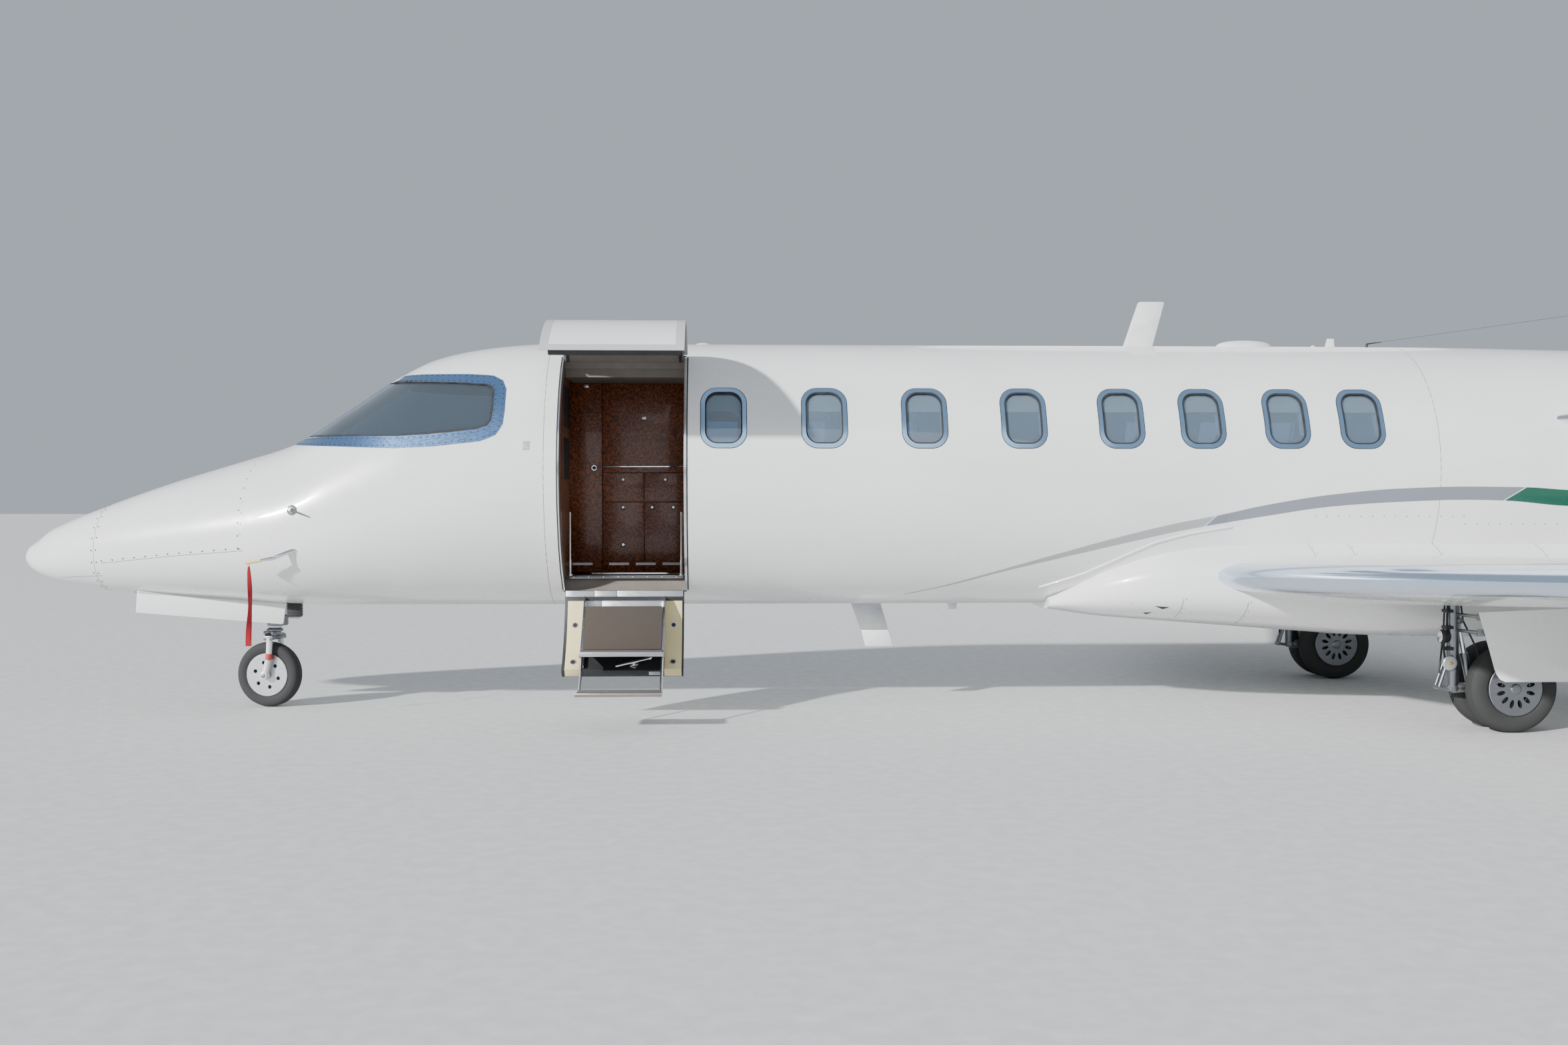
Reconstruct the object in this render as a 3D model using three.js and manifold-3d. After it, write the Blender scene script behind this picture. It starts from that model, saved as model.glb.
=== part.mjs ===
// Twin-engined business jet, parked on its gear with the entry door open.
// Millimetres, +Z up. The nose points along -X and the port side along -Y.
// The origin is on the ground, half-way along the aircraft, on the centre line.
import * as THREE from 'three';
import { mergeVertices } from 'three/addons/utils/BufferGeometryUtils.js';
import Module from 'manifold-3d';

const wasm = await Module();
wasm.setup();

// Driving dimensions
const LENGTH = 17560;
const SPAN = 14580;
const HEIGHT = 4300;
const SEAM = 0.3;          // gap between pieces that touch
const CLEAR = 6;           // gap round a piece that moves
const WALL = 90;           // cabin wall, skin to trim
const TAIL_WALL = 45;
const FLOOR_TOP = 900;
const AXIS_Z = 1643;       // height of the cabin's own axis
const HULL_SIDES = 28;

// Stations are measured aft from the tip of the nose
const RADOME_END = 600;
const NOSE_END = 1900;
const COCKPIT_END = 3700;
const CABIN_END = 9700;
const TAIL_END = 16400;

// Columns: station, top, bottom, half width, height of the widest point, upper power, lower power
const HULL = [
  [0, 1082, 1043, 22, 1063, 2.0, 2.0],
  [25, 1126, 1001, 64, 1063, 2.0, 2.0],
  [95, 1180, 947, 126, 1063, 2.0, 2.0],
  [185, 1250, 909, 186, 1067, 2.0, 2.0],
  [300, 1308, 877, 244, 1076, 2.0, 2.0],
  [490, 1385, 843, 324, 1093, 2.0, 2.0],
  [740, 1480, 809, 412, 1113, 2.0, 2.1],
  [1110, 1607, 785, 524, 1146, 2.0, 2.2],
  [1500, 1726, 762, 634, 1184, 2.0, 2.2],
  [1900, 1856, 728, 732, 1236, 2.0, 2.2],
  [2300, 2108, 719, 800, 1316, 2.1, 2.1],
  [2690, 2360, 718, 842, 1404, 2.1, 2.0],
  [2880, 2449, 718, 857, 1450, 2.05, 2.0],
  [3160, 2516, 718, 872, 1526, 2.0, 2.0],
  [3440, 2550, 718, 879, 1590, 2.0, 2.0],
  [3700, 2564, 718, 880, AXIS_Z, 2.0, 2.0],
  [9700, 2564, 718, 880, AXIS_Z, 2.0, 2.0],
  [10900, 2546, 742, 862, 1652, 2.0, 2.0],
  [12200, 2516, 880, 782, 1694, 2.0, 2.0],
  [13500, 2462, 1110, 640, 1756, 2.0, 2.0],
  [14800, 2372, 1390, 446, 1826, 2.0, 2.0],
  [15800, 2250, 1630, 262, 1886, 2.0, 2.0],
  [16400, 2096, 1790, 118, 1938, 2.0, 2.0],
];
const HULL_TOP = HULL[15][1];
const HULL_BOTTOM = HULL[15][2];
const HULL_WIDE = HULL[15][3];

// Entry door, on the port side
const DOOR_FRONT = 3800;
const DOOR_BACK = 4620;
const DOOR_TOP_ANGLE = 30;      // degrees down from the crown
const DOOR_SPLIT_ANGLE = 108.5;
const DOOR_SILL_ANGLE = 150;
const DOOR_PANEL = 60;
const HATCH_OPEN = 68;
const STAIR_OPEN = 112;
const HINGE_R = 12;
const HINGE_SEAT_R = 12.8;

// Cabin windows
const WINDOW_STATIONS = [4883, 5552, 6221, 6887, 7545, 8095, 8669, 9181];
const WINDOW_Z = 2010;
const WINDOW_WIDTH = 236;
const WINDOW_HEIGHT = 336;
const WINDOW_CORNER = 78;

// Windshield, port side: columns station and height of the glass outline seen from the side
const WINDSHIELD = [
  [1905, 1900], [2720, 1886], [2900, 1902], [3240, 1934], [3345, 1990],
  [3352, 2200], [3300, 2236], [3150, 2250], [2732, 2266], [2300, 2280],
];
const WINDSHIELD_POST = 55;
const WINDSHIELD_GLASS = 24;

// Wing
const WING_ROOT_Y = 950;
const WING_ROOT_LE = 8178;
const WING_TE = 11050;
const WING_TIP_Y = 6950;
const WING_SWEEP = Math.tan(THREE.MathUtils.degToRad(16));
const WING_RISE = Math.tan(THREE.MathUtils.degToRad(2.5));
const WING_Z = 955;
const WINGLET_TOP = 830;
const FLAP_HINGE = 0.77;
// Columns: first and last distance from the centre line
const FLAP_SPAN = [1130, 4350];
const AILERON_SPAN = [4420, 6450];
// Columns: share of chord, upper and lower surface as shares of chord
const AIRFOIL = [
  [0.015, 0.018, -0.019], [0.06, 0.032, -0.036], [0.2, 0.046, -0.058], [0.4, 0.050, -0.066],
  [0.6, 0.042, -0.055], [0.77, 0.028, -0.034], [1.0, 0.002, -0.002],
];

// Wheels: radius, width, rim radius, half the distance between twins
const NOSE_TYRE = { radius: 228.5, width: 112, rim: 150, bore: 20 };
const MAIN_TYRE = { radius: 279.5, width: 142, rim: 169, bore: 30 };
const TWIN = 115;
const WHEEL_SIDES = 20;
const NOSE_GEAR = { station: 1715, trail: -38, turned: 11 };
const MAIN_GEAR = { station: 9850, y: 1420, post: 9530 };
const GEAR_DOOR_Y = 1673;

// Engines
const ENGINE = { front: 10720, y: 1440, z: 1985, duct: 366, fan: 354, fanAt: 330, length: 2600 };
const FAN_BLADES = 16;

// Tail. Fin: heights of its foot and top, with the stations of both edges there
const FIN = { foot: 2250, top: 4125, leFoot: 13160, leTop: 15200, teFoot: 15700, teTop: 16950 };
const RUDDER = { from: 2560, to: 3960, share: 0.7, endGap: 26 };
const STAB = { z: HEIGHT - 96, leRoot: 15330, teRoot: 17020, leTip: 16640, teTip: LENGTH, half: 2500 };
const ELEVATOR = { from: 130, to: 2380, share: 0.66 };
const BULLET_R = 96;       // its top is the highest point of the aircraft
const BULLET_FRONT = 15140;
// Outline of a ventral fin: station and distance out from its foot, which lies near the hull's axis
const VENTRAL_FIN = [[13850, 0], [15650, 640], [15980, 640], [16180, 0]];
const VENTRAL = { tilt: 132, y: -190, z: 1640, half: 11 };
const TAIL_HOLLOW_END = 15600;
const TAIL_HATCH = { from: 13900, to: 14500, half: 150 };

// Nose gear bay and the doors beside it
const NOSE_BAY_SIZE = { from: 800, to: 1880, half: 175, top: 1050 };
const NOSE_DOOR = [[828, 677], [840, 836], [1858, 753], [1834, 599]];
const NOSE_DOOR_Y = [-226, -212];
const NOSE_DOOR_ARMS = [1000, 1600];

// Main gear door and leg well
const GEAR_DOOR = [[9566, 770], [9630, 560], [9680, 392], [9730, 334], [10330, 334], [10330, 800]];
const GEAR_DOOR_THICK = 18;
const LEG_WELL_SIZE = { from: 9430, to: 9630, half: 80, top: 862 };
const LAMP = { z: 596, front: 88, back: 22, r: 44 };

// Cabin furniture
const CABINET = { from: 3760, to: 4690, face: 260, top: 2380 };
const SEAT = { depth: 470, back: 110, base: 110, backTop: 600, headTop: 720 };
const CLUB_BASE = 1150;
const PILOT_BASE = 1130;
// Columns: station of the front edge, 1 with its back aft or -1 with its back forward
const CLUB_SEATS = [[5900, -1], [6560, 1], [7900, -1], [8480, 1]];
const PILOT_SEAT = 3020;
const SEAT_RAIL = { from: 5500, to: 8900, y: [200, 260], height: 16 };

// Aerials: outlines of station and height, and half their thickness
const TOP_AERIAL = [[7761, 2500], [7878, 2886], [8066, 2886], [7975, 2500]];
const BELLY_AERIAL = [[5790, 760], [5905, 407], [6102, 407], [6006, 760]];
const BELLY_FIN = [[6487, 760], [6510, 673], [6560, 673], [6569, 760]];
const TOP_FIN = [[9240, 2530], [9262, 2626], [9312, 2626], [9318, 2530]];
const AERIAL_HALF = 11;
const FIN_HALF = 5;
// Domes on the crown, columns: first and last station, half width, height above the skin
const DOMES = [[4678, 4801, 50, 14], [8440, 8856, 110, 46]];
// Columns: station, Y and Z of the pitot probe's foot, bend and tip
const PITOT = [[2060, -700, 1140], [1935, -800, 1085], [1735, -800, 1052]];

// Fairing round the wing root: columns station, bottom, half width, top
const FAIRING = [
  [7150, 692, 400, 790], [7500, 640, 690, 1050], [7850, 612, 850, 1180], [8250, 582, 930, 1232],
  [8800, 540, 975, 1245], [9400, 500, 1000, 1245], [10100, 486, 1000, 1240], [10900, 505, 980, 1220],
  [11500, 560, 920, 1170], [12100, 660, 780, 1100], [12800, 850, 480, 1020],
];

const FAIRING_SIDES = 20;
const FAIRING_POWER = 2.7;

const X = (station) => station - LENGTH / 2;
const rad = THREE.MathUtils.degToRad;

function paint(color, roughness, metalness) {
  return new THREE.MeshStandardMaterial({ color, roughness, metalness });
}

const WHITE = paint(0xf1f3f5, 0.32, 0.1);
const BARE = paint(0xc9ccd0, 0.22, 0.95);
const STEEL = paint(0x8e9296, 0.4, 0.9);
const GEAR_WHITE = paint(0xe4e4df, 0.45, 0.2);
const DARK = paint(0x23262a, 0.6, 0.3);
const RUBBER = paint(0x17181a, 0.85, 0.0);
const GLASS = paint(0x8fa6b5, 0.08, 0.0);
const WOOD = paint(0x6b2b17, 0.35, 0.0);
const LEATHER = paint(0xcfc4b0, 0.6, 0.0);
const CREAM = paint(0xe3dcc0, 0.5, 0.0);
const CARPET = paint(0x6a5d52, 0.95, 0.0);

// Geometry helpers

function volumeOf(geometry) {
  const p = geometry.attributes.position;
  const index = geometry.index;
  const a = new THREE.Vector3();
  const b = new THREE.Vector3();
  const c = new THREE.Vector3();
  let volume = 0;
  for (let i = 0; i < index.count; i += 3) {
    a.fromBufferAttribute(p, index.getX(i));
    b.fromBufferAttribute(p, index.getX(i + 1));
    c.fromBufferAttribute(p, index.getX(i + 2));
    volume += a.dot(b.cross(c)) / 6;
  }
  return volume;
}

function flipped(geometry) {
  const index = geometry.index.array;
  for (let i = 0; i < index.length; i += 3) {
    const keep = index[i];
    index[i] = index[i + 1];
    index[i + 1] = keep;
  }
  return geometry;
}

function closed(geometry) {
  const bare = geometry.clone();
  bare.deleteAttribute('normal');
  bare.deleteAttribute('uv');
  const merged = mergeVertices(bare, 1e-3);
  return volumeOf(merged) < 0 ? flipped(merged) : merged;
}

function toSolid(geometry) {
  const merged = closed(geometry);
  const vertProperties = new Float32Array(merged.attributes.position.array);
  const triVerts = new Uint32Array(merged.index.array);
  return new wasm.Manifold(new wasm.Mesh({ numProp: 3, vertProperties, triVerts }));
}

function fromSolid(solid) {
  const mesh = solid.getMesh();
  const geometry = new THREE.BufferGeometry();
  geometry.setAttribute('position', new THREE.BufferAttribute(new Float32Array(mesh.vertProperties), 3));
  geometry.setIndex(new THREE.BufferAttribute(new Uint32Array(mesh.triVerts), 1));
  geometry.computeVertexNormals();
  return geometry;
}

function fuse(...geometries) {
  return fromSolid(geometries.map(toSolid).reduce((sum, next) => sum.add(next)));
}

function cut(geometry, ...tools) {
  return fromSolid(tools.map(toSolid).reduce((rest, tool) => rest.subtract(tool), toSolid(geometry)));
}

function common(geometry, ...others) {
  return fromSolid(others.map(toSolid).reduce((rest, other) => rest.intersect(other), toSolid(geometry)));
}

// Closed body through rings of points that all have the same count.
// Its faces are split the same way on both sides, so that port and starboard match.
function loft(rings) {
  const count = rings[0].length;
  const points = rings.flat();
  const faces = [];
  for (let r = 0; r + 1 < rings.length; r += 1) {
    for (let i = 0; i < count; i += 1) {
      const a = r * count + i;
      const b = r * count + (i + 1) % count;
      const across = points[a].y + points[b].y + points[a + count].y + points[b + count].y;
      if (across > 0) faces.push(a, b, b + count, a, b + count, a + count);
      else faces.push(a, b, a + count, b, b + count, a + count);
    }
  }
  for (const [ring, turn] of [[0, 1], [rings.length - 1, -1]]) {
    const centre = new THREE.Vector3();
    rings[ring].forEach((point) => centre.add(point));
    points.push(centre.divideScalar(count));
    for (let i = 0; i < count; i += 1) {
      const a = ring * count + i;
      const b = ring * count + (i + 1) % count;
      faces.push(points.length - 1, turn > 0 ? b : a, turn > 0 ? a : b);
    }
  }
  const geometry = new THREE.BufferGeometry().setFromPoints(points);
  geometry.setIndex(faces);
  return closed(geometry);
}

function box(x0, x1, y0, y1, z0, z1) {
  const geometry = new THREE.BoxGeometry(x1 - x0, y1 - y0, z1 - z0);
  return closed(geometry.translate((x0 + x1) / 2, (y0 + y1) / 2, (z0 + z1) / 2));
}

// Round bar from one point to another
function bar(from, to, r0, r1 = r0, sides = 10) {
  const a = new THREE.Vector3(...from);
  const b = new THREE.Vector3(...to);
  const geometry = new THREE.CylinderGeometry(r1, r0, a.distanceTo(b), sides);
  const turn = new THREE.Quaternion().setFromUnitVectors(
    new THREE.Vector3(0, 1, 0), b.clone().sub(a).normalize());
  geometry.applyQuaternion(turn);
  return closed(geometry.translate(...a.add(b).multiplyScalar(0.5).toArray()));
}

// Closed ring or body turned about an axis, from points of distance along it and radius
function turned(profile, axis, sides = 20, start = 0) {
  const points = [...profile, profile[0]].map(([along, radius]) => new THREE.Vector2(radius, along));
  const geometry = new THREE.LatheGeometry(points, sides, start);
  if (axis === 'x') geometry.rotateZ(-Math.PI / 2);
  if (axis === 'z') geometry.rotateX(Math.PI / 2);
  return closed(geometry);
}

// Plate with a side-view outline, between two distances from the centre line
function sidePlate(outline, y0, y1) {
  const shape = new THREE.Shape(outline.map(([x, z]) => new THREE.Vector2(x, z)));
  const geometry = new THREE.ExtrudeGeometry(shape, { depth: y1 - y0, bevelEnabled: false });
  geometry.rotateX(Math.PI / 2);
  geometry.translate(0, y1, 0);
  return closed(geometry);
}

// Plate with an outline in a plane across the aircraft, between two places along it
function crossPlate(outline, x0, x1) {
  const shape = new THREE.Shape(outline.map(([y, z]) => new THREE.Vector2(y, z)));
  const geometry = new THREE.ExtrudeGeometry(shape, { depth: x1 - x0, bevelEnabled: false });
  geometry.applyMatrix4(new THREE.Matrix4().set(0, 0, 1, x0, 1, 0, 0, 0, 0, 1, 0, 0, 0, 0, 0, 1));
  return closed(geometry);
}

function mirrored(geometry) {
  return closed(geometry.clone().scale(1, -1, 1));
}

const aircraft = new THREE.Group();

function piece(name, geometry, material, parent = aircraft) {
  const mesh = new THREE.Mesh(geometry, material);
  mesh.name = name;
  parent.add(mesh);
  return mesh;
}

// Makes the port piece from its geometry, and the starboard piece as its mirror image
function pair(name, geometry, material) {
  piece(`${name}_port`, geometry, material);
  piece(`${name}_starboard`, mirrored(geometry), material);
}

// Fuselage

function hullRow(station) {
  let i = 0;
  while (i < HULL.length - 2 && station > HULL[i + 1][0]) i += 1;
  const [a, b] = [HULL[i], HULL[i + 1]];
  const t = (station - a[0]) / (b[0] - a[0]);
  return a.map((value, column) => value + (b[column] - value) * t);
}

function bent(value, power) {
  return Math.sign(value) * Math.abs(value) ** (2 / power);
}

function hullRing(station, grow = 0, sides = HULL_SIDES) {
  const [, top, bottom, half, wide, upper, lower] = hullRow(station);
  const ring = [];
  for (let i = 0; i < sides; i += 1) {
    const angle = (i / sides) * 2 * Math.PI;
    const rise = Math.sin(angle);
    const power = rise > 0 ? upper : lower;
    const height = (rise > 0 ? top - wide : wide - bottom) + grow;
    ring.push(new THREE.Vector3(
      X(station), (half + grow) * bent(Math.cos(angle), power), wide + height * bent(rise, power)));
  }
  return ring;
}

function hullBody(from, to, grow = 0, sides = HULL_SIDES) {
  const inside = HULL.map((row) => row[0]).filter((station) => station > from && station < to);
  return loft([from, ...inside, to].map((station) => hullRing(station, grow, sides)));
}

// Cabin and tail with room for a seam, to trim what is fitted on them
const FITTED = hullBody(COCKPIT_END, TAIL_END, SEAM);

// Point of the cabin's skin at an angle down from the crown on the port side, moved in by a depth
function skinPoint(degrees, depth = 0) {
  const angle = rad(degrees);
  const height = degrees < 90 ? HULL_TOP - AXIS_Z : AXIS_Z - HULL_BOTTOM;
  return [-(HULL_WIDE - depth) * Math.sin(angle), AXIS_Z + (height - depth) * Math.cos(angle)];
}

function windowHole(station, shrink, y0, y1) {
  const w = WINDOW_WIDTH / 2 - shrink;
  const h = WINDOW_HEIGHT / 2 - shrink;
  const r = WINDOW_CORNER - shrink;
  const outline = [];
  for (const [cx, cz, start] of [[w - r, h - r, 0], [r - w, h - r, 90], [r - w, r - h, 180], [w - r, r - h, 270]]) {
    for (const step of [0, 45, 90]) {
      const angle = rad(start + step);
      outline.push([X(station) + cx + r * Math.cos(angle), WINDOW_Z + cz + r * Math.sin(angle)]);
    }
  }
  return sidePlate(outline, y0, y1);
}

function doorHole() {
  const far = (degrees) => skinPoint(degrees, -520);
  const near = (degrees) => skinPoint(degrees, 260);
  const outline = [near(DOOR_TOP_ANGLE), far(DOOR_TOP_ANGLE), far(90), far(DOOR_SILL_ANGLE), near(DOOR_SILL_ANGLE)];
  return crossPlate(outline, X(DOOR_FRONT), X(DOOR_BACK));
}

function hingeSeat(degrees) {
  const [y, z] = skinPoint(degrees);
  return bar([X(DOOR_FRONT + 40), y, z], [X(DOOR_BACK - 40), y, z], HINGE_SEAT_R, HINGE_SEAT_R, 16);
}

const NOSE_BAY = box(
  X(NOSE_BAY_SIZE.from), X(NOSE_BAY_SIZE.to), -NOSE_BAY_SIZE.half, NOSE_BAY_SIZE.half, 500, NOSE_BAY_SIZE.top);
const windshieldCut = sidePlate(WINDSHIELD.map(([s, z]) => [X(s), z]), -1200, -WINDSHIELD_POST);

function fuselage() {
  piece('radome', hullBody(0, RADOME_END - SEAM), WHITE);
  piece('nose_section', cut(hullBody(RADOME_END, NOSE_END - SEAM), NOSE_BAY), WHITE);

  const cockpit = cut(
    hullBody(NOSE_END, COCKPIT_END - SEAM),
    hullBody(NOSE_END + 60, COCKPIT_END + 1, -WALL),
    windshieldCut,
    mirrored(windshieldCut));
  piece('cockpit_shell', cockpit, WHITE);

  const holes = WINDOW_STATIONS.map((station) => windowHole(station, 0, -1200, 1200));
  const cabin = cut(
    cut(hullBody(COCKPIT_END, CABIN_END - SEAM), hullBody(COCKPIT_END - 1, CABIN_END + 1, -WALL)),
    doorHole(),
    hingeSeat(DOOR_TOP_ANGLE),
    hingeSeat(DOOR_SILL_ANGLE),
    ...holes);
  const blade = (outline) => sidePlate(outline.map(([s, z]) => [X(s), z]), -FIN_HALF, FIN_HALF);
  const inside = hullBody(COCKPIT_END, CABIN_END - SEAM, -WALL / 2);
  const fittings = [blade(BELLY_FIN), blade(TOP_FIN), ...DOMES.map(dome)].map((fitting) => cut(fitting, inside));
  piece('cabin_shell', fuse(cabin, ...fittings), WHITE);

  const fin = ventralFin();
  piece('aft_fuselage', cut(fuse(hullBody(CABIN_END, TAIL_END), fin, mirrored(fin)), tailHollow()), WHITE);
}

// Low cover on the crown, as a flat-footed body whose foot lies in the skin
function dome([from, to, half, rise]) {
  const middle = (from + to) / 2;
  const foot = HULL_TOP - WALL / 3;
  const ring = (share, height) => [0, 45, 90, 135, 180, 225, 270, 315].map((turn) => new THREE.Vector3(
    X(middle + share * ((to - from) / 2) * Math.cos(rad(turn))), share * half * Math.sin(rad(turn)), height));
  return loft([ring(1, foot), ring(1, HULL_TOP - half / 12), ring(0.8, HULL_TOP + 0.62 * rise), ring(0.4, HULL_TOP + rise)]);
}

// The tail is a thin shell with a bulkhead behind the cabin and an access hole under it
function tailHollow() {
  const hollow = hullBody(CABIN_END + 60, TAIL_HOLLOW_END, -TAIL_WALL);
  const { from, to, half } = TAIL_HATCH;
  return fuse(hollow, box(X(from), X(to), -half, half, 700, 1500));
}

function ventralFin() {
  const plate = sidePlate(VENTRAL_FIN.map(([s, out]) => [X(s), out]), -VENTRAL.half, VENTRAL.half);
  plate.rotateX(rad(VENTRAL.tilt));
  return plate.translate(0, VENTRAL.y, VENTRAL.z);
}

function glazing() {
  const shell = cut(hullBody(NOSE_END, COCKPIT_END, -SEAM), hullBody(NOSE_END + 40, COCKPIT_END, -WINDSHIELD_GLASS));
  const outline = WINDSHIELD.map(([s, z]) => [X(s), z]);
  const middle = [X(2800), 2060];
  const shrunk = outline.map(([x, z]) => [x + Math.sign(middle[0] - x) * 1, z + Math.sign(middle[1] - z) * 1]);
  pair('windshield', common(shell, sidePlate(shrunk, -1200, -WINDSHIELD_POST - 1)), GLASS);

  const strip = common(
    cut(hullBody(4700, 9400, -WALL - SEAM), hullBody(4699, 9401, -WALL - 6)),
    box(X(4700), X(9400), -1000, -300, WINDOW_Z - 210, WINDOW_Z + 210));
  const skinInside = hullBody(4700, 9400, -8);
  const panes = WINDOW_STATIONS.map((station) => common(windowHole(station, 1.5, -1200, -660), skinInside));
  pair('cabin_glazing', fuse(strip, ...panes), GLASS);
}

// Entry door: two halves hinged at the top and at the sill

function doorPanel(from, to, hinge) {
  const steps = 6;
  const outline = [];
  for (let i = 0; i <= steps; i += 1) outline.push(skinPoint(from + ((to - from) * i) / steps));
  for (let i = steps; i >= 0; i -= 1) outline.push(skinPoint(from + ((to - from) * i) / steps, DOOR_PANEL));
  const moved = outline.map(([y, z]) => [y - hinge[0], z - hinge[1]]);
  return crossPlate(moved, X(DOOR_FRONT + CLEAR), X(DOOR_BACK - CLEAR));
}

function hingeBarrel() {
  return bar([X(DOOR_FRONT + 42), 0, 0], [X(DOOR_BACK - 42), 0, 0], HINGE_R);
}

const DOOR_GAP = THREE.MathUtils.radToDeg(CLEAR / HULL_WIDE);
const SILL_HINGE = skinPoint(DOOR_SILL_ANGLE);

function lowerPanel() {
  return doorPanel(DOOR_SILL_ANGLE - DOOR_GAP, DOOR_SPLIT_ANGLE + DOOR_GAP / 2, SILL_HINGE);
}

function entryDoor() {
  const top = skinPoint(DOOR_TOP_ANGLE);
  const hatch = piece('upper_hatch', fuse(
    doorPanel(DOOR_TOP_ANGLE + DOOR_GAP, DOOR_SPLIT_ANGLE - DOOR_GAP / 2, top),
    box(X(DOOR_FRONT + 60), X(DOOR_BACK - 60), -16, -4, -12, 0),
    hingeBarrel()), WHITE);
  hatch.position.set(0, top[0], top[1]);
  hatch.rotation.x = -rad(HATCH_OPEN);

  const stair = piece('lower_airstair', fuse(
    lowerPanel(),
    box(X(DOOR_FRONT + 60), X(DOOR_BACK - 60), -14, -2, -2, 12),
    hingeBarrel()), CREAM);
  stair.position.set(0, ...SILL_HINGE);
  stair.rotation.x = rad(STAIR_OPEN);
}

// Sill plate with the two hand rails of the doorway
function doorway() {
  const plate = insideOf(box(X(DOOR_FRONT + 16), X(DOOR_BACK - 16), -392, -338, 903, 938));
  const rails = [DOOR_FRONT + 28, DOOR_BACK - 28].map(
    (station) => bar([X(station), -376, 930], [X(station), -376, 1380], 9));
  piece('door_sill', fuse(plate, ...rails), BARE);
}

// Steps on the lower half of the door, drawn as it hangs open, with cheeks that seat on its inner face
function airstairSteps() {
  const [first, last] = [X(3940), X(4490)];
  const profile = [[-575, 812], [-545, 790], [-1128, 225], [-1330, 225], [-1330, 245], [-1136, 245]];
  const rails = [first, last - 20].map((x) => crossPlate(profile, x, x + 20));
  const riser = crossPlate([[-640, 740], [-626, 727], [-905, 457], [-918, 470]], first + 1, last - 1);
  const upper = crossPlate([[-898, 452], [-1020, 452], [-1020, 472], [-898, 472]], first + 1, last - 1);
  const lower = box(first + 1, last - 1, -1330, -1140, 225, 245);
  const brackets = [first, last - 20].map((x) => box(x, x + 20, -1020, -880, 440, 472));
  const cheek = [[-575, 812], [-498, 800], [-560, 600], [-650, 470], [-905, 457]];
  const cheeks = [first, last - 20].map((x) => crossPlate(cheek, x, x + 20));
  const middle = rad((DOOR_SILL_ANGLE + DOOR_SPLIT_ANGLE) / 2);
  const seats = [0, SEAM].map((inward) => lowerPanel()
    .translate(0, inward * Math.sin(middle), -inward * Math.cos(middle))
    .rotateX(rad(STAIR_OPEN))
    .translate(0, ...SILL_HINGE));
  piece('airstair_steps', cut(fuse(...rails, riser, upper, lower, ...brackets, ...cheeks), ...seats), BARE);
}

// Cabin

function insideOf(geometry) {
  return common(geometry, hullBody(NOSE_END + 61, CABIN_END - 1, -WALL - SEAM));
}

// Seat for one, from its front edge; turn is 1 when its back is aft and -1 when it is forward
function seat(station, turn, inner, outer, base) {
  const side = Math.sign(outer);
  const across = (a, b) => [Math.min(side * a, side * b), Math.max(side * a, side * b)];
  const [y0, y1] = across(Math.abs(inner), Math.abs(outer));
  const along = (a, b) => [X(station + turn * a), X(station + turn * b)].sort((p, q) => p - q);
  const { depth, back: thick, base: height, backTop, headTop } = SEAT;
  const cushion = box(...along(0, depth), y0, y1, base, base + height);
  const back = box(...along(depth + 40 - thick, depth + 40), y0 + 8, y1 - 8, base + height - 20, base + backTop);
  const head = box(...along(depth + 50 - thick, depth + 20), y0 + 80, y1 - 80, base + backTop - 10, base + headTop);
  const foot = box(...along(120, 360), ...across(170, 290), FLOOR_TOP + SEAM, base + 20);
  return fuse(cushion, back, head, foot);
}

function cabin() {
  piece('cabin_floor', insideOf(box(X(1965), X(9695), -420, 420, FLOOR_TOP - 40, FLOOR_TOP)), CARPET);
  piece('galley_cabinet', insideOf(
    box(X(CABINET.from), X(CABINET.to), CABINET.face, HULL_WIDE, FLOOR_TOP + SEAM, CABINET.top)), WOOD);
  piece('instrument_panel', insideOf(fuse(
    box(X(2480), X(2560), -640, 640, 1320, 1790),
    box(X(2330), X(2600), -640, 640, 1770, 1802),
    box(X(2540), X(3120), -115, 115, FLOOR_TOP + SEAM, 1340))), DARK);
  piece('pilot_seats', fuse(
    seat(PILOT_SEAT, 1, -190, -590, PILOT_BASE),
    seat(PILOT_SEAT, 1, 190, 590, PILOT_BASE),
    box(X(3180), X(3340), -240, 240, FLOOR_TOP + SEAM, FLOOR_TOP + 16)), LEATHER);
  for (const [name, side] of [['port', -1], ['starboard', 1]]) {
    const seats = CLUB_SEATS.map(([station, turn]) => seat(station, turn, side * 150, side * 600, CLUB_BASE));
    const { from, to, y, height } = SEAT_RAIL;
    const rail = y.map((value) => side * value).sort((a, b) => a - b);
    const track = box(X(from), X(to), ...rail, FLOOR_TOP + SEAM, FLOOR_TOP + height);
    piece(`cabin_seats_${name}`, fuse(track, ...seats), LEATHER);
  }
}

// Wing

const chordAt = (y) => WING_TE - edgeAt(y);

function edgeAt(y) {
  return WING_ROOT_LE + (y - WING_ROOT_Y) * WING_SWEEP;
}

function wingZ(y) {
  return WING_Z + (y - WING_ROOT_Y) * WING_RISE;
}

// Aerofoil ring from its leading edge, with the direction of its upper side
function foilRing(leading, chord, up, thick = 1, shape = AIRFOIL) {
  const at = ([share, above, below], upper) => leading.clone()
    .add(new THREE.Vector3(share * chord, 0, 0))
    .addScaledVector(up, (upper ? above : below) * chord * thick);
  const upperSide = shape.map((row) => at(row, true));
  const lowerSide = shape.map((row) => at(row, false)).reverse();
  return [leading.clone(), ...upperSide, ...lowerSide];
}

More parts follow.
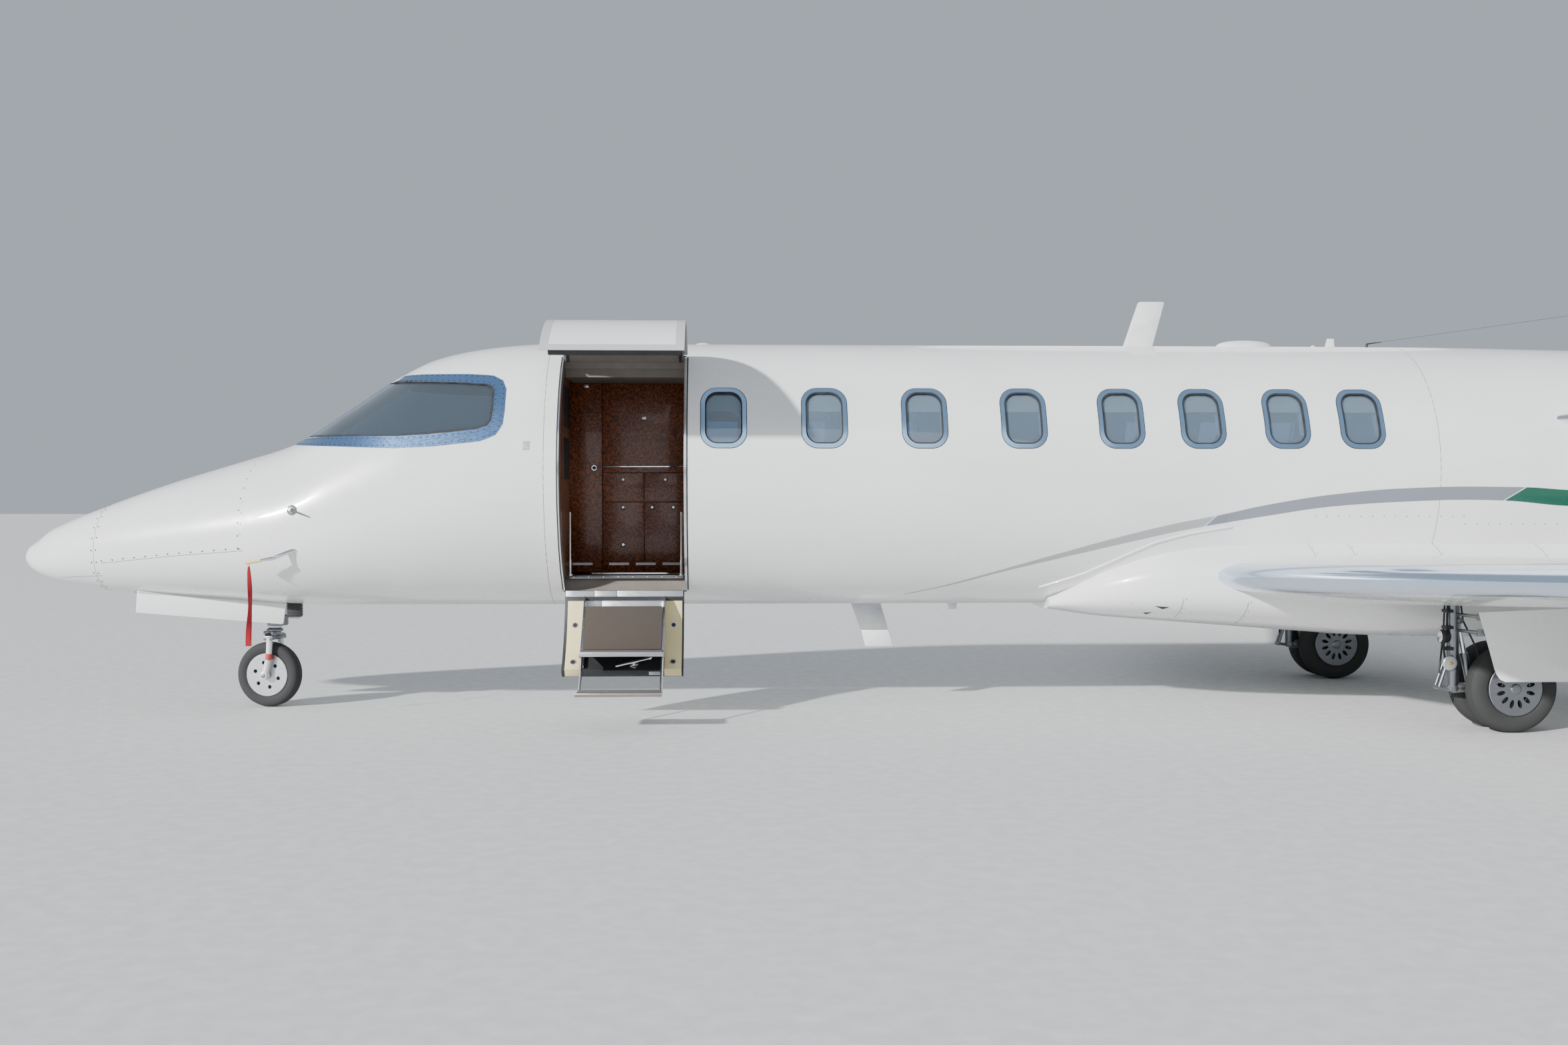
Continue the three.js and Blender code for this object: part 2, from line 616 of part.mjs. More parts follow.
function fairingRing([station, bottom, half, top], grow) {
  const middle = (top + bottom) / 2;
  const ring = [];
  for (let i = 0; i < FAIRING_SIDES; i += 1) {
    const angle = (i / FAIRING_SIDES) * 2 * Math.PI;
    ring.push(new THREE.Vector3(
      X(station),
      (half + grow) * bent(Math.cos(angle), FAIRING_POWER),
      middle + (top - middle + grow) * bent(Math.sin(angle), FAIRING_POWER)));
  }
  return ring;
}

function fairingBody(grow) {
  return loft(FAIRING.map((row) => fairingRing(row, grow)));
}

// Hinged trailing surface of a wing or tail plane on the port side.
// plane gives, at a distance from the centre line, the leading edge, the chord and the height.
function hingeOf(plane, y, share) {
  const { leading, chord, z } = plane(y);
  const [, above, below] = plane.rear;
  return {
    point: [X(leading + share * chord), -y, z + ((above + below) / 2) * chord],
    nose: ((above - below) / 2) * chord,
    tail: X(leading + chord),
    tip: plane.edge * chord,
    z,
  };
}

function trailingRing({ point, nose, tail, tip, z }) {
  const [x, y, axis] = point;
  const ring = [];
  for (let step = 0; step <= 6; step += 1) {
    const angle = Math.PI / 2 + (step / 6) * Math.PI;
    ring.push(new THREE.Vector3(x + nose * Math.cos(angle), y, axis + nose * Math.sin(angle)));
  }
  ring.push(new THREE.Vector3(tail, y, z - tip), new THREE.Vector3(tail, y, z + tip));
  return ring;
}

function lengthened(a, b, before, after) {
  const start = new THREE.Vector3(...a);
  const end = new THREE.Vector3(...b);
  const along = end.clone().sub(start).normalize();
  return [
    start.addScaledVector(along, -before).toArray(),
    end.addScaledVector(along, after).toArray(),
  ];
}

// The surface with its hinge pins, and what has to be cut from the plane that carries it
function trailing(plane, from, to, share) {
  const [a, b] = [hingeOf(plane, from + CLEAR, share), hingeOf(plane, to - CLEAR, share)];
  const surface = fuse(
    loft([trailingRing(a), trailingRing(b)]),
    bar(...lengthened(a.point, b.point, 28, 28), 10));
  const [c, d] = [hingeOf(plane, from, share), hingeOf(plane, to, share)];
  const behind = loft([c, d].map(({ point, tail }) => [
    new THREE.Vector3(point[0], point[1], point[2] - 300),
    new THREE.Vector3(tail + 60, point[1], point[2] - 300),
    new THREE.Vector3(tail + 60, point[1], point[2] + 300),
    new THREE.Vector3(point[0], point[1], point[2] + 300),
  ]));
  const cove = common(
    bar(...lengthened(c.point, d.point, 30, 30), c.nose + CLEAR + 3, d.nose + CLEAR + 3, 12),
    box(X(0), X(LENGTH), -to, -from, 0, HEIGHT + 400));
  const holes = bar(...lengthened(a.point, b.point, 32, 32), 10.9, 10.9, 16);
  return { surface, room: fuse(behind, cove, holes) };
}

function wingPlane(y) {
  return { leading: edgeAt(y), chord: chordAt(y), z: wingZ(y) };
}
wingPlane.rear = AIRFOIL[5];
wingPlane.edge = AIRFOIL[6][1];

const LEG_WELL = box(
  X(LEG_WELL_SIZE.from), X(LEG_WELL_SIZE.to), -MAIN_GEAR.y - LEG_WELL_SIZE.half, -MAIN_GEAR.y + LEG_WELL_SIZE.half,
  600, LEG_WELL_SIZE.top);

function wings() {
  const up = new THREE.Vector3(0, 0, 1);
  const root = 640;
  const tipZ = wingZ(WING_TIP_Y);
  const tipEdge = edgeAt(WING_TIP_Y);
  // Columns of the winglet: distance out, height above the wing tip, leading edge, chord, tilt
  const winglet = [
    [7090, 45, tipEdge + 90, 1040, 30], [7195, 190, tipEdge + 230, 880, 66],
    [SPAN / 2 - 20, WINGLET_TOP, tipEdge + 780, 400, 80],
  ];
  const rings = [
    foilRing(new THREE.Vector3(X(edgeAt(root)), -root, wingZ(root)), chordAt(root), up),
    foilRing(new THREE.Vector3(X(tipEdge), -WING_TIP_Y, tipZ), chordAt(WING_TIP_Y), up),
    ...winglet.map(([y, rise, edge, chord, tilt]) => foilRing(
      new THREE.Vector3(X(edge), -y, tipZ + rise), chord,
      new THREE.Vector3(0, Math.sin(rad(tilt)), Math.cos(rad(tilt))), 0.8)),
  ];
  const flap = trailing(wingPlane, ...FLAP_SPAN, FLAP_HINGE);
  const aileron = trailing(wingPlane, ...AILERON_SPAN, FLAP_HINGE);
  pair('wing', cut(
    loft(rings), FITTED, fairingBody(SEAM), flap.room, aileron.room, LEG_WELL), WHITE);
  pair('flap', flap.surface, WHITE);
  pair('aileron', aileron.surface, WHITE);
  piece('wing_fairing', cut(fairingBody(0), FITTED), WHITE);
}

// Tail

const TAIL_FOIL = [
  [0.02, 0.018, -0.018], [0.12, 0.038, -0.038], [0.35, 0.05, -0.05],
  [0.66, 0.034, -0.034], [1.0, 0.003, -0.003],
];

function stabPlane(y) {
  const t = y / STAB.half;
  const leading = STAB.leRoot + (STAB.leTip - STAB.leRoot) * t;
  return { leading, chord: STAB.teRoot + (STAB.teTip - STAB.teRoot) * t - leading, z: STAB.z };
}
stabPlane.rear = TAIL_FOIL[3];
stabPlane.edge = TAIL_FOIL[4][1];

function stabBody(grow) {
  const up = new THREE.Vector3(0, 0, 1);
  return loft([-STAB.half, 0, STAB.half].map((y) => {
    const { leading, chord, z } = stabPlane(Math.abs(y));
    const thick = 1 + (2 * grow) / (0.1 * chord);
    return foilRing(new THREE.Vector3(X(leading - grow), y, z), chord + 2 * grow, up, thick, TAIL_FOIL);
  }));
}

function bullet(grow) {
  const r = BULLET_R + grow;
  const profile = [[0, 0], [60, 42], [260, 84], [620, r], [1500, r], [1900, 60], [2080, 0]];
  return turned(profile, 'x', 12).translate(X(BULLET_FRONT), 0, STAB.z);
}

function finEdges(z) {
  const t = (z - FIN.foot) / (FIN.top - FIN.foot);
  const leading = FIN.leFoot + (FIN.leTop - FIN.leFoot) * t;
  return { leading, chord: FIN.teFoot + (FIN.teTop - FIN.teFoot) * t - leading };
}

// The rudder turns about a raked line, so its round nose is an oval in level sections
function rudderParts() {
  const [, above] = TAIL_FOIL[3];
  const place = (z) => {
    const { leading, chord } = finEdges(z);
    return { x: X(leading + RUDDER.share * chord), tail: X(leading + chord), nose: above * 0.86 * chord, z, chord };
  };
  const [low, high] = [place(RUDDER.from), place(RUDDER.to)];
  const rake = Math.atan2(high.x - low.x, high.z - low.z);
  const ringAt = ({ x, tail, nose, z, chord }) => {
    const ring = [];
    for (let step = 0; step <= 6; step += 1) {
      const angle = Math.PI / 2 + (step / 6) * Math.PI;
      ring.push(new THREE.Vector3(x + (nose / Math.cos(rake)) * Math.cos(angle), nose * Math.sin(angle), z));
    }
    ring.push(new THREE.Vector3(tail, -0.003 * chord, z), new THREE.Vector3(tail, 0.003 * chord, z));
    return ring;
  };
  const start = place(RUDDER.from + RUDDER.endGap);
  const end = place(RUDDER.to - RUDDER.endGap);
  const ends = [[start.x, 0, start.z], [end.x, 0, end.z]];
  const surface = fuse(loft([ringAt(start), ringAt(end)]), bar(...lengthened(...ends, 54, 54), 10));
  const behind = loft([low, high].map(({ x, tail, z }) => [
    new THREE.Vector3(x, -200, z), new THREE.Vector3(tail + 60, -200, z),
    new THREE.Vector3(tail + 60, 200, z), new THREE.Vector3(x, 200, z),
  ]));
  const cove = common(
    bar(...lengthened([low.x, 0, low.z], [high.x, 0, high.z], 60, 60), low.nose + 8, high.nose + 8, 12),
    box(X(FIN.leFoot), X(LENGTH), -300, 300, low.z, high.z));
  const holes = bar(...lengthened(...ends, 60, 60), 10.9, 10.9, 16);
  return { surface, room: fuse(behind, cove, holes) };
}

function tail() {
  const side = new THREE.Vector3(0, 1, 0);
  const finRing = (z) => {
    const { leading, chord } = finEdges(z);
    return foilRing(new THREE.Vector3(X(leading), 0, z), chord, side, 0.86, TAIL_FOIL);
  };
  const rudder = rudderParts();
  piece('fin', cut(loft([finRing(FIN.foot), finRing(FIN.top)]), FITTED, stabBody(SEAM), bullet(SEAM), rudder.room), WHITE);
  piece('rudder', rudder.surface, WHITE);

  const elevator = trailing(stabPlane, ELEVATOR.from, ELEVATOR.to, ELEVATOR.share);
  piece('stabiliser', cut(fuse(stabBody(0), bullet(0)), elevator.room, mirrored(elevator.room)), WHITE);
  pair('elevator', elevator.surface, WHITE);
}

// Engines on the rear fuselage

function engines() {
  const { front, y, z, duct, fan, fanAt, length } = ENGINE;
  const outer = [[0, 405], [40, 446], [250, 492], [900, 522], [1700, 496], [2300, 402], [length, 330]];
  const inner = [[length, 312], [2300, 352], [1500, duct], [fanAt, duct], [120, 362], [20, 384]];
  const at = (geometry) => geometry.translate(X(front), -y, z);
  const cowl = at(turned([...outer, ...inner], 'x'));
  pair('nacelle', cowl, WHITE);

  const core = at(turned([
    [fanAt + 90.6, 0], [fanAt + 90.6, 45], [fanAt + 150, 45], [fanAt + 150, duct - 2 * SEAM],
    [1500, duct - 2 * SEAM], [2290, 330], [2360, 200], [length + 120, 60], [length + 120, 0]], 'x'));
  pair('engine_core', core, STEEL);

  const hub = turned([[fanAt - 170, 0], [fanAt - 110, 60], [fanAt, 112], [fanAt + 90, 112], [fanAt + 90, 0]], 'x', 16);
  const blades = [];
  for (let i = 0; i < FAN_BLADES; i += 1) {
    const blade = box(-34, 34, -4, 4, 95, fan);
    blade.rotateZ(rad(35));
    blade.translate(fanAt + 45, 0, 0);
    blades.push(blade.rotateX((i / FAN_BLADES) * 2 * Math.PI));
  }
  pair('fan', at(fuse(hub, ...blades)), STEEL);

  const up = new THREE.Vector3(0, 0, 1);
  const rings = [[560, 10340, 13050], [1180, 10860, 13000]].map(([out, leading, end]) => foilRing(
    new THREE.Vector3(X(leading), -out, z + 25), end - leading, up, 0.75, TAIL_FOIL));
  const outside = at(turned([...outer.map(([a, r]) => [a, r + SEAM]), [length, 0], [0, 0]], 'x'));
  pair('pylon', cut(loft(rings), FITTED, outside), WHITE);
}

// Landing gear

// Turned for a wheel: one of its flats faces the ground
function wheelBody(profile) {
  return turned(profile, 'y', WHEEL_SIDES, Math.PI / WHEEL_SIDES);
}

function tyre({ radius, width, rim }) {
  const w = width / 2;
  const crown = radius / Math.cos(Math.PI / WHEEL_SIDES);
  const h = crown - rim;
  const half = [[0.7, 0.006 * h], [1, 0.4 * h], [0.9, 0.76 * h], [0.45, h]];
  return wheelBody([
    ...half.map(([share, rise]) => [-w * share, rim + rise]),
    ...half.reverse().map(([share, rise]) => [w * share, rim + rise])]);
}

function noseGear() {
  const x = X(NOSE_GEAR.station);
  const { radius, rim, bore } = NOSE_TYRE;
  piece('nose_gear_strut', fuse(
    bar([x, 0, 560], [x, 0, 1050 - SEAM], 46),
    bar([x + 20, 0, 570], [x + 20, 0, 650], 72),
    bar([x, 0, 660], [x - 420, 0, 1022], 20),
    box(x - 480, x - 380, -60, 60, 1030, 1050 - SEAM),
    bar([x, -140, 1000], [x, 140, 1000], 26)), GEAR_WHITE);

  const steered = new THREE.Group();
  steered.position.set(x, 0, 0);
  steered.rotation.z = -rad(NOSE_GEAR.turned);
  aircraft.add(steered);
  const { trail } = NOSE_GEAR;
  const legs = [-86, 86].map((y) => bar([0, y, 496], [trail, y, radius], 20));
  piece('nose_fork', fuse(
    bar([0, 0, 480], [0, 0, 559.3], 34),
    box(-34, 34, -106, 106, 474, 506),
    ...legs,
    bar([trail, -112, radius], [trail, 112, radius], bore)), GEAR_WHITE, steered);

  const half = NOSE_TYRE.width / 2;
  const wheel = new THREE.Group();
  wheel.position.set(trail, 0, radius);
  steered.add(wheel);
  piece('nose_rim', wheelBody([
    [-half + 6, bore + 0.9], [-half + 6, 62], [-half + 20, 68], [-half + 20, rim - 20], [-half + 4, rim],
    [half - 4, rim], [half - 20, rim - 20], [half - 20, 68], [half - 6, 62], [half - 6, bore + 0.9]]), BARE, wheel);
  piece('nose_tyre', tyre(NOSE_TYRE), RUBBER, wheel);

  const door = sidePlate(NOSE_DOOR.map(([s, z]) => [X(s), z]), ...NOSE_DOOR_Y);
  const arm = NOSE_DOOR_ARMS.map((s) => box(X(s), X(s + 30), NOSE_DOOR_Y[1], -NOSE_BAY_SIZE.half - 1, 700, 812));
  pair('nose_gear_door', cut(fuse(door, ...arm), hullBody(RADOME_END, NOSE_END, 0.9)), WHITE);
}

function mainGear() {
  const { station, y, post } = MAIN_GEAR;
  const { radius, width, rim, bore } = MAIN_TYRE;
  const across = (reach, r) => bar([X(station), -y - reach, radius], [X(station), -y + reach, radius], r, r, 16);
  const doorStays = [640, 740].flatMap((z) => [
    bar([X(post), -y, z], [X(post + 60), -GEAR_DOOR_Y + 8, z], 12, 12, 6),
    box(X(post + 35), X(post + 85), -GEAR_DOOR_Y + SEAM, -GEAR_DOOR_Y + 14, z - 22, z + 22)]);
  const leg = cut(fuse(
    bar([X(post), -y, 246], [X(post), -y, 862 - SEAM], 34, 40),
    bar([X(post), -y, 268], [X(station), -y, radius], 30),
    bar([X(post + 110), -y, 300], [X(post + 30), -y, 700], 24),
    bar([X(post - LAMP.front), -y, LAMP.z], [X(post - LAMP.back), -y, LAMP.z], LAMP.r, LAMP.r - 8, 12),
    across(38, 56),
    ...doorStays), across(40, bore + 0.9));
  pair('main_gear_leg', leg, GEAR_WHITE);

  // One shaft carries both wheels of a leg and turns in its boss
  const half = width / 2 - 6;
  const rimBody = wheelBody([
    [-half - 10, 0], [-half - 10, 56], [-half + 26, 72], [-half + 26, rim - 22], [-half, rim],
    [half, rim], [half - 20, rim - 22], [half - 20, 0]]);
  const outer = rimBody.clone().translate(0, -TWIN, 0);
  const shaft = bar([0, -TWIN, 0], [0, TWIN, 0], bore);
  const rims = fuse(outer, mirrored(outer), shaft);
  for (const [side, sign] of [['port', -1], ['starboard', 1]]) {
    const wheels = new THREE.Group();
    wheels.position.set(X(station), sign * y, radius);
    aircraft.add(wheels);
    piece(`main_rims_${side}`, rims.clone(), BARE, wheels);
    for (const [place, offset] of [['outer', TWIN], ['inner', -TWIN]]) {
      const rubber = piece(`main_tyre_${side}_${place}`, tyre(MAIN_TYRE), RUBBER, wheels);
      rubber.position.y = sign * offset;
    }
  }

  const outline = GEAR_DOOR.map(([s, z]) => [X(s), z]);
  pair('main_gear_door', sidePlate(outline, -GEAR_DOOR_Y - GEAR_DOOR_THICK, -GEAR_DOOR_Y), WHITE);
}

// Aerials and air data probes

function aerials() {
  const blade = (outline) => cut(
    sidePlate(outline.map(([s, z]) => [X(s), z]), -AERIAL_HALF, AERIAL_HALF), FITTED);
  piece('top_aerial', blade(TOP_AERIAL), WHITE);
  piece('belly_aerial', blade(BELLY_AERIAL), WHITE);
  const [foot, bend, tip] = PITOT.map(([s, y, z]) => [X(s), y, z]);
  const start = [bend[0] + 10, bend[1], bend[2] + 1];
  pair('pitot_probe', cut(fuse(
    bar(foot, bend, 17, 13, 8), bar(start, tip, 11, 5, 8)), hullBody(NOSE_END, COCKPIT_END, SEAM)), BARE);
}

fuselage();
glazing();
entryDoor();
doorway();
airstairSteps();
cabin();
wings();
tail();
engines();
noseGear();
mainGear();
aerials();

export default aircraft;
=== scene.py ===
"""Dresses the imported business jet: smooth skins, glazing, entry door, cabin, gear, engines and finishes.

Metres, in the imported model's frame. The nose points along -X, the port side along -Y, and +Z is up.
A station is a distance aft of the nose tip.
"""

from __future__ import annotations

import bisect
import logging
import math
from dataclasses import dataclass
from enum import Enum
from typing import Callable, Iterable, Sequence

import bmesh
import bpy
from mathutils import Matrix, Vector

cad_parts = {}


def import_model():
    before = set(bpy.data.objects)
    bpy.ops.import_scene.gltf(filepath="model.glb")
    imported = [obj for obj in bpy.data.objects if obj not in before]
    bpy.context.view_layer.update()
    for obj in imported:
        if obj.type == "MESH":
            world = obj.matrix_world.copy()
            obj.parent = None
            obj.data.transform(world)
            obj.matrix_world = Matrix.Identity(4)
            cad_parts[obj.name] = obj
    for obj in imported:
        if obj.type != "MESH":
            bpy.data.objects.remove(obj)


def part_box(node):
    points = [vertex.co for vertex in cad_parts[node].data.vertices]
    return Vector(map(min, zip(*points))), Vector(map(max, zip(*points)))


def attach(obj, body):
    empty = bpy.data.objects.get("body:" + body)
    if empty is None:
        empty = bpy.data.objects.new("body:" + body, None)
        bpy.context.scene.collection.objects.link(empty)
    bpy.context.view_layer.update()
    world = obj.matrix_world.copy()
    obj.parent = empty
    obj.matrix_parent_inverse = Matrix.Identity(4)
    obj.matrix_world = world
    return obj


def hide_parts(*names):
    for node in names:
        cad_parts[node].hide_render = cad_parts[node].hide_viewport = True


LOG = logging.getLogger("jet")
Pair = tuple[float, float]
Grid = list[list[Vector]]
Grids = tuple[Grid, ...]
SkinPath = list[tuple[Vector, Vector]]
# Hinge point, nose radius and X of the trailing edge
HingeEnd = tuple[Vector, float, float]

LENGTH = 17.56
# The straight cabin's section: height of its widest point, crown, belly and half width
AXIS_Z = 1.643
CROWN_Z = 2.564
BELLY_Z = 0.718
HALF_WIDTH = 0.880
WALL = 0.090


class Side(Enum):
    """Side of the aircraft, with the sign of its Y."""

    PORT = -1
    STARBOARD = 1

    @property
    def word(self) -> str:
        """The side's name as the nodes spell it."""
        return self.name.lower()

    def band(self, near: float, far: float) -> Pair:
        """Lower and higher Y of a strip between two distances from the centre line."""
        ends = self.value * near, self.value * far
        return min(ends), max(ends)


def x_at(station: float) -> float:
    """X of a station."""
    return station - LENGTH / 2


def mix(a: float, b: float, t: float) -> float:
    """Value between a and b at share t."""
    return a + (b - a) * t


def spread(start: float, end: float, count: int) -> list[float]:
    """Evenly spaced values, both ends included."""
    return [mix(start, end, i / (count - 1)) for i in range(count)]


def turns(count: int) -> list[float]:
    """Angles once round in equal steps."""
    return [2 * math.pi * k / count for k in range(count)]


def placed(points: Iterable[Sequence[float]]) -> list[Vector]:
    """Points given by station, Y and height."""
    return [Vector((x_at(s), y, z)) for s, y, z in points]


def plug(low: float, high: float, radius: float) -> list[Pair]:
    """Profile of a plain round plug."""
    return [(low, 0.0), (low, radius), (high, radius), (high, 0.0)]


def bent(value: float, power: float) -> float:
    """Sine or cosine taken onto a super-ellipse of a power."""
    return math.copysign(abs(value) ** (2 / power), value)


class SmoothCurve:
    """Monotone cubic curve through points of rising x."""

    def __init__(self, points: Sequence[Pair]) -> None:
        """Works out the slopes at the points.

        Args:
            points: pairs of x and y.
        """
        self.x = [p[0] for p in points]
        self.y = [p[1] for p in points]
        steps = [b - a for a, b in zip(self.x, self.x[1:])]
        rises = [(b - a) / h for a, b, h in zip(self.y, self.y[1:], steps)]
        self.slopes = [rises[0]]
        for h0, h1, r0, r1 in zip(steps, steps[1:], rises, rises[1:]):
            if r0 * r1 <= 0:
                self.slopes.append(0.0)
            else:
                w0, w1 = 2 * h1 + h0, h1 + 2 * h0
                self.slopes.append((w0 + w1) / (w0 / r0 + w1 / r1))
        self.slopes.append(rises[-1])

    def __call__(self, at: float) -> float:
        """Value of the curve at x, held constant past its ends."""
        i = min(max(bisect.bisect_right(self.x, at) - 1, 0), len(self.x) - 2)
        h = self.x[i + 1] - self.x[i]
        t = min(max((at - self.x[i]) / h, 0.0), 1.0)
        a, b = self.y[i], self.y[i + 1]
        ma, mb = self.slopes[i] * h, self.slopes[i + 1] * h
        return (
            a * (1 + 2 * t) * (1 - t) ** 2
            + ma * t * (1 - t) ** 2
            + b * t * t * (3 - 2 * t)
            + mb * t * t * (t - 1)
        )


class RootCurve(SmoothCurve):
    """Curve over the square root of x, which starts round at 0."""

    def __init__(self, points: Sequence[Pair]) -> None:
        """Takes the points' x to their roots.

        Args:
            points: pairs of x and y.
        """
        super().__init__([(math.sqrt(x), y) for x, y in points])

    def __call__(self, at: float) -> float:
        """Value of the curve at x."""
        return super().__call__(math.sqrt(max(at, 0.0)))


def column_curves(rows: Sequence[Sequence[float]],
                  kind: type[SmoothCurve] = SmoothCurve) -> list[SmoothCurve]:
    """One curve over a table's first column for each of the others."""
    columns = list(zip(*rows))
    return [kind(list(zip(columns[0], column))) for column in columns[1:]]


# Finishes


class Nodes:
    """Short way to lay out a material's nodes."""

    def __init__(self, material: bpy.types.Material) -> None:
        """Clears the material's tree and adds its shader.

        Args:
            material: the material to fill.
        """
        material.use_nodes = True
        self.tree = material.node_tree
        self.tree.nodes.clear()
        output = self.tree.nodes.new("ShaderNodeOutputMaterial")
        self.shader = self.tree.nodes.new("ShaderNodeBsdfPrincipled")
        self.join(self.shader.outputs[0], output.inputs[0])
        self.place = self.tree.nodes.new("ShaderNodeTexCoord").outputs["Object"]

    def join(self, source: bpy.types.NodeSocket, target: bpy.types.NodeSocket) -> None:
        """Links two sockets."""
        self.tree.links.new(source, target)

    def set(self, **values: object) -> None:
        """Sets the shader's sockets, an underscore standing for a space."""
        for name, value in values.items():
            self.shader.inputs[name.replace("_", " ")].default_value = value

    def feed(self, **sockets: bpy.types.NodeSocket) -> None:
        """Links sockets to the shader's, an underscore standing for a space."""
        for name, socket in sockets.items():
            self.join(socket, self.shader.inputs[name.replace("_", " ")])

    def stretched(self, scale: Sequence[float]) -> bpy.types.NodeSocket:
        """Object coordinates multiplied along each axis."""
        node = self.tree.nodes.new("ShaderNodeMapping")
        node.inputs["Scale"].default_value = scale
        self.join(self.place, node.inputs["Vector"])
        return node.outputs[0]

    def noise(self, scale: float, detail: float = 4.0,
              stretch: Sequence[float] = (1, 1, 1)) -> bpy.types.NodeSocket:
        """Noise on object coordinates.

        Args:
            scale: waves per metre.
            detail: octaves.
            stretch: scale along each axis.

        Returns:
            The noise's value.
        """
        node = self.tree.nodes.new("ShaderNodeTexNoise")
        node.inputs["Scale"].default_value = scale
        node.inputs["Detail"].default_value = detail
        self.join(self.stretched(stretch), node.inputs["Vector"])
        return node.outputs["Fac"]

    def ramp(self, value: bpy.types.NodeSocket,
             stops: Sequence[tuple[float, Sequence[float]]]) -> bpy.types.NodeSocket:
        """Colour ramp of a value.

        Args:
            value: what is looked up.
            stops: places from 0 to 1, each with its colour.

        Returns:
            The colour.
        """
        node = self.tree.nodes.new("ShaderNodeValToRGB")
        elements = node.color_ramp.elements
        while len(elements) < len(stops):
            elements.new(1.0)
        for element, (at, colour) in zip(elements, stops):
            element.position = at
            element.color = (*colour[:3], 1.0)
        self.join(value, node.inputs[0])
        return node.outputs[0]

    def span(self, value: bpy.types.NodeSocket, low: float, high: float, start: float = 0.0,
             end: float = 1.0) -> bpy.types.NodeSocket:
        """Maps low to start and high to end."""
        node = self.tree.nodes.new("ShaderNodeMapRange")
        for index, number in enumerate((low, high, start, end), start=1):
            node.inputs[index].default_value = number
        self.join(value, node.inputs[0])
        return node.outputs[0]

    def bump(self, height: bpy.types.NodeSocket, distance: float, strength: float = 1.0) -> None:
        """Raises the surface by a height times a distance in metres."""
        node = self.tree.nodes.new("ShaderNodeBump")
        node.inputs["Strength"].default_value = strength
        node.inputs["Distance"].default_value = distance
        self.join(height, node.inputs["Height"])
        before = self.shader.inputs["Normal"]
        if before.is_linked:
            self.join(before.links[0].from_socket, node.inputs["Normal"])
        self.join(node.outputs[0], before)


@dataclass(frozen=True)
class Finish:
    """A surface finish, made once as a material."""

    name: str
    colour: tuple[float, float, float]

    def dress(self, nodes: Nodes) -> None:
        """Adds the finish's own nodes; each kind says how."""
        raise NotImplementedError

    def shade(self, share: float) -> tuple[float, ...]:
        """The colour times a share."""
        return tuple(c * share for c in self.colour)

    def material(self) -> bpy.types.Material:
        """The finish's material, made at its first use."""
        found = bpy.data.materials.get(self.name)
        if found is None:
            found = bpy.data.materials.new(self.name)
            self.dress(Nodes(found))
            found.diffuse_color = (*self.colour, 1.0)
        return found


@dataclass(frozen=True)
class Enamel(Finish):
    """Sprayed paint with orange peel, and faint tone and grime in random patches."""

    roughness: float = 0.28
    coat: float = 0.6
    grime: float = 0.06

    def dress(self, nodes: Nodes) -> None:
        """Lays colour that varies a little, with a clear coat."""
        tone = nodes.noise(1.7, 5.0, (0.6, 1.0, 1.6))
        wear = nodes.span(nodes.noise(9.0, 6.0), 0.3, 0.7, self.roughness * 0.85, self.roughness * 1.2)
        stops = [(0.35, self.shade(1 - self.grime)), (0.62, self.colour)]
        nodes.feed(Base_Color=nodes.ramp(tone, stops), Roughness=wear)
        nodes.set(Coat_Weight=self.coat, Coat_Roughness=0.06, Specular_IOR_Level=0.5)
        nodes.bump(nodes.noise(85.0, 2.0), 0.00012, 0.5)


@dataclass(frozen=True)
class Metal(Finish):
    """Bare metal with a grain along one direction."""

    roughness: float = 0.25
    grain: tuple[float, float, float] = (4.0, 60.0, 60.0)
    mottle: float = 0.12

    def dress(self, nodes: Nodes) -> None:
        """Lays metal with brushed grain and a patchy polish."""
        stops = [(0.3, self.shade(1 - self.mottle)), (0.7, self.colour)]
        grain = nodes.noise(4.0, 3.0, self.grain)
        rough = nodes.span(grain, 0.25, 0.75, self.roughness * 0.7, self.roughness * 1.35)
        nodes.feed(Base_Color=nodes.ramp(nodes.noise(6.0, 5.0), stops), Roughness=rough)
        nodes.set(Metallic=1.0)
        nodes.bump(grain, 0.00008, 0.5)


@dataclass(frozen=True)
class Rubber(Finish):
    """Tyre or seal rubber with dust and fine grain."""

    dust: tuple[float, float, float] = (0.085, 0.08, 0.075)

    def dress(self, nodes: Nodes) -> None:
        """Lays dark rubber with dusty patches."""
        patch = nodes.noise(14.0, 8.0)
        nodes.feed(Base_Color=nodes.ramp(patch, [(0.42, self.colour), (0.72, self.dust)]))
        nodes.feed(Roughness=nodes.span(patch, 0.3, 0.7, 0.62, 0.88))
        nodes.bump(nodes.noise(420.0, 3.0), 0.0003, 0.6)


@dataclass(frozen=True)
class Glazing(Finish):
    """Clear or tinted glass, thin enough to see through."""

    tint: float = 0.5

    def dress(self, nodes: Nodes) -> None:
        """Lays glass with faint wipe marks."""
        nodes.set(Base_Color=(*self.colour, 1.0), Transmission_Weight=1.0 - self.tint * 0.35, IOR=1.12)
        nodes.set(Coat_Weight=1.0, Coat_Roughness=0.015, Coat_IOR=1.6)
        smear = nodes.noise(5.0, 7.0, (1.0, 1.0, 2.4))
        nodes.feed(Roughness=nodes.span(smear, 0.35, 0.75, 0.015, 0.06))


